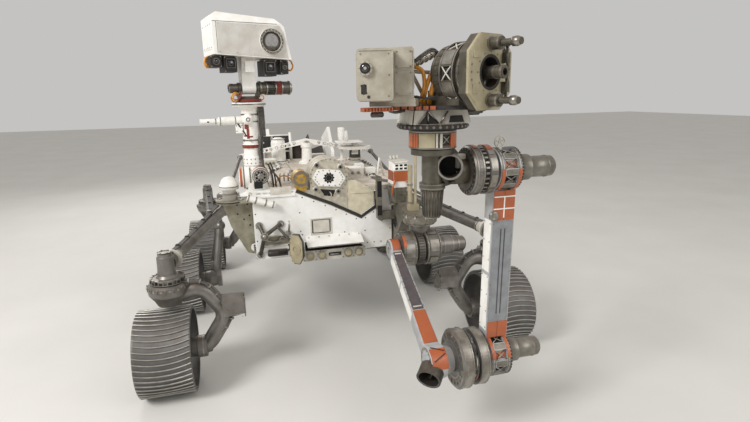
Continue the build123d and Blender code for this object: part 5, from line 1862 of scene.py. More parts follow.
@dataclass
class JointDrums:
    """Slots, rims, ribs, wires and bolt circles of the shoulder and elbow drums."""

    shoulder: Pair = SHOULDER
    elbow: Pair = ELBOW

    def shoulder_drum(self) -> None:
        """Slotted middle ring, rims and end bolts of the shoulder."""
        c, body = (0, *self.shoulder), "arm_shoulder"
        m = Mesher("shoulder_fins", body, "actuator")
        for k in range(36):
            a = 10 * k
            m.sector(c, Axis3.ACROSS, 0.1055, 0.005, (a - 2.5, a + 2.5), (0.4525, 0.4895), 2)
        m.done()
        m = Mesher("shoulder_bands", body, "olive")
        for x0, x1, r in (
            (0.346, 0.352, 0.1118), (0.424, 0.434, 0.1118), (0.506, 0.516, 0.1118), (0.59, 0.597, 0.1118)
        ):
            m.sector(c, Axis3.ACROSS, r, 0.0018, WHOLE, (x0, x1), 56)
        m.done()
        # Painted shade in the drum's grooves
        m = Mesher("shoulder_dark_grooves", body, "void")
        for x0, x1 in ((0.4368, 0.4452), (0.4968, 0.5032)):
            m.sector(c, Axis3.ACROSS, 0.0962, 0.001, WHOLE, (x0, x1), 56)
        m.done()
        m = Mesher("shoulder_plates", body, "machined")
        for a in (40, 100, 160, 220, 280, 340):
            m.sector(c, Axis3.ACROSS, 0.1122, 0.0022, (a - 19, a + 19), (0.524, 0.582))
            m.sector(c, Axis3.ACROSS, 0.1122, 0.0022, (a - 10, a + 34), (0.36, 0.418))
        m.ring((0.3435, *self.shoulder), Axis3.ACROSS, 0.108, 0.1, 0.003, 56)
        for r0, r1, x in ((0.06, 0.05, 0.64), (0.056, 0.046, 0.7), (0.052, 0.042, 0.74)):
            m.ring((x, *self.shoulder), Axis3.ACROSS, r0 + 0.004, r1, 0.008, 40)
        m.done()
        Mesher("shoulder_wrap", body, "flex", "orange_flex").sector(
            c, Axis3.ACROSS, 0.1145, 0.002, (118, 158), (0.346, 0.366)
        ).done()
        b = Bolts("shoulder_bolts", body, 0.0045, 0.003)
        for x in (0.429, 0.511, 0.5935):
            b.rim((x, *self.shoulder), Axis3.ACROSS, 0.1132, 24, 0.7)
        b.circle((0.3448, *self.shoulder), Axis3.OUT_RIGHT, 0.094, 20)
        b.circle((0.6042, *self.shoulder), Axis3.ACROSS, 0.088, 20)
        b.circle((0.5, -1.25, 1.012), Axis3.UP, 0.096, 24)
        b.done()
        Mesher("azimuth_column_bands", body, "machined").ring(
            (0.5, -1.25, 0.9405), Axis3.UP, 0.0835, 0.07, 0.006, 48
        ).done()

    def elbow_drum(self) -> None:
        """Rims, slots, the groove's wires and the end bolts of the elbow."""
        c, body = (0, *self.elbow), "arm_upper"
        m = Mesher("elbow_bands", body, "machined")
        for x0, x1, r in (
            (0.36, 0.366, 0.1478), (0.402, 0.408, 0.1478), (0.449, 0.454, 0.1398), (0.489, 0.495, 0.1398)
        ):
            m.sector(c, Axis3.ACROSS, r, 0.0022, WHOLE, (x0, x1), 64)
        m.sector(c, Axis3.ACROSS, 0.148, 0.0014, WHOLE, (0.3675, 0.4005), 64)
        m.sector(c, Axis3.ACROSS, 0.14, 0.0014, WHOLE, (0.4555, 0.4875), 64)
        m.done()
        # Painted shade in the groove under the wires
        Mesher("elbow_groove_painted_shade", body, "void").sector(
            c, Axis3.ACROSS, 0.1182, 0.0008, WHOLE, (0.4125, 0.4435), 56
        ).done()
        m = Mesher("elbow_rims", body, "machined")
        m.ring((0.3505, *self.elbow), Axis3.ACROSS, 0.1385, 0.13, 0.003, 64)
        m.ring((0.35, *self.elbow), Axis3.ACROSS, 0.098, 0.09, 0.003, 56)
        for k in range(20):
            a = radians(18 * k)
            a0 = Vector((0.3515, *polar(self.elbow, 0.099, a)))
            a1 = Vector((0.3515, *polar(self.elbow, 0.129, a)))
            m.tube([a0, a1], 0.0026, 6, 0)
        m.done()
        colours = (("braid", 10), ("flex", 1), ("cream", 2))
        state = 3
        for finish, count in colours:
            m = Mesher(f"elbow_wires_{finish}", body, finish)
            for _ in range(count):
                line, start = [], (state * 37) % 360
                for k in range(14):
                    state = (state * 73 + 41) % 1009
                    a = radians(start + 200 * k / 13)
                    r = 0.123 + 0.012 * (state % 100) / 100
                    x = 0.418 + 0.02 * (state % 89) / 89
                    line.append((x, *polar(self.elbow, r, a)))
                m.tube(line, 0.003, 7, 3)
            m.done()
        b = Bolts("elbow_bolts", body, 0.0046, 0.003)
        for x, r in ((0.365, 0.15), (0.4035, 0.15), (0.492, 0.142)):
            b.rim((x, *self.elbow), Axis3.ACROSS, r, 30, 0.7)
        b.circle((0.35, *self.elbow), Axis3.OUT_RIGHT, 0.12, 20)
        b.done()

    def build(self) -> None:
        """Builds both drums' dress."""
        self.shoulder_drum()
        self.elbow_drum()


@dataclass
class Forearm:
    """Dress of the forearm: label plate, white cheek, circuits and both slotted collars."""

    elbow: Pair = ELBOW
    wrist: Pair = WRIST
    half_depth: float = 0.0382
    left: float = 0.515
    right: float = 0.63
    body: str = "arm_forearm"

    @property
    def place(self) -> Matrix:
        """Plane of the front face: +X, up the link, and out of the face; origin beside the elbow."""
        along = Vector((0, self.wrist[0] - self.elbow[0], self.wrist[1] - self.elbow[1])).normalized()
        across = Vector((1, 0, 0))
        out = across.cross(along)
        base = Vector((0, *self.elbow)) + out * self.half_depth
        return placed(base, across, along, out)

    @staticmethod
    def rect(x0: float, x1: float, low: float, high: float) -> list[Pair]:
        """Corners of a rectangle on the face."""
        return [(x0, low), (x1, low), (x1, high), (x0, high)]

    def at(self, lift: float) -> Matrix:
        """The face's plane, raised."""
        return self.place @ Matrix.Translation((0, 0, lift))

    def face(self) -> None:
        """Label, stripe, circuits and clamps on the front, and the plates on both sides."""
        Mesher("forearm_label", self.body, "grey").plate(
            self.at(0), self.rect(0.52, 0.625, 0.2, 0.717), 0.0022, 0.0006
        ).done()
        m = Mesher("forearm_stripe", self.body, "label")
        m.plate(self.at(0.0022), self.rect(0.56, 0.566, 0.24, 0.68), 0.0005, 0)
        m.plate(self.at(0.0022), self.rect(0.58, 0.586, 0.24, 0.68), 0.0005, 0)
        m.done()
        m = Mesher("forearm_circuit", self.body, "flex", "orange_flex")
        for k in range(2):
            x = 0.519 + 0.0545 * k
            m.plate(self.at(0), self.rect(x, x + 0.053, 0.722, 0.866), 0.004, 0.0005)
            m.plate(self.at(0), self.rect(x, x + 0.053, 0.112, 0.196), 0.004, 0.0005)
        bands = (
            (self.wrist, 0.0985, (FRONT - 6, FRONT + 66)), (self.elbow, 0.1125, (FRONT - 68, FRONT - 12))
        )
        for centre, r, turn in bands:
            for across in ((0.52, 0.538), (0.606, 0.621)):
                m.sector((0, *centre), Axis3.ACROSS, r, 0.003, turn, across)
        m.done()
        m = Mesher("forearm_clamps", self.body, "white", "link_paint")
        for s in (0.776, 0.834):
            m.plate(self.at(0.0035), self.rect(0.518, 0.627, s, s + 0.006), 0.003, 0.0006)
        m.plate(self.at(0.004), self.rect(0.569, 0.575, 0.735, 0.84), 0.0022, 0.0004)
        m.done()
        m = Mesher("forearm_cheek", self.body, "white", "link_paint")
        cheek = self.place @ Matrix.Translation((0, 0, -self.half_depth))
        for low, high in ((0.15, 0.44), (0.46, 0.72)):
            m.block(
                cheek @ Matrix.Translation((self.left - 0.0012, (low + high) / 2, 0)),
                (0.0024, high - low, 0.066), 0.0008
            )
            m.block(
                cheek @ Matrix.Translation((self.right + 0.0012, (low + high) / 2, 0)),
                (0.0024, high - low, 0.066), 0.0008
            )
            m.block(
                cheek @ Matrix.Translation((0.5725, (low + high) / 2, -self.half_depth - 0.0012)),
                (0.1, high - low, 0.0024), 0.0008
            )
        m.done()
        m = Mesher("forearm_fitting", self.body, "machined")
        spot = self.place @ Vector((0.5225, 0.745, -0.004))
        m.lathe(spot, outward(self.place), [
            (0, 0.024), (0.01, 0.024), (0.014, 0.02), (0.014, 0.01), (0.011, 0.009)
        ], 32)
        m.done()
        b = Bolts("forearm_bolts", self.body, 0.0036, 0.0022)
        out = outward(self.place)
        for x in (0.5235, 0.6215):
            for k in range(9):
                b.at(self.place @ Vector((x, 0.212 + 0.0617 * k, 0.0022)), out, 0.75)
        for k in range(7):
            for x, aim in ((self.left - 0.0024, Axis3.OUT_RIGHT), (self.right + 0.0024, Axis3.ACROSS)):
                for h in (-0.026, 0.026):
                    b.at(cheek @ Vector((x, 0.165 + 0.09 * k, h)), aim, 0.75)
        b.circle(spot + out * 0.01, out, 0.0205, 8, 0.5)
        b.done()

    def collar(self, name: str, centre: Pair, radius: float) -> None:
        """Floors, braces, rims and serrated flange of one slotted collar.

        Args:
            name: Start of its pieces' names.
            centre: The joint's Y and Z.
            radius: The collar's radius.
        """
        tilt = 91.8
        angles = [tilt + 22.5 + 45 * k for k in range(8)]
        half = degrees(atan2(radius * 0.23, radius)) - 1.2
        c = (0, *centre)
        m = Mesher(f"{name}_floors", self.body, "flex", "orange_flex")
        # Painted shade on the floors of the empty slots
        dark = Mesher(f"{name}_dark_floors", self.body, "void")
        for k, a in enumerate(angles):
            target = m if k % 2 else dark
            target.sector(c, Axis3.ACROSS, radius - 0.0148, 0.0016, (a - half, a + half), (0.542, 0.602), 4)
        m.done()
        dark.done()
        m = Mesher(f"{name}_braces", self.body, "machined")
        for a in angles:
            for turn in (-1, 1):
                line = []
                for t in (0, 0.5, 1):
                    deg = radians(a + turn * half * (2 * t - 1))
                    r = radius - 0.005
                    line.append((0.544 + 0.056 * t, *polar(centre, r, deg)))
                m.tube(line, 0.0028, 8, 0)
        m.done()
        m = Mesher(f"{name}_rims", self.body, "olive")
        for x0, x1 in ((0.522, 0.527), (0.534, 0.539), (0.605, 0.61), (0.617, 0.621)):
            m.sector(c, Axis3.ACROSS, radius + 0.0002, 0.0018, WHOLE, (x0, x1), 56)
        for k in range(8):
            a = tilt + 45 * k
            m.sector(c, Axis3.ACROSS, radius + 0.0002, 0.0022, (a - 7, a + 7), (0.545, 0.6), 3)
        m.done()
        m = Mesher(f"{name}_serration", self.body, "black")
        for k in range(40):
            a = 9 * k
            m.sector(c, Axis3.ACROSS, radius - 0.008, 0.0095, (a - 2.4, a + 2.4), (0.6225, 0.6295), 1)
        m.ring((0.636, *centre), Axis3.ACROSS, 0.065, 0.045, 0.006, 40)
        m.done()
        m = Mesher(f"{name}_motor", self.body, "motor")
        can = [
            (0.634, 0.0627), (0.698, 0.0612), (0.7015, 0.0608), (0.7075, 0.051), (0.79, 0.05),
            (0.792, 0.052), (0.8, 0.052), (0.802, 0.0496), (0.826, 0.0488), (0.8368, 0.0386)
        ]
        m.lathe((0, *centre), Axis3.ACROSS, can, 48)
        m.done()
        b = Bolts(f"{name}_bolts", self.body, 0.004, 0.0025)
        for x in (0.5305, 0.6135):
            b.rim((x, *centre), Axis3.ACROSS, radius, 24, 0.7)
        b.circle((0.8368, *centre), Axis3.ACROSS, 0.03, 8, 0.8)
        b.circle((0.7062, *centre), Axis3.ACROSS, 0.053, 12, 0.6)
        b.done()

    def vane(self) -> None:
        """Small spoked ring that stands on the wrist's collar."""
        m = Mesher("forearm_spoked_ring", self.body, "cream")
        spot = Vector((0.546, -2.166, 1.547))
        m.ring(spot, Axis3.AHEAD, 0.0285, 0.0225, 0.008, 36)
        m.ring(spot, Axis3.AHEAD, 0.0075, 0.003, 0.008, 20)
        for k in range(5):
            a = radians(72 * k + 90)
            out = Vector((cos(a), 0, sin(a)))
            m.tube([
                spot + Vector((0, -0.004, 0)) + out * 0.006, spot + Vector((0, -0.004, 0)) + out * 0.024
            ], 0.0026, 8, 0)
        m.box((0.538, -2.176, 1.508), (0.554, -2.162, 1.522))
        m.done()

    def build(self) -> None:
        """Builds the forearm's dress."""
        self.face()
        self.collar("elbow_collar", self.elbow, 0.112)
        self.collar("wrist_collar", self.wrist, 0.098)
        self.vane()


@dataclass
class ShoulderMount:
    """Dress of the fixed bracket, its connector box and the post beside it."""

    column: Pair = (0.5, -1.25)
    body: str = "rover_body"

    def build(self) -> None:
        """Builds the circuits, slots, studs, struts and pans of the mount."""
        m = Mesher("connector_band", self.body, "flex", "orange_flex")
        m.box((0.384, -1.0715, 1.192), (0.488, -1.0655, 1.26), 0.001)
        m.box((0.3795, -1.06, 1.192), (0.3815, -0.95, 1.26), 0.0005)
        m.tube([(0.395, -1.069, 1.205), (0.372, -1.085, 1.15), (0.375, -1.06, 1.09)], 0.007)
        m.tube([(0.47, -1.072, 1.2), (0.5, -1.09, 1.13), (0.492, -1.08, 1.06)], 0.006)
        m.done()
        # Painted shade in the connector's slots
        m = Mesher("connector_slots", self.body, "void")
        for row in range(2):
            for k in range(3):
                x, z = 0.396 + 0.031 * k, 1.27 + 0.022 * row
                m.box((x, -1.0672, z), (x + 0.02, -1.0655, z + 0.013), 0.0004)
        m.done()
        m = Mesher("connector_frames", self.body, "cream")
        m.box((0.3835, -1.0695, 1.2615), (0.4885, -1.0655, 1.2665), 0.0006)
        m.box((0.3835, -1.0695, 1.312), (0.4885, -1.0655, 1.318), 0.0006)
        m.box((0.3795, -1.064, 1.3205), (0.4925, -0.944, 1.3265), 0.001)
        for k in range(3):
            m.tube([
                (0.4 + 0.025 * k, -0.95, 1.326), (0.4 + 0.025 * k, -0.93, 1.34),
                (0.4 + 0.025 * k, -0.9, 1.18)
            ], 0.006)
        m.done()
        m = Mesher("mount_pans", self.body, "olive")
        tray = Vector((0.428, -1.0, 0))
        m.lathe((tray.x - 0.02, tray.y - 0.012, 1.1482), Axis3.UP, [
            (0, 0.04), (0.006, 0.044), (0.02, 0.044), (0.02, 0.038), (0.006, 0.034), (0.006, 0.0)
        ], 40)
        m.ring((0.388, -1.04, 1.028), Axis3.UP, 0.028, 0.018, 0.012, 32)
        m.box((0.362, -1.071, 1.075), (0.386, -1.064, 1.12))
        m.box((0.41, -1.0675, 1.05), (0.47, -1.064, 1.062), 0.0008)
        m.box((0.41, -1.0675, 1.1), (0.47, -1.064, 1.112), 0.0008)
        m.done()
        # Painted shade in the mount's slots and its round opening
        m = Mesher("mount_dark_fill", self.body, "void")
        m.box((0.2835, -1.0118, 0.95), (0.3145, -1.0098, 1.02), 0.0004)
        m.box((0.2835, -1.0118, 1.08), (0.3145, -1.0098, 1.19), 0.0004)
        m.lathe((0.408, -1.01, 0.9), Axis3.ACROSS, [(0, 0.0455), (0.003, 0.0455)], 40)
        m.done()
        m = Mesher("mount_struts", self.body, "machined")
        m.ring((*self.column, 0.9475), Axis3.DOWN, 0.1, 0.088, 0.006, 48)
        for deg in (200, 235, 270, 305, 340):
            a = radians(deg)
            x, y = 0.5 + 0.109 * cos(a), -1.25 + 0.109 * sin(a)
            m.tube([(x, y, 0.952), (x, y, 1.008)], 0.0045, 8, 0)
        m.ring((0.46, -1.18, 1.06), Axis3.UP, 0.0185, 0.015, 0.01, 28)
        m.ring((0.46, -1.18, 1.18), Axis3.UP, 0.0185, 0.015, 0.01, 28)
        m.ring((0.495, -1.186, 1.395), Axis3.UP, 0.0115, 0.008, 0.007, 20)
        m.ring((0.4075, -1.01, 0.9), Axis3.ACROSS, 0.056, 0.046, 0.004, 40)
        m.done()
        b = Bolts("mount_bolts", self.body, 0.0048, 0.003)
        b.rim((*self.column, 0.98), Axis3.UP, 0.112, 18, 0.8)
        for z in (0.925, 1.035, 1.062, 1.21):
            for x in (0.2895, 0.3085):
                b.at((x, -1.01, z), Axis3.AHEAD, 0.8)
        b.circle((0.4078, -1.01, 0.9), Axis3.OUT_RIGHT, 0.051, 12, 0.8)
        for z in (0.74, 0.8, 1.0, 1.06):
            b.at((0.4098, -0.93, z), Axis3.OUT_RIGHT)
            for y in (-0.93, -1.02, -1.1):
                b.at((0.5452, y, z), Axis3.ACROSS)
        b.done()


ARM = (UpperArm(), JointDrums(), Forearm(), ShoulderMount())


# Mast: head with its cameras, neck, tube, fold-out drum and wind booms


@dataclass
class MastHead:
    """Dress of the head box, its window, the four cameras below it and the neck."""

    window: Pair = (-0.387, 2.1)
    front: float = -0.935
    cameras: tuple[tuple[float, float, float, float], ...] = (
        (-0.728, 0.066, 1.978, 0.066), (-0.64, 0.08, 1.962, 0.092), (-0.391, 0.084, 1.942, 0.098),
        (-0.295, 0.056, 1.948, 0.084)
    )
    tilt_z: float = 1.82
    body: str = "mast_head"

    def part(self, name: str, finish: str, slot: str = "", body: str = "") -> Mesher:
        """A mesher whose shapes are turned with the head."""
        return Mesher(name, body or self.body, finish, slot, HEAD_TURN)

    def box(self) -> None:
        """Face plate, window, seams, end covers and their screws."""
        x, z = self.window
        # The head's front: white paint painted grey as shade
        m = self.part("head_face_plate", "shaded_head_front")
        plane = basis((0, self.front - 0.0002, 0), Axis3.AHEAD)
        m.plate(plane, [
            (-0.716, 2.024), (-0.28, 2.002), (-0.303, 2.15), (-0.33, 2.196), (-0.716, 2.2)
        ], 0.0024, 0.0008)
        m.done()
        # The window's glass is painted brown-grey as the mirror's reflection
        m = self.part("head_window_glass", "window")
        m.lathe((x, self.front - 0.0034, z), Axis3.AHEAD, [
            (0, 0.0606), (0.002, 0.0606), (0.0032, 0.04), (0.0036, 0.004)
        ], 56)
        m.done()
        m = self.part("head_window_rims", "gunmetal")
        m.ring((x, self.front - 0.0152, z), Axis3.AHEAD, 0.0755, 0.0625, 0.0018, 64)
        m.ring((x, self.front - 0.0052, z), Axis3.AHEAD, 0.0612, 0.0575, 0.006, 64)
        m.done()
        m = self.part("head_covers", "white", "white_paint")
        m.slab([
            (-0.7445, -0.9, 2.05), (-0.7445, -0.69, 2.05), (-0.7445, -0.69, 2.2), (-0.7445, -0.9, 2.2)
        ], (-0.002, 0, 0))
        m.plate(
            basis((0, -0.6498, 0), Axis3.BACK), [(0.3, 2.03), (0.5, 2.03), (0.5, 2.19), (0.3, 2.19)], 0.003
        )
        m.plate(
            basis((0, -0.6498, 0), Axis3.BACK), [(0.53, 2.04), (0.71, 2.04), (0.71, 2.2), (0.53, 2.2)], 0.003
        )
        for a, b in ((-0.69, -0.56), (-0.545, -0.4)):
            za, zb = (2.2626 - 0.026 * (v + 0.708) / 0.356 for v in (a, b))
            m.slab([(a, -0.87, za), (b, -0.87, zb), (b, -0.69, zb), (a, -0.69, za)], (0, 0, 0.002))
        m.done()
        m = self.part("head_seams", "black")
        m.plate(plane, [(-0.741, 2.205), (-0.345, 2.203), (-0.345, 2.2055), (-0.741, 2.2075)], 0.0008, 0)
        m.plate(plane, [(-0.7215, 2.023), (-0.7195, 2.023), (-0.7195, 2.203), (-0.7215, 2.203)], 0.0008, 0)
        for k in range(6):
            m.box((-0.7462, -0.875 + 0.034 * k, 2.075), (-0.744, -0.862 + 0.034 * k, 2.1), 0.0004)
        m.done()
        b = Bolts("head_bolts", self.body, 0.003, 0.0018, "machined", HEAD_TURN)
        b.circle((x, self.front - 0.017, z), Axis3.AHEAD, 0.069, 20, 0.85)
        face = self.front - 0.0026
        b.row((-0.708, face, 2.034), (-0.5, face, 2.024), Axis3.AHEAD, 3, 0.6)
        b.row((-0.708, face, 2.192), (-0.48, face, 2.19), Axis3.AHEAD, 3, 0.6)
        b.row((-0.7465, -0.89, 2.06), (-0.7465, -0.7, 2.06), Axis3.OUT_RIGHT, 5)
        b.row((-0.7465, -0.89, 2.19), (-0.7465, -0.7, 2.19), Axis3.OUT_RIGHT, 5)
        for u, v in (
            (-0.31, 2.04), (-0.49, 2.04), (-0.31, 2.18), (-0.49, 2.18), (-0.54, 2.05), (-0.7, 2.05),
            (-0.54, 2.19), (-0.7, 2.19)
        ):
            b.at((u, -0.6468, v), Axis3.BACK)
        b.done()

    def eyes(self) -> None:
        """Windows, frames, hoods and plugs of the cameras."""
        glass, rim = self.part("camera_windows", "glass"), self.part("camera_frames", "gunmetal")
        # The near-black mesher holds painted shade behind the cameras' glass
        dark, pale = self.part("camera_glass_painted_shade", "void"), self.part("camera_plugs", "cream", "cream_cover")
        bolts = Bolts("camera_bolts", self.body, 0.0022, 0.0014, "machined", HEAD_TURN)
        for k, (x, width, z, height) in enumerate(self.cameras):
            outer = k in (0, 3)
            place = basis((x, -0.8985, z + (0.006 if not outer else 0.0)), Axis3.AHEAD)
            half = min(width, height) / 2 - 0.012
            if outer:
                rim.ring(place @ Vector((0, 0, 0)), outward(place), half, half - 0.006, 0.004, 36)
                dark.lathe(
                    place @ Vector((0, 0, 0.0002)), Axis3.AHEAD,
                    [(0, half - 0.0055), (0.001, half - 0.0055)], 32
                )
                glass.lathe(place @ Vector((0, 0, 0.001)), Axis3.AHEAD, [
                    (0, half * 0.62), (0.003, half * 0.5), (0.0042, half * 0.2), (0.0045, 0.0008)
                ], 32)
            else:
                for sx, sy, w, h in (
                    (0, 1, 2 * half, 0.004), (0, -1, 2 * half, 0.004), (1, 0, 0.004, 2 * half - 0.004),
                    (-1, 0, 0.004, 2 * half - 0.004)
                ):
                    rim.block(
                        place @ Matrix.Translation((sx * (half - 0.002), sy * (half - 0.002), 0.0015)),
                        (w, h, 0.003), 0.0005
                    )
                dark.block(
                    place @ Matrix.Translation((0, 0, 0.0004)), (2 * half - 0.006, 2 * half - 0.006, 0.0008),
                    0
                )
                glass.lathe(place @ Vector((0, 0, 0.0008)), Axis3.AHEAD, [
                    (0, half * 0.7), (0.002, half * 0.62), (0.0032, half * 0.25), (0.0035, 0.0008)
                ], 32)
            for dx in (-1, 1):
                for dz in (-1, 1):
                    bolts.at((
                        x + dx * (width / 2 - 0.005), -0.898, z + dz * (height / 2 - 0.005)
                    ), Axis3.AHEAD)
            pale.lathe((x, -0.7595, z), Axis3.BACK, [(0, 0.012), (0.01, 0.012), (0.012, 0.008)], 20)
            pale.box(
                (x - width / 2 + 0.006, -0.88, z + height / 2 - 0.001),
                (x + width / 2 - 0.006, -0.79, z + height / 2 + 0.003)
            )
        for m in (glass, rim, dark, pale, bolts):
            m.done()
        m = self.part("camera_cables", "amber")
        m.tube([
            (-0.758, -0.84, 2.012), (-0.784, -0.85, 1.99), (-0.786, -0.856, 1.958), (-0.768, -0.85, 1.945),
            (-0.752, -0.83, 1.962)
        ], 0.0055)
        m.tube([(-0.756, -0.815, 2.008), (-0.776, -0.822, 1.982), (-0.764, -0.82, 1.955)], 0.0045)
        m.tube([
            (-0.262, -0.85, 2.006), (-0.238, -0.862, 1.99), (-0.228, -0.87, 1.956), (-0.244, -0.868, 1.93),
            (-0.266, -0.84, 1.94)
        ], 0.0055)
        m.tube([(-0.264, -0.82, 2.0), (-0.246, -0.828, 1.972), (-0.262, -0.824, 1.95)], 0.0045)
        m.done()
        m = self.part("head_stem_plates", "white", "white_paint")
        m.box((-0.548, -0.8805, 1.918), (-0.488, -0.878, 1.985))
        m.done()

    def neck(self) -> None:
        """Tilt actuator's rings, lug screws, harness wrap and the loops beside it."""
        m = self.part("tilt_actuator_bands", "machined", body="mast_turntable")
        for x, r in ((-0.448, 0.0425), (-0.405, 0.0425), (-0.345, 0.0425), (-0.3, 0.0425), (-0.244, 0.0425)):
            m.ring((x, -0.8, self.tilt_z), Axis3.ACROSS, r + 0.0035, r - 0.004, 0.008, 40)
        m.ring((-0.2285, -0.8, self.tilt_z), Axis3.ACROSS, 0.034, 0.016, 0.003, 36)
        m.ring((-0.6425, -0.8, self.tilt_z), Axis3.ACROSS, 0.026, 0.014, 0.003, 32)
        m.done()
        m = self.part("tilt_actuator_ribs", "actuator", body="mast_turntable")
        for k in range(24):
            a = 15 * k
            m.sector(
                (0, -0.8, self.tilt_z), Axis3.ACROSS, 0.0418, 0.0032, (a - 3, a + 3), (-0.395, -0.349), 1
            )
        m.done()
        m = self.part("tilt_actuator_wrap", "wrap", body="mast_turntable")
        m.sector((0, -0.8, self.tilt_z), Axis3.ACROSS, 0.0422, 0.0022, WHOLE, (-0.336, -0.3), 40)
        m.done()
        m = self.part("neck_wrap", "wrap", body="mast_turntable")
        m.sector((-0.52, -0.8, 0), Axis3.UP, 0.0782, 0.0045, WHOLE, (1.7345, 1.7535), 48)
        m.strip([
            (-0.596, -0.826, 1.738), (-0.598, -0.848, 1.752), (-0.588, -0.862, 1.772),
            (-0.572, -0.856, 1.792)
        ], (0, 0.4, 0.6), 0.016, 0.003)
        m.done()
        m = self.part("neck_loops", "amber", body="mast_turntable")
        m.tube([
            (-0.59, -0.842, 1.786), (-0.624, -0.86, 1.792), (-0.646, -0.862, 1.766), (-0.634, -0.85, 1.74),
            (-0.604, -0.842, 1.744)
        ], 0.005)
        m.tube([
            (-0.59, -0.82, 1.78), (-0.618, -0.836, 1.778), (-0.63, -0.838, 1.758), (-0.61, -0.83, 1.746)
        ], 0.0045)
        m.tube([
            (-0.448, -0.838, 1.772), (-0.438, -0.85, 1.772), (-0.434, -0.848, 1.754), (-0.446, -0.838, 1.742)
        ], 0.0045)
        m.done()
        b = Bolts("neck_bolts", "mast_turntable", 0.0034, 0.0022, "machined", HEAD_TURN)
        b.circle((-0.2255, -0.8, self.tilt_z), Axis3.ACROSS, 0.028, 10, 0.8)
        b.circle((-0.6425, -0.8, self.tilt_z), Axis3.OUT_RIGHT, 0.021, 8, 0.7)
        for x in (-0.4365, -0.312):
            b.rim((x, -0.8, self.tilt_z), Axis3.ACROSS, 0.0425, 16, 0.7)
        for z in (1.775, 1.795):
            for y in (-0.835, -0.765):
                b.at((-0.5865, y, z), Axis3.OUT_RIGHT, 0.9)
        b.done()

    def build(self) -> None:
        """Builds the head's dress."""
        self.box()
        self.eyes()
        self.neck()


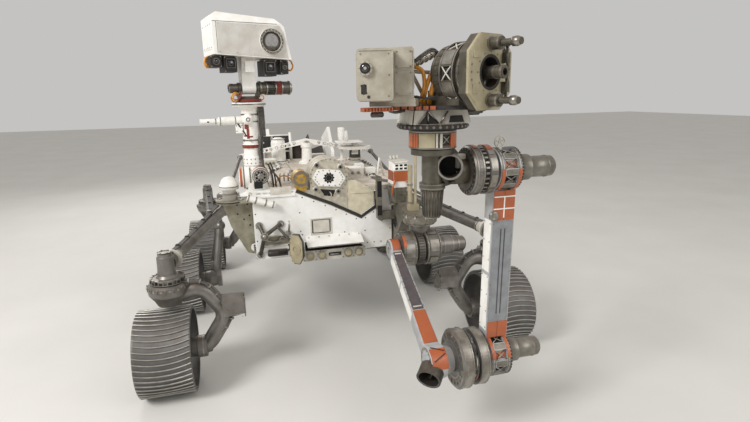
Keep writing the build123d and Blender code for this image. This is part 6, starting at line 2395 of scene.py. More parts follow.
@dataclass
class MastTube:
    """Dress of the tube, the fold-out drum at its foot and the wind booms."""

    face_x: float = -0.482
    face_z: float = 1.256
    hinge: Pair = (-0.81, 1.242)
    centre: Pair = (-0.52, -0.8)
    body: str = "rover_body"

    def tube(self) -> None:
        """Harness, straps, bands, clamps and flange screws."""
        x, y = self.centre
        m = Mesher("mast_harness", self.body, "braid")
        for k, dx in enumerate((0.058, 0.068, 0.078, 0.088)):
            m.tube([
                (x + dx, y - 0.0385, 1.51), (x + dx, y - 0.04, 1.6), (x + dx * 0.98, y - 0.0395, 1.7)
            ], 0.0055)
        m.tube([
            (x + 0.06, y - 0.036, 1.515), (x + 0.05, y - 0.044, 1.46), (x + 0.046, y - 0.05, 1.39),
            (x + 0.062, y - 0.05, 1.32), (x + 0.075, y - 0.02, 1.19)
        ], 0.0085)
        m.tube([
            (x + 0.07, y - 0.02, 1.515), (x + 0.062, y - 0.022, 1.44), (x + 0.064, y - 0.02, 1.3),
            (x + 0.085, y + 0.01, 1.18)
        ], 0.0085)
        m.done()
        m = Mesher("mast_straps", self.body, "wrap")
        m.sector((x, y, 0), Axis3.UP, 0.0602, 0.0028, WHOLE, (1.4375, 1.4585), 48)
        strap = (
            ((-134, -104), (1.562, 1.592), 6), ((-120, -103), (1.5, 1.562), 4),
            ((-144, -120), (1.513, 1.522), 5), ((-103, -80), (1.508, 1.517), 5)
        )
        for turn, along, steps in strap:
            m.sector((x, y, 0), Axis3.UP, 0.0542, 0.0026, turn, along, steps)
        m.done()
        m = Mesher("mast_bands", self.body, "machined")
        for z, r in ((1.484, 0.0542), (1.604, 0.0542), (1.65, 0.0542), (1.69, 0.0542)):
            m.ring((x, y, z), Axis3.UP, r + 0.0022, r - 0.001, 0.009, 48)
        m.sector((x, y, 0), Axis3.UP, 0.1078, 0.0012, WHOLE, (1.7135, 1.7235), 56)
        for a in (-150, -96, -40, 30, 90):
            deg = radians(a)
            m.box(
                (x + 0.058 * cos(deg) - 0.006, y + 0.058 * sin(deg) - 0.006, 1.482),
                (x + 0.058 * cos(deg) + 0.006, y + 0.058 * sin(deg) + 0.006, 1.495)
            )
        m.done()
        b = Bolts("mast_bolts", self.body, 0.0036, 0.0024)
        b.circle((x, y, 1.7302), Axis3.UP, 0.092, 24, 0.9)
        for z in (1.338, 1.364):
            b.rim((x, y, z), Axis3.UP, 0.062, 14, 0.8)
        b.done()

    def drum(self) -> None:
        """Face, spokes, collars and straps of the fold-out drum, and the base's screws."""
        m = Mesher("drum_face_rings", self.body, "machined")
        m.ring((self.face_x, -0.9082, self.face_z), Axis3.AHEAD, 0.0445, 0.036, 0.0035, 48)
        m.ring((self.face_x, -0.9002, self.face_z), Axis3.AHEAD, 0.0545, 0.0495, 0.004, 48)
        m.lathe(
            (self.face_x, -0.9082, self.face_z), Axis3.AHEAD,
            [(0, 0.017), (0.004, 0.017), (0.0055, 0.012), (0.0055, 0.004)],
            28
        )
        for k in range(8):
            a = radians(45 * k)
            out = Vector((cos(a), 0, sin(a)))
            at = Vector((self.face_x, -0.9095, self.face_z))
            m.tube([at + out * 0.015, at + out * 0.037], 0.0028, 8, 0)
        m.done()
        # Painted shade in the openings of the drum's face and below it
        m = Mesher("drum_face_dark", self.body, "void")
        for k in range(8):
            m.sector(
                (self.face_x, 0, self.face_z), Axis3.AHEAD, 0.02, 0.0145, (45 * k + 8, 45 * k + 37),
                (0.908, 0.9088), 4
            )
        m.box((-0.527, -0.9305, 1.178), (-0.473, -0.9295, 1.226), 0)
        m.done()
        m = Mesher("drum_wraps", self.body, "flex", "orange_flex")
        m.sector((0, *self.hinge), Axis3.ACROSS, 0.0622, 0.0032, WHOLE, (-0.6145, -0.6), 40)
        m.sector((self.face_x, -0.9, self.face_z), Axis3.AHEAD, 0.0552, 0.0022, WHOLE, (-0.052, -0.04), 40)
        m.done()
        m = Mesher("drum_bands", self.body, "olive")
        for x0, x1, r in ((-0.592, -0.584, 0.0742), (-0.552, -0.543, 0.0742), (-0.52, -0.512, 0.0662)):
            m.sector((0, *self.hinge), Axis3.ACROSS, r, 0.0022, WHOLE, (x0, x1), 48)
        for k in range(3):
            m.sector(
                (self.face_x, 0, self.face_z), Axis3.AHEAD, 0.0552, 0.002, WHOLE,
                (0.775 + 0.035 * k, 0.783 + 0.035 * k), 40
            )
        m.done()
        m = Mesher("drum_straps", self.body, "black")
        m.strip([
            (-0.428, -0.872, 1.33), (-0.412, -0.884, 1.285), (-0.404, -0.888, 1.22), (-0.402, -0.884, 1.16)
        ], (1, 0.3, 0), 0.012, 0.003)
        m.strip([
            (-0.412, -0.852, 1.335), (-0.394, -0.866, 1.28), (-0.386, -0.872, 1.215), (-0.384, -0.868, 1.16)
        ], (1, 0.3, 0), 0.01, 0.003)
        m.tube([(-0.42, -0.862, 1.3), (-0.372, -0.9, 1.24), (-0.352, -0.905, 1.17)], 0.006)
        m.done()
        b = Bolts("drum_bolts", self.body, 0.0038, 0.0024)
        b.circle((self.face_x, -0.904, self.face_z), Axis3.AHEAD, 0.052, 16, 0.7)
        b.circle((self.face_x, -0.9115, self.face_z), Axis3.AHEAD, 0.0405, 16, 0.6)
        b.circle((-0.6205, *self.hinge), Axis3.OUT_RIGHT, 0.04, 10, 0.9)
        for dx in (-0.056, 0.056):
            for dy in (-0.078, 0.0, 0.078):
                b.at((-0.51 + dx, -0.79 + dy, 1.164), Axis3.UP, 1.3)
        b.done()

    def booms(self) -> None:
        """Rings, sensor pads and wires of the wind booms."""
        m = Mesher("boom_rings", self.body, "machined")
        root, joint, tip = Vector((
            -0.565, -0.82, 1.617
        )), Vector((-0.72, -0.836, 1.617)), Vector((-0.83, -0.85, 1.617))
        aim = (joint - root).normalized()
        for t in (0.3, 0.9):
            m.ring(root.lerp(joint, t), aim, 0.0285, 0.026, 0.005, 32)
        aim = (tip - joint).normalized()
        m.ring(joint.lerp(tip, 0.12), aim, 0.019, 0.016, 0.005, 28)
        m.ring((-0.534, -0.8945, 1.625), Axis3.AHEAD, 0.014, 0.008, 0.003, 24)
        m.done()
        m = Mesher("boom_pads", self.body, "black")
        m.block(
            basis(joint.lerp(tip, 0.55) + Vector((0, -0.0172, -0.002)), Axis3.AHEAD),
            (0.012, 0.008, 0.002), 0.0004
        )
        m.tube([
            (-0.6, -0.846, 1.6), (-0.592, -0.845, 1.585), (-0.575, -0.835, 1.56), (-0.552, -0.845, 1.52)
        ], 0.004)
        m.done()
        b = Bolts("boom_bolts", self.body, 0.0024, 0.0015)
        for dx in (-0.017, 0.017):
            for dz in (-0.017, 0.017):
                b.at((-0.592 + dx, -0.8412, 1.567 + dz), Axis3.AHEAD)
        b.done()

    def build(self) -> None:
        """Builds the mast's dress."""
        self.tube()
        self.drum()
        self.booms()


MAST_PARTS = (MastHead(), MastTube())


# Body front: carousel, hazard cameras, tool rack, blankets and fittings


@dataclass
class Carousel:
    """Dress of the carousel's cover, port plate, bib and golden cap."""

    cap_x: float = -0.224
    cap_z: float = 1.229
    housing_x: float = -0.035
    housing_z: float = 1.225
    plate_y: float = -0.956
    cover_y: float = -0.936
    port: Pair = (-0.038, 1.226)
    outline: tuple[Pair, ...] = (
        (-0.15, 1.228), (-0.108, 1.29), (0.042, 1.272), (0.076, 1.216), (0.036, 1.16), (-0.112, 1.174)
    )
    bosses: tuple[Pair, ...] = ((-0.117, 1.316), (0.042, 1.294), (-0.13, 1.152), (0.022, 1.13))
    body: str = "rover_body"

    def plate(self) -> None:
        """Rim, screws and the scalloped dark port."""
        x, z = self.port
        plane = basis((0, self.plate_y - 0.0002, 0), Axis3.AHEAD)
        m = Mesher("port_plate_face", self.body, "white", "cream_cover")
        middle = (-0.038, 1.225)
        inner = [
            (middle[0] + (px - middle[0]) * 0.93, middle[1] + (pz - middle[1]) * 0.93) for px,
            pz in self.outline
        ]
        m.plate(plane, inner, 0.0022, 0.0008)
        m.done()
        # Painted shade in the port, its scallops and the patch below the housing
        m = Mesher("port_dark", self.body, "void")
        m.lathe((x, self.plate_y - 0.0026, z), Axis3.AHEAD, [(0, 0.03), (0.0008, 0.03)], 36)
        for k in range(10):
            a = 2 * pi * k / 10
            m.lathe(
                (x + 0.0315 * cos(a), self.plate_y - 0.0026, z + 0.0315 * sin(a)),
                Axis3.AHEAD, [(0, 0.0062), (0.0008, 0.0062)], 14
            )
        m.plate(
            basis((0, self.cover_y - 0.0003, 0), Axis3.AHEAD),
            [(-0.098, 1.15), (0.006, 1.136), (-0.012, 1.094), (-0.07, 1.102)],
            0.0012, 0
        )
        m.done()
        m = Mesher("port_ring", self.body, "machined")
        m.ring((x, self.plate_y - 0.0034, z), Axis3.AHEAD, 0.0225, 0.02, 0.0012, 32)
        for bx, bz in self.bosses:
            m.ring((bx, -0.9622, bz), Axis3.AHEAD, 0.0168, 0.0085, 0.0028, 28)
        m.done()
        # Painted shade in the bosses' holes
        m = Mesher("boss_holes", self.body, "void")
        for bx, bz in self.bosses:
            m.lathe((bx, -0.9622, bz), Axis3.AHEAD, [(0, 0.0088), (0.0006, 0.0088)], 20)
        m.done()
        b = Bolts("port_bolts", self.body, 0.003, 0.0018)
        for i, (px, pz) in enumerate(inner):
            qx, qz = inner[(i + 1) % 6]
            for t in (0.18, 0.5, 0.82):
                sx, sz = px + (qx - px) * t, pz + (qz - pz) * t
                b.at((
                    middle[0] + (sx - middle[0]) * 0.93, self.plate_y - 0.0024,
                    middle[1] + (sz - middle[1]) * 0.93
                ), Axis3.AHEAD)
        b.circle((self.housing_x, self.cover_y - 0.0002, self.housing_z), Axis3.AHEAD, 0.1235, 26, 1.1)
        b.done()

    def cover(self) -> None:
        """Flange and folds of the housing, the bib's fold and the golden cap's rims."""
        m = Mesher("cover_flange", self.body, "cream")
        for wall, along in ((0.003, (0.925, 0.9355)), (0.0026, (0.862, 0.872)), (0.0026, (0.79, 0.8))):
            m.sector((self.housing_x, 0, self.housing_z), Axis3.AHEAD, 0.1302, wall, (-20, 196), along, 44)
        m.done()
        m = Mesher("cover_folds", self.body, "housing", "tan_blanket")
        for k in range(5):
            x0 = -0.15 + 0.058 * k
            m.tube([
                (x0, -0.9362, 1.138 - 0.005 * k), (x0 + 0.012, -0.9375, 1.118 - 0.006 * k),
                (x0 + 0.004, -0.936, 1.1 - 0.007 * k)
            ], (0.002, 0.005, 0.002), 8)
        m.done()
        Mesher("bib_folds", self.body, "bib").strip([
            (0.096, -0.9435, 1.11), (0.18, -0.946, 1.112), (0.268, -0.9435, 1.108)
        ], (0, 0, 1), 0.014, 0.003).done()
        m = Mesher("yellow_cap_rim", self.body, "machined")
        rims = (
            (-0.9562, 0.0395, 0.034, 0.002, 40), (-0.9464, 0.0525, 0.0425, 0.002, 40),
            (-0.9562, 0.01, 0.005, 0.003, 20)
        )
        for y, *sizes in rims:
            m.ring((self.cap_x, y, self.cap_z), Axis3.AHEAD, *sizes)
        m.done()
        b = Bolts("yellow_cap_bolts", self.body, 0.0026, 0.0016)
        b.circle((self.cap_x, -0.9484, self.cap_z), Axis3.AHEAD, 0.0475, 12)
        b.done()

    def build(self) -> None:
        """Builds the carousel's dress."""
        self.plate()
        self.cover()


@dataclass
class FrontPanel:
    """Dress of the front panel: V seam, pockets, covered cameras, bolts and tool rack."""

    front: float = -0.95
    body: str = "rover_body"

    def panel(self) -> None:
        """V seam with its trim, pocket floors and frames, the box in a pocket, and bolts."""
        y = self.front - 0.0002
        m = Mesher("panel_v_seam", self.body, "black")
        seam = [(-0.262, 1.15), (-0.029, 1.048), (0.179, 0.939), (0.287, 1.006), (0.287, 1.112)]
        m.strip([(x, y - 0.0008, z) for x, z in seam], (0, 1, 0), 0.003, 0.024, 0)
        m.done()
        m = Mesher("panel_v_trim", self.body, "machined")
        low = [(-0.262, 1.139), (-0.032, 1.037), (0.18, 0.926), (0.299, 1.0), (0.299, 1.112)]
        m.strip([(x, y - 0.0008, z) for x, z in low], (0, 1, 0), 0.0035, 0.0045, 0)
        m.done()
        m = Mesher("panel_pocket_floors", self.body, "drab")
        for x, z, w, h in (
            (-0.102, 0.893, 0.132, 0.1), (-0.408, 0.818, 0.168, 0.066), (-0.022, 0.768, 0.35, 0.052)
        ):
            m.box(
                (x - w / 2 + 0.001, -0.9225, z - h / 2 + 0.001),
                (x + w / 2 - 0.001, -0.9212, z + h / 2 - 0.001), 0
            )
        m.box((0.293, self.front - 0.001, 1.02), (0.325, self.front + 0.0002, 1.07), 0)
        m.done()
        m = Mesher("panel_frames", self.body, "cream")
        for x, z, w, h in ((-0.102, 0.893, 0.132, 0.1), (-0.408, 0.818, 0.168, 0.066)):
            for cx, cz, fw, fh in (
                (x, z + h / 2 + 0.004, w + 0.016, 0.008), (x, z - h / 2 - 0.004, w + 0.016, 0.008),
                (x - w / 2 - 0.004, z, 0.008, h), (x + w / 2 + 0.004, z, 0.008, h)
            ):
                m.box((cx - fw / 2, y - 0.002, cz - fh / 2), (cx + fw / 2, y, cz + fh / 2), 0.0006)
        m.done()
        Mesher("pocket_box", self.body, "cream").box(
            (-0.158, -0.946, 0.85), (-0.046, -0.923, 0.936), 0.002
        ).done()
        m = Mesher("pocket_box_detail", self.body, "machined")
        m.tube([(-0.48, -0.934, 0.825), (-0.42, -0.938, 0.808), (-0.34, -0.934, 0.828)], 0.006)
        m.ring((-0.37, -0.923, 0.822), Axis3.AHEAD, 0.02, 0.01, 0.012, 28)
        m.done()
        b = Bolts("panel_bolts", self.body, 0.003, 0.0018, "black")
        for (x0, z0), (x1, z1) in zip(low, low[1:]):
            n = max(2, round(hypot(x1 - x0, z1 - z0) / 0.09))
            for k in range(n):
                t = (k + 0.5) / n
                b.at((x0 + (x1 - x0) * t, y, z0 + (z1 - z0) * t - 0.018), Axis3.AHEAD)
        rows = (
            (-0.535, 1.105, -0.535, 0.735, 5), (0.388, 1.1, 0.388, 0.75, 5), (-0.52, 0.722, -0.27, 0.722, 6),
            (0.22, 0.745, 0.37, 0.745, 4), (-0.235, 0.845, 0.205, 0.835, 4), (-0.245, 1.0, -0.245, 0.87, 2)
        )
        for x0, z0, x1, z1, count in rows:
            b.row((x0, y, z0), (x1, y, z1), Axis3.AHEAD, count)
        b.done()

    def cameras(self) -> None:
        """Round covers with their rims, painted shade in the gap and under the visor, the gap's tube, bar
        screws and visor lip.
        """
        m = Mesher("hazard_lens_rims", self.body, "machined")
        k = Mesher("hazard_covers", self.body, "khaki")
        for x in (-0.195, -0.114, 0.07, 0.145):
            k.lathe((x, -1.0042, 0.702), Axis3.AHEAD, [
                (0, 0.023), (0.0022, 0.0222), (0.0032, 0.014), (0.0034, 0.0006)
            ], 36)
            m.ring((x, -1.0042, 0.702), Axis3.AHEAD, 0.029, 0.0236, 0.0028, 36)
        m.done()
        k.done()
        # Painted shade in the gap between the cameras and in the recess under the visor
        m = Mesher("hazard_dark", self.body, "void")
        m.box((-0.065, -0.9915, 0.689), (0.021, -0.9898, 0.711), 0)
        m.box((-0.222, -0.989, 0.7372), (0.176, -0.951, 0.7386), 0)
        m.box((-0.222, -0.9516, 0.7386), (0.176, -0.9502, 0.79), 0)
        m.done()
        Mesher("hazard_slot_tube", self.body, "machined").tube([
            (-0.06, -0.9945, 0.7), (0.016, -0.9945, 0.7)
        ], 0.0055, 14, 0).done()
        b = Bolts("hazard_bolts", self.body, 0.0036, 0.0022)
        for x in (-0.236, -0.155, -0.085, 0.035, 0.108, 0.186):
            for z in (0.672, 0.73):
                b.at((x, -0.9902, z), Axis3.AHEAD)
        b.done()
        Mesher("visor_lip", self.body, "machined").strip([
            (-0.213, -1.0545, 0.7795), (0.168, -1.0545, 0.7795)
        ], (0, 0.35, 0.94), 0.006, 0.002, 0).done()
        b = Bolts("visor_bolts", self.body, 0.0036, 0.002)
        for k in range(6):
            b.at((-0.195 + 0.07 * k, -0.968, 0.8245), (0, -0.38, 0.92), 0.9)
        b.done()

    def rack(self) -> None:
        """Restraint's hub, pins, paddle ring and the dark mechanism below it."""
        m = Mesher("rack_hub", self.body, "machined")
        m.ball((-0.489, -1.012, 0.872), 0.018)
        m.ring((-0.489, -1.0065, 0.872), Axis3.AHEAD, 0.026, 0.018, 0.006, 32)
        for foot in ((-0.516, -0.953, 0.935), (-0.376, -0.953, 0.935), (-0.521, -0.953, 0.733)):
            m.ring(foot, Axis3.AHEAD, 0.024, 0.014, 0.005, 28)
        place = Matrix.Translation((-0.282, -1.052, 0.782)) @ Matrix((
            (0.8, 0, -0.6), (-0.6, 0, -0.8), (0, 1, 0)
        )).to_4x4()
        m.tube([
            (-0.33, -1.0, 0.88), (-0.324, -1.004, 0.93), (-0.325, -1.003, 0.965)
        ], (0.007, 0.007, 0.004), 10, 0)
        m.box((-0.345, -1.01, 0.87), (-0.315, -0.955, 0.886))
        m.done()
        m = Mesher("rack_paddle_ring", self.body, "khaki")
        m.ring(place @ Vector((0, 0, 0.0201)), (-0.6, -0.8, 0), 0.0336, 0.0214, 0.0066, 40)
        m.lathe(place @ Vector((0, 0, 0.0202)), (-0.6, -0.8, 0), [(0, 0.0213), (0.001, 0.0213)], 36)
        m.done()
        m = Mesher("rack_paddle_face", self.body, "khaki")
        low, high = (0.0202, 0.0216)
        eight = [
            (0.046, -0.055), (0.046, 0.055), (0.022, 0.097), (-0.022, 0.097), (-0.046, 0.055),
            (-0.046, -0.055), (-0.022, -0.097), (0.022, -0.097)
        ]
        m.holed(place, eight, 0.0335, low, high, 40)
        m.holed(place, eight, 0.0335, -0.0016, -0.0002, 40)
        m.done()
        b = Bolts("rack_bolts", self.body, 0.0028, 0.0018)
        for u, v in (
            (-0.033, -0.082), (0.033, -0.082), (-0.033, 0.082), (0.033, 0.082), (-0.04, -0.045),
            (0.04, -0.045), (-0.04, 0.045), (0.04, 0.045)
        ):
            b.at(place @ Vector((u, v, 0.0216)), (-0.6, -0.8, 0))
        b.done()
        m = Mesher("rack_mechanism", self.body, "black")
        m.box((-0.47, -0.985, 0.722), (-0.34, -0.951, 0.762), 0.003)
        m.lathe((-0.475, -0.978, 0.742), Axis3.ACROSS, [
            (0, 0.012), (0.004, 0.018), (0.07, 0.018), (0.074, 0.012), (0.13, 0.012)
        ], 24)
        m.tube([(-0.35, -0.99, 0.745), (-0.33, -1.0, 0.775), (-0.335, -0.985, 0.8)], 0.005, 10)
        m.done()

    def fittings(self) -> None:
        """Rings and screws of the dome at the side, the canister and the ledge."""
        m = Mesher("side_fitting_rings", self.body, "machined")
        m.ring((-0.692, -0.725, 1.0802), Axis3.UP, 0.0945, 0.076, 0.004, 48)
        m.ring((-0.692, -0.725, 1.12), Axis3.UP, 0.066, 0.05, 0.006, 40)
        m.ring((-0.692, -0.725, 1.17), Axis3.UP, 0.066, 0.055, 0.006, 40)
        m.done()
        Mesher("side_fitting_dark", self.body, "black").sector(
            (-0.692, -0.725, 0), Axis3.UP, 0.0962, 0.001, WHOLE, (1.0655, 1.0745), 48
        ).done()
        m = Mesher("side_fitting_dome", self.body, "white", "white_paint")
        cap = [
            (1.0802, 0.0508), (1.15, 0.0448), (1.1552, 0.0648), (1.186, 0.0648), (1.1905, 0.057),
            (1.2145, 0.051), (1.2328, 0.033), (1.2392, 0.0104), (1.2394, 0.0004)
        ]
        m.lathe((-0.692, -0.725, 0), Axis3.UP, cap, 44)
        m.done()
        b = Bolts("side_fitting_bolts", self.body, 0.0044, 0.0026)
        b.circle((-0.692, -0.725, 1.0842), Axis3.UP, 0.086, 16)
        b.done()
        b = Bolts("side_plate_bolts", self.body, 0.0044, 0.0026, "black")
        for x, z in (
            (-0.65, 1.04), (-0.65, 0.975), (-0.58, 1.04), (-0.61, 0.935), (-0.572, 0.89), (-0.572, 0.96)
        ):
            b.at((x, -0.7372, z), Axis3.AHEAD)
        b.done()
        m = Mesher("canister_bands", self.body, "machined")
        first, last = Vector((-0.578, -0.982, 1.132)), Vector((-0.408, -0.982, 1.071))
        aim = (last - first).normalized()
        for t in (0.03, 0.3, 0.66, 0.93):
            m.lathe(first.lerp(last, t) - aim * 0.004, aim, [
                (0, 0.0225), (0.001, 0.0245), (0.008, 0.0245), (0.009, 0.0225)
            ], 28)
        m.done()

    def build(self) -> None:
        """Builds the front's dress."""
        self.panel()
        self.cameras()
        self.rack()
        self.fittings()


FRONT_PARTS = (Carousel(), FrontPanel())


# Deck: bolts, cables, arch, boxes, antennas and the rear


@dataclass
class Deck:
    """Dress of the deck plate, the differential beam and the boxes on the deck."""

    top: float = 1.148
    body: str = "rover_body"

    def plate(self) -> None:
        """Bolt grid, seams, cable runs with their ties, and hoses."""
        z = self.top
        b = Bolts("deck_bolt_grid", self.body, 0.005, 0.0028)
        for y in (-0.915, 0.775):
            b.row((-0.545, y, z), (0.545, y, z), Axis3.UP, 15)
        for x in (-0.558, 0.558):
            b.row((x, -0.9, z), (x, 0.76, z), Axis3.UP, 20)
        for y in (-0.4, -0.1, 0.2, 0.5):
            b.row((-0.5, y, z), (0.5, y, z), Axis3.UP, 9, 0.8)
        b.done()
        m = Mesher("deck_seams", self.body, "black")
        for y in (-0.395, 0.205):
            m.box((-0.565, y - 0.0015, z - 0.0006), (0.565, y + 0.0015, z + 0.0006), 0)
        for x in (-0.19, 0.2):
            m.box((x - 0.0015, -0.92, z - 0.0006), (x + 0.0015, 0.785, z + 0.0006), 0)
        m.done()
        m = Mesher("deck_cables", self.body, "braid")
        runs = (
            [
                (-0.43, -0.72, z + 0.01), (-0.42, -0.5, z + 0.01), (-0.405, -0.1, z + 0.01),
                (-0.3, 0.14, z + 0.01), (-0.3, 0.3, z + 0.01)
            ],
            [
                (-0.06, -0.6, z + 0.009), (0.04, -0.56, z + 0.009), (0.09, -0.4, z + 0.009),
                (0.09, 0.04, z + 0.009), (0.2, 0.15, z + 0.009)
            ],
            [
                (0.33, -0.52, z + 0.009), (0.4, -0.46, z + 0.009), (0.5, -0.1, z + 0.009),
                (0.5, 0.34, z + 0.009), (0.4, 0.47, z + 0.009)
            ],
            [(0.41, -0.86, z + 0.01), (0.37, -0.76, z + 0.01), (0.34, -0.62, z + 0.01)]
        )
        for run in runs:
            for k in range(3):
                m.tube([(x + 0.011 * k, y + 0.004 * k, q) for x, y, q in run], 0.0052, 8)
        m.done()
        ties(
            "deck_cable_ties", self.body,
            [[(x + 0.011, y + 0.004, q - 0.001) for x, y, q in run] for run in runs],
            0.085, 0.0175, 0.006, "white"
        )
        m = Mesher("deck_hoses", self.body, "amber")
        m.tube([
            (-0.25, -0.69, z + 0.03), (-0.3, -0.64, z + 0.06), (-0.345, -0.65, z + 0.05),
            (-0.38, -0.7, z + 0.008)
        ], 0.005)
        m.tube([
            (-0.13, -0.68, z + 0.132), (-0.08, -0.72, z + 0.12), (-0.05, -0.7, z + 0.06),
            (-0.06, -0.66, z + 0.01)
        ], 0.005)
        m.tube([
            (0.18, -0.58, z + 0.076), (0.15, -0.64, z + 0.09), (0.12, -0.66, z + 0.05),
            (0.105, -0.62, z + 0.01)
        ], 0.005)
        m.done()

    def beam(self) -> None:
        """Rims, hole liners and end pins of the perforated beam, and its links' ends."""
        m = Mesher("beam_hole_rims", self.body, "machined")
        for side in (-1, 1):
            for k in range(9):
                x = 0.115 + 0.0538 * k
                z = 1.378 - 0.122 * (x - 0.03) / 0.58
                if x < 0.56:
                    m.ring((side * x, 0.3978, z - 0.02), Axis3.AHEAD, 0.0135, 0.011, 0.0015, 24)
        m.lathe((0, 0.3975, 1.33), Axis3.AHEAD, [
            (0, 0.03), (0.008, 0.03), (0.012, 0.022), (0.012, 0.01)
        ], 36)
        for side in (-1, 1):
            m.ring((side * 0.606, 0.374, 1.25), Axis3.UP, 0.018, 0.01, 0.008, 24)
            m.ball((side * 0.7, -0.03, 1.05), 0.024)
        m.done()
        b = Bolts("beam_bolts", self.body, 0.0046, 0.003)
        b.circle((0, 0.3892, 1.33), Axis3.AHEAD, 0.024, 8, 0.7)
        b.done()

    def boxes(self) -> None:
        """Lids, feet, connectors, vents and bolts of the deck's boxes."""
        z = self.top
        frames = Mesher("box_lids", self.body, "white", "white_paint")
        plugs = Mesher("box_connectors", self.body, "machined")
        # Painted shade in the boxes' vents
        dark = Mesher("box_vents", self.body, "void")
        b = Bolts("box_bolts", self.body, 0.0034, 0.0022)
        for x, y, w, d, h in (
            (-0.18, -0.61, 0.15, 0.13, 0.06), (0.21, -0.52, 0.18, 0.12, 0.076),
            (-0.35, 0.38, 0.13, 0.15, 0.058), (0.11, 0.56, 0.17, 0.11, 0.064)
        ):
            frames.box(
                (x - w / 2 + 0.008, y - d / 2 + 0.008, z + h - 0.001),
                (x + w / 2 - 0.008, y + d / 2 - 0.008, z + h + 0.004)
            )
            for sx in (-1, 1):
                for sy in (-1, 1):
                    b.at((x + sx * (w / 2 - 0.016), y + sy * (d / 2 - 0.016), z + h + 0.004), Axis3.UP)
                    frames.box(
                        (x + sx * (w / 2 + 0.006) - 0.008, y + sy * (d / 2 - 0.02) - 0.01, z),
                        (x + sx * (w / 2 + 0.006) + 0.008, y + sy * (d / 2 - 0.02) + 0.01, z + 0.006)
                    )
            for k in range(3):
                cx = x - w / 4 + k * w / 4
                plugs.lathe(
                    (cx, y - d / 2, z + h * 0.55), Axis3.AHEAD,
                    [(0, 0.011), (0.008, 0.011), (0.009, 0.008), (0.014, 0.008)], 20
                )
            for k in range(5):
                dark.box(
                    (x + w / 2 - 0.0005, y - 0.035 + 0.014 * k, z + h * 0.3),
                    (x + w / 2 + 0.0008, y - 0.027 + 0.014 * k, z + h * 0.8), 0
                )
        for m in (frames, plugs, dark, b):
            m.done()

    def gear(self) -> None:
        """Posts with dark panels between them, the A-shaped bracket and the deck's small fittings."""
        z = self.top
        m = Mesher("deck_white_posts", self.body, "white", "white_paint")
        for x in (-0.48, -0.12):
            m.tube([(x, 0.69, z), (x, 0.7, 1.42)], 0.013, 14, 0)
            m.tube([(x, 0.69, 1.3), (x + 0.11, 0.7, 1.33)], 0.008, 12, 0)
        for low in (1.24, 1.395):
            m.tube([(-0.48, 0.7, low), (-0.12, 0.7, low)], 0.008, 12, 0)
        m.tube([(0.395, -0.6, z), (0.425, -0.565, 1.29), (0.47, -0.53, z + 0.004)], 0.008, 12, 0)
        m.tube([(0.4, -0.59, 1.2), (0.455, -0.545, 1.2)], 0.006, 12, 0)
        m.box((0.27, -0.42, z), (0.34, -0.35, z + 0.085), 0.003)
        m.box((0.352, -0.44, z), (0.43, -0.36, z + 0.05), 0.003)
        m.tube([(0.115, -0.33, z), (0.115, -0.33, z + 0.12)], 0.022, 20, 0)
        m.done()
        m = Mesher("deck_dark_panels", self.body, "black")
        for x in (-0.455, -0.285):
            m.box((x, 0.694, 1.25), (x + 0.15, 0.703, 1.388), 0.001)
        m.done()
        m = Mesher("deck_small_fittings", self.body, "machined")
        for x, y in ((0.115, -0.33), (-0.03, -0.18), (-0.22, -0.25), (0.02, 0.33)):
            m.lathe((x, y, z), Axis3.UP, [
                (0, 0.028), (0.012, 0.028), (0.016, 0.018), (0.04, 0.016), (0.042, 0.01)
            ], 24)
        for k in range(4):
            m.tube([
                (-0.33 + 0.03 * k, -0.52, z), (-0.33 + 0.03 * k, -0.52, z + 0.04),
                (-0.325 + 0.03 * k, -0.49, z + 0.055)
            ], 0.005, 10)
        m.done()

    def build(self) -> None:
        """Builds the deck's dress."""
        self.plate()
        self.beam()
        self.boxes()
        self.gear()


@dataclass
class Antennas:
    """Dress of the steered antenna, the round one and the low-gain one."""

    round_one: Pair = (-0.25, 0.56)
    steered: Pair = (0.41, 0.2)
    low_gain: Pair = (0.35, 0.5)

    def build(self) -> None:
        """Builds the face's cells, the feed, rings, seams and screws."""
        m = Mesher("antenna_face_cells", "antenna", "cream", "white_paint")
        for row in range(-3, 4):
            for k in range(7 - abs(row)):
                x = 0.41 + (k - (6 - abs(row)) / 2) * 0.036
                y = 0.2 + row * 0.0312
                m.lathe((x, y, 1.3118), Axis3.UP, [(0, 0.0165), (0.0016, 0.016)], 6, smooth=False)
        m.done()
        m = Mesher("antenna_feed", "antenna", "white", "white_paint")
        m.box((0.245, 0.12, 1.345), (0.47, 0.3, 1.357), 0.003)
        m.tube([(0.33, 0.18, 1.355), (0.33, 0.18, 1.42), (0.33, 0.18, 1.452)], (0.02, 0.016, 0.012), 20, 0)
        m.tube([(*self.steered, 1.31), (*self.steered, 1.35)], 0.03, 20, 0)
        m.done()
        Mesher("antenna_yoke_rings", "antenna_turntable", "machined").ring(
            (*self.steered, 1.185), Axis3.UP, 0.052, 0.04, 0.004, 40
        ).done()
        m = Mesher("round_antenna_seams", "rover_body", "machined")
        m.ring((*self.round_one, 1.165), Axis3.UP, 0.0855, 0.08, 0.006, 48)
        m.ring((*self.round_one, 1.372), Axis3.UP, 0.068, 0.06, 0.004, 48)
        m.ring((*self.low_gain, 1.3), Axis3.UP, 0.0255, 0.018, 0.006, 32)
        m.done()
        b = Bolts("antenna_bolts", "rover_body", 0.0042, 0.0026)
        b.circle((*self.round_one, 1.149), Axis3.UP, 0.094, 12)
        b.circle((*self.steered, 1.149), Axis3.UP, 0.088, 12)
        b.circle((*self.low_gain, 1.149), Axis3.UP, 0.044, 8)
        b.done()


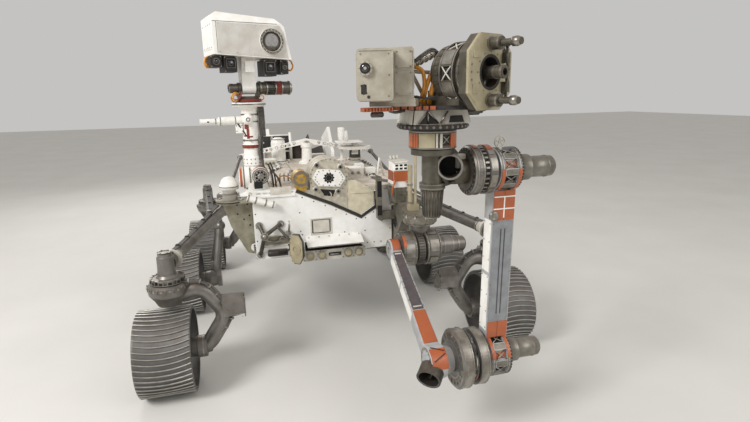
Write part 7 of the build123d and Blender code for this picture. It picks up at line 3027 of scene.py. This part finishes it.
@dataclass
class Rear:
    """Dress of the power source, the heat exchangers and the body's sides."""

    core: Point = (0.0, 0.9, 0.87)
    aim: Point = (0.0, 0.83, 0.56)
    body: str = "rover_body"

    def power(self) -> None:
        """Bands, end cap and screws of the power source."""
        aim = Vector(self.aim).normalized()
        m = Mesher("power_bands", self.body, "machined")
        for s in (0.03, 0.465):
            m.sector(self.core, aim, 0.1205, 0.003, WHOLE, (s, s + 0.014), 48)
        m.ring(Vector(self.core) + aim * 0.5002, aim, 0.098, 0.085, 0.004, 48)
        m.lathe(Vector(self.core) + aim * 0.5002, aim, [(0, 0.03), (0.006, 0.03), (0.01, 0.02)], 28)
        m.done()
        b = Bolts("power_bolts", self.body, 0.005, 0.0032)
        b.circle(Vector(self.core) + aim * 0.5002, aim, 0.11, 16)
        b.circle(Vector(self.core) + aim * 0.5042, aim, 0.0915, 12, 0.7)
        b.done()

    def exchangers(self) -> None:
        """Fluid lines snaking over the outer faces, with their clamps."""
        m = Mesher("exchanger_lines", self.body, "machined")
        for side in (-1, 1):
            line = []
            for k in range(7):
                y = 0.86 + 0.08 * k
                low = 0.8 + max(0.0, (y - 0.86)) * 0.48
                high = min(1.23 + (y - 0.86) * 0.55, 1.35)
                ends = (low, high) if k % 2 == 0 else (high, low)
                line += [(side * 0.335, y, ends[0]), (side * 0.335, y, ends[1])]
            m.tube(line, 0.006, 8, 0)
        m.done()
        b = Bolts("exchanger_bolts", self.body, 0.0046, 0.0028)
        for side in (-1, 1):
            aim = (side, 0, 0)
            for k in range(7):
                for t in (0.18, 0.5, 0.82):
                    y = 0.9 + 0.075 * k
                    low, high = 0.83 + (y - 0.86) * 0.48, min(1.21 + (y - 0.86) * 0.5, 1.33)
                    b.at((side * 0.3302, y, low + (high - low) * t), aim)
        b.done()

    def sides(self) -> None:
        """Rims, bolts, cables with their ties and plates on both sides, and the rear cameras' glass."""
        panels = Mesher("side_panels", self.body, "panel", "white_paint")
        rims = Mesher("side_recess_rims", self.body, "machined")
        b = Bolts("side_bolts", self.body, 0.0048, 0.0028)
        cable = Mesher("side_cables", self.body, "braid")
        for side in (-1, 1):
            x = side * 0.5452
            aim = (side, 0, 0)
            for y in (-0.65, -0.35, 0.17, 0.5):
                for dy, dz, w, h in (
                    (0, 0.141, 0.246, 0.01), (0, -0.141, 0.246, 0.01), (0.12, 0, 0.01, 0.27),
                    (-0.12, 0, 0.01, 0.27)
                ):
                    rims.box(
                        (x - 0.0015, y + dy - w / 2, 0.925 + dz - h / 2),
                        (x + 0.0015, y + dy + w / 2, 0.925 + dz + h / 2), 0.0005
                    )
                for k in range(4):
                    for dz in (-0.152, 0.152):
                        b.at((x, y - 0.1 + 0.066 * k, 0.925 + dz), aim)
            b.row((x, -0.86, 1.1), (x, 0.76, 1.1), aim, 26)
            b.row((x, -0.86, 0.685), (x, 0.76, 0.685), aim, 26)
            panels.box((x - 0.002, 0.64, 0.77), (x + 0.003, 0.77, 1.06))
            panels.box((x - 0.002, -0.87, 0.76), (x + 0.003, -0.79, 1.04))
            for k in range(3):
                z = 0.728 + 0.016 * k
                cable.tube([
                    (x + side * 0.008, -0.82, z), (x + side * 0.008, -0.3, z), (x + side * 0.008, 0.2, z),
                    (x + side * 0.008, 0.74, z)
                ], 0.0062, 8)
            ties(
                f"side_cable_ties_{'left' if side > 0 else 'right'}", self.body,
                [[
                    (x + side * 0.006, -0.8, 0.744), (x + side * 0.006, 0.0, 0.744),
                    (x + side * 0.006, 0.72, 0.744)
                ]],
                0.11, 0.027, 0.01, "white"
            )
        rims.done()
        panels.done()
        cable.done()
        b.row((-0.4, 0.7902, 1.09), (0.4, 0.7902, 1.09), Axis3.BACK, 12)
        b.row((-0.4, 0.7902, 0.7), (0.4, 0.7902, 0.7), Axis3.BACK, 12)
        b.done()
        g = Mesher("rear_camera_glass", self.body, "glass")
        r = Mesher("rear_camera_rims", self.body, "machined")
        for x in (-0.43, 0.43):
            y = rearmost_of("rear_hazard_cameras")
            r.ring((x, y, 1.0), Axis3.BACK, 0.022, 0.016, 0.003, 28)
            g.lathe((x, y, 1.0), Axis3.BACK, [(0, 0.016), (0.002, 0.012), (0.003, 0.002)], 28)
        g.done()
        r.done()

    def build(self) -> None:
        """Builds the rear's and sides' dress."""
        self.power()
        self.exchangers()
        self.sides()


def rearmost_of(node: str) -> float:
    """Rearmost level of a CAD node, in the rover's frame."""
    return max(v.co.y for v in frame["nodes"][node].data.vertices) - SHIFT_Y


DECK_PARTS = (Deck(), Antennas(), Rear())


# Suspension: harnesses, joint covers and fasteners


@dataclass
class Suspension:
    """Dress of one side's rocker, bogie, steering cans and knuckles."""

    side: int
    name: str
    steered: tuple[tuple[str, float, float], ...] = (("front", 1.12, -1.21), ("rear", 1.0, 1.05))
    offset: float = 0.045

    def at(self, x: float, y: float, z: float) -> Vector:
        """A point of the left side, mirrored for the right."""
        return Vector((self.side * x, y, z))

    def tubes(self) -> None:
        """Cable harness with ties along the rocker and bogie, and bands near their ends."""
        lines = (
            [
                self.at(1.062, -1.19, 0.862), self.at(0.96, -0.85, 0.888), self.at(0.84, -0.45, 0.944),
                self.at(0.76, -0.19, 0.985)
            ],
            [self.at(0.78, 0.0, 0.934), self.at(0.815, 0.2, 0.85), self.at(0.85, 0.38, 0.78)],
            [
                self.at(0.866, 0.38, 0.744), self.at(0.85, 0.18, 0.74), self.at(0.858, 0.09, 0.62),
                self.at(0.9, 0.03, 0.42)
            ],
            [self.at(0.91, 0.52, 0.745), self.at(0.93, 0.76, 0.8), self.at(0.95, 0.96, 0.845)]
        )
        m = Mesher(f"suspension_harness_{self.name}", "rover_body", "braid")
        for line in lines:
            for k in (-1, 0, 1):
                m.tube([p + Vector((0.01 * k, 0.003 * k, 0)) for p in line], 0.0062, 8)
        m.done()
        ties(
            f"harness_ties_{self.name}", "rover_body", [[tuple(p) for p in line] for line in lines], 0.15,
            0.0172, 0.009, "actuator"
        )
        m = Mesher(f"tube_bands_{self.name}", "rover_body", "machined")
        runs = (
            (self.at(1.075, -1.21, 0.812), self.at(0.715, -0.1, 0.922), 0.0405, (0.1, 0.13, 0.86, 0.89)),
            (self.at(0.748, -0.1, 0.922), self.at(0.862, 0.45, 0.7), 0.0405, (0.22, 0.8))
        )
        for a, b, r, spots in runs:
            aim = (b - a).normalized()
            for t in spots:
                m.lathe(a.lerp(b, t), aim, [
                    (-0.006, r - 0.001), (-0.005, r + 0.004), (0.005, r + 0.004), (0.006, r - 0.001)
                ], 36)
        m.done()
        m = Mesher(f"conical_joint_{self.name}", "rover_body", "cream")
        a, b, _, _ = runs[0]
        aim = (b - a).normalized()
        m.lathe(a + aim * 0.08, aim, [
            (0, 0.062), (0.006, 0.064), (0.03, 0.05), (0.06, 0.043), (0.062, 0.0405)
        ], 40)
        m.done()

    def pivots(self) -> None:
        """Rings and bolt circles at the rocker's pivot."""
        out = (self.side, 0, 0)
        m = Mesher(f"pivot_rings_{self.name}", "rover_body", "machined")
        spot = self.at(0.8062, -0.1, 0.922)
        m.ring(spot, out, 0.086, 0.076, 0.003, 48)
        m.ring(spot, out, 0.046, 0.03, 0.006, 40)
        m.done()
        b = Bolts(f"pivot_bolts_{self.name}", "rover_body", 0.006, 0.0036)
        b.circle(spot, out, 0.064, 12)
        b.circle(self.at(0.8122, -0.1, 0.922), out, 0.038, 6, 0.8)
        b.done()

    def corner(self, place: str, track: float, axle: float) -> None:
        """Ring windows, bowl ribs, cover bolts and drive details of one steered corner.

        Args:
            place: Front or rear.
            track: The wheel's distance from the middle.
            axle: The wheel's place along the rover.
        """
        body = f"steering_{place}_{self.name}"
        x = track - self.offset
        c = self.at(x, axle, 0)
        # Painted shade in the ring's windows
        fixed = Mesher(f"steer_ring_{place}_{self.name}", "rover_body", "void")
        for k in range(12):
            a = 30 * k
            fixed.sector(c, Axis3.UP, 0.0962, 0.0022, (a + 9, a + 21), (0.7165, 0.7315), 2)
        fixed.done()
        m = Mesher(f"steer_rims_{place}_{self.name}", "rover_body", "machined")
        m.ring((c.x, c.y, 0.7378), Axis3.UP, 0.0955, 0.0835, 0.004, 48)
        m.ring((c.x, c.y, 0.8905), Axis3.UP, 0.04, 0.03, 0.003, 36)
        m.done()
        b = Bolts(f"steer_bolts_{place}_{self.name}", "rover_body", 0.0052, 0.0034)
        b.circle((c.x, c.y, 0.7418), Axis3.UP, 0.0895, 16, 0.9)
        b.circle((c.x, c.y, 0.8935), Axis3.UP, 0.035, 6, 0.8)
        b.done()
        m = Mesher(f"bowl_ribs_{place}_{self.name}", body, "titanium")
        for k in range(16):
            a = radians(22.5 * k)
            out = Vector((cos(a), sin(a), 0))
            m.tube([
                c + out * 0.118 + Vector((0, 0, 0.698)), c + out * 0.1178 + Vector((0, 0, 0.672))
            ], 0.0032, 6, 0)
        m.done()
        b = Bolts(f"knuckle_bolts_{place}_{self.name}", body, 0.0052, 0.0034)
        b.rim((c.x, c.y, 0.684), Axis3.UP, 0.1182, 16, 0.9, 11.25)
        for s in (0.365, 0.455):
            b.rim(self.at(track - s, axle, 0.505), Axis3.ACROSS, 0.0745, 6, 0.5)
        inner = self.at(track - 0.473, axle, 0.505)
        b.circle(inner, (-self.side, 0, 0), 0.07, 12)
        b.circle(inner, (-self.side, 0, 0), 0.03, 6, 0.8)
        hub = self.at(track - 0.258, axle, 0.2625)
        b.circle(hub, (-self.side, 0, 0), 0.034, 8, 0.8)
        b.done()
        m = Mesher(f"knuckle_rings_{place}_{self.name}", body, "machined")
        m.ring(inner, (-self.side, 0, 0), 0.058, 0.046, 0.003, 40)
        for s, r in ((0.06, 0.0615), (0.12, 0.0615), (0.205, 0.069)):
            m.ring(self.at(track - s, axle, 0.2625), (-self.side, 0, 0), r, r - 0.006, 0.007, 40)
        m.done()
        m = Mesher(f"knuckle_cable_{place}_{self.name}", body, "braid")
        path = (
            (-0.1, 0.7), (-0.19, 0.708), (-0.27, 0.67), (-0.33, 0.57), (-0.395, 0.46), (-0.33, 0.36),
            (-0.255, 0.3)
        )
        for k in (-1, 1):
            m.tube([self.at(track + dx, axle - 0.03 + 0.008 * k, z) for dx, z in path], 0.006, 8)
        m.done()
        ties(
            f"knuckle_ties_{place}_{self.name}", body,
            [[tuple(self.at(track + dx, axle - 0.03, z)) for dx, z in path]],
            0.06, 0.0155, 0.007, "machined"
        )

    def build(self) -> None:
        """Builds one side's dress."""
        self.tubes()
        self.pivots()
        for place, track, axle in self.steered:
            self.corner(place, track, axle)


SUSPENSION = (Suspension(1, "left"), Suspension(-1, "right"))


PARTS = (*WHEELS, *SUSPENSION, *TURRET, *ARM, *MAST_PARTS, *FRONT_PARTS, *DECK_PARTS)


# Frame dressing, stage and view

NODE_FINISHES: dict[str, tuple[str, ...]] = {
    "panel": ("chassis_box", "front_panel", "hazard_visor", "carousel_plate"),
    "drab": ("side_fitting",),
    "white": (
        "mast_tube", "mast_base", "mast_head", "wind_sensor", "heat_exchangers", "flex_box", "uhf_antenna",
        "differential_bar", "antenna_plate", "front_canister", "low_gain_antenna"
    ),
    "stone": ("turret_instrument",),
    "cream": ("deck_instruments", "antenna_base", "hazard_cameras"),
    "khaki": ("arm_post",),
    "olive": ("shoulder_bracket",),
    "deck": ("top_deck",),
    "titanium": (
        "rocker_left", "rocker_right", "bogie_left", "bogie_right", "knuckle_front_left",
        "knuckle_front_right", "knuckle_rear_left", "knuckle_rear_right", "differential_links",
        "shoulder_drum", "elbow_drum", "wrist_drum"
    ),
    "actuator": ("mast_neck", "belly_pan", "antenna_yoke", "turret_restraint"),
    "gunmetal": ("coring_drill", "wrist_bracket"),
    "link": ("upper_arm", "forearm"),
    "black": ("mast_cameras", "power_source", "rear_hazard_cameras", "turret_base"),
    "housing": ("carousel_cover",),
    "bib": ("notch_bib",),
    "yellow": ("round_cover",)
}


def dress_frame() -> None:
    """Gives every CAD node its finish."""
    for finish, names in NODE_FINISHES.items():
        for name in names:
            mesh = frame["nodes"][name].data
            mesh.materials.clear()
            mesh.materials.append(finish_of(finish))


@dataclass
class Camera:
    """The view of the photograph: a low standing camera ahead of the rover and to its right."""

    place: Point = (-0.59638, -4.19044 + SHIFT_Y, 1.76927)
    yaw: float = 15.1375
    pitch: float = 13.4024
    roll: float = -1.112
    focal_px: float = 491.58
    width_px: float = 750.0

    def build(self) -> bpy.types.Object:
        """Creates the camera and makes it the scene's.

        Returns:
            The camera object.
        """
        data = bpy.data.cameras.new("camera")
        data.sensor_width = 36.0
        data.lens = self.focal_px / self.width_px * data.sensor_width
        data.clip_end = 200.0
        yaw, pitch, roll = (radians(v) for v in (self.yaw, self.pitch, self.roll))
        ahead = Vector((sin(yaw) * cos(pitch), cos(yaw) * cos(pitch), -sin(pitch)))
        right = Vector((cos(yaw), -sin(yaw), 0.0))
        up = right.cross(ahead)
        right, up = (right * cos(roll) + up * sin(roll), -right * sin(roll) + up * cos(roll))
        turned = Matrix((right, up, -ahead)).transposed().to_4x4()
        camera = bpy.data.objects.new("camera", data)
        camera.matrix_world = Matrix.Translation(self.place) @ turned
        bpy.context.scene.collection.objects.link(camera)
        bpy.context.scene.camera = camera
        return camera


@dataclass
class Studio:
    """Plain pale floor and soft light: a wide key lamp, a fill and an even sky."""

    floor: str = "#D9D6D0"
    sky: str = "#F2F1EF"
    sky_level: float = 0.62
    key_watts: float = 430.0
    fill_watts: float = 120.0

    def build(self) -> None:
        """Builds floor, sky and lamps."""
        scene = bpy.context.scene
        scene.view_settings.view_transform = "Standard"
        world = bpy.data.worlds.new("sky")
        scene.world = world
        world.use_nodes = True
        world.node_tree.nodes["Background"].inputs[0].default_value = linear(self.sky)
        world.node_tree.nodes["Background"].inputs[1].default_value = self.sky_level
        lamps = (
            ("key", (-5.2, -3.8, 5.6), 2.4, self.key_watts),
            ("fill", (4.2, -5.6, 4.2), 4.0, self.fill_watts), ("rim", (-2.0, 6.0, 4.5), 3.0, self.fill_watts)
        )
        for name, place, size, watts in lamps:
            data = bpy.data.lights.new(name, "AREA")
            data.energy, data.size = watts, size
            lamp = bpy.data.objects.new(name, data)
            lamp.location = place
            lamp.rotation_euler = (Vector((0, 0, 0.7)) - Vector(place)).to_track_quat("-Z", "Y").to_euler()
            scene.collection.objects.link(lamp)
        m = bmesh.new()
        bmesh.ops.create_grid(m, x_segments=8, y_segments=8, size=30)
        mesh = bpy.data.meshes.new("floor")
        m.to_mesh(mesh)
        m.free()
        g = Graph("studio_floor")
        tone = g.mix(g.spread(g.noise(900.0), 0.3, 0.7), linear(self.floor), linear("#D3D0CA"))
        mesh.materials.append(
            g.close(Base_Color=tone, Roughness=g.spread(g.noise(40.0), 0.3, 0.7, (0.85, 0.95)))
        )
        floor = bpy.data.objects.new("floor", mesh)
        scene.collection.objects.link(floor)


def main() -> None:
    """Builds every part of the scene in order and notes its size."""
    logging.basicConfig(level=logging.INFO, format="%(name)s: %(message)s")
    Studio().build()
    Camera().build()
    dress_frame()
    for part in PARTS:
        part.build()


if __name__ == "__main__":
    main()
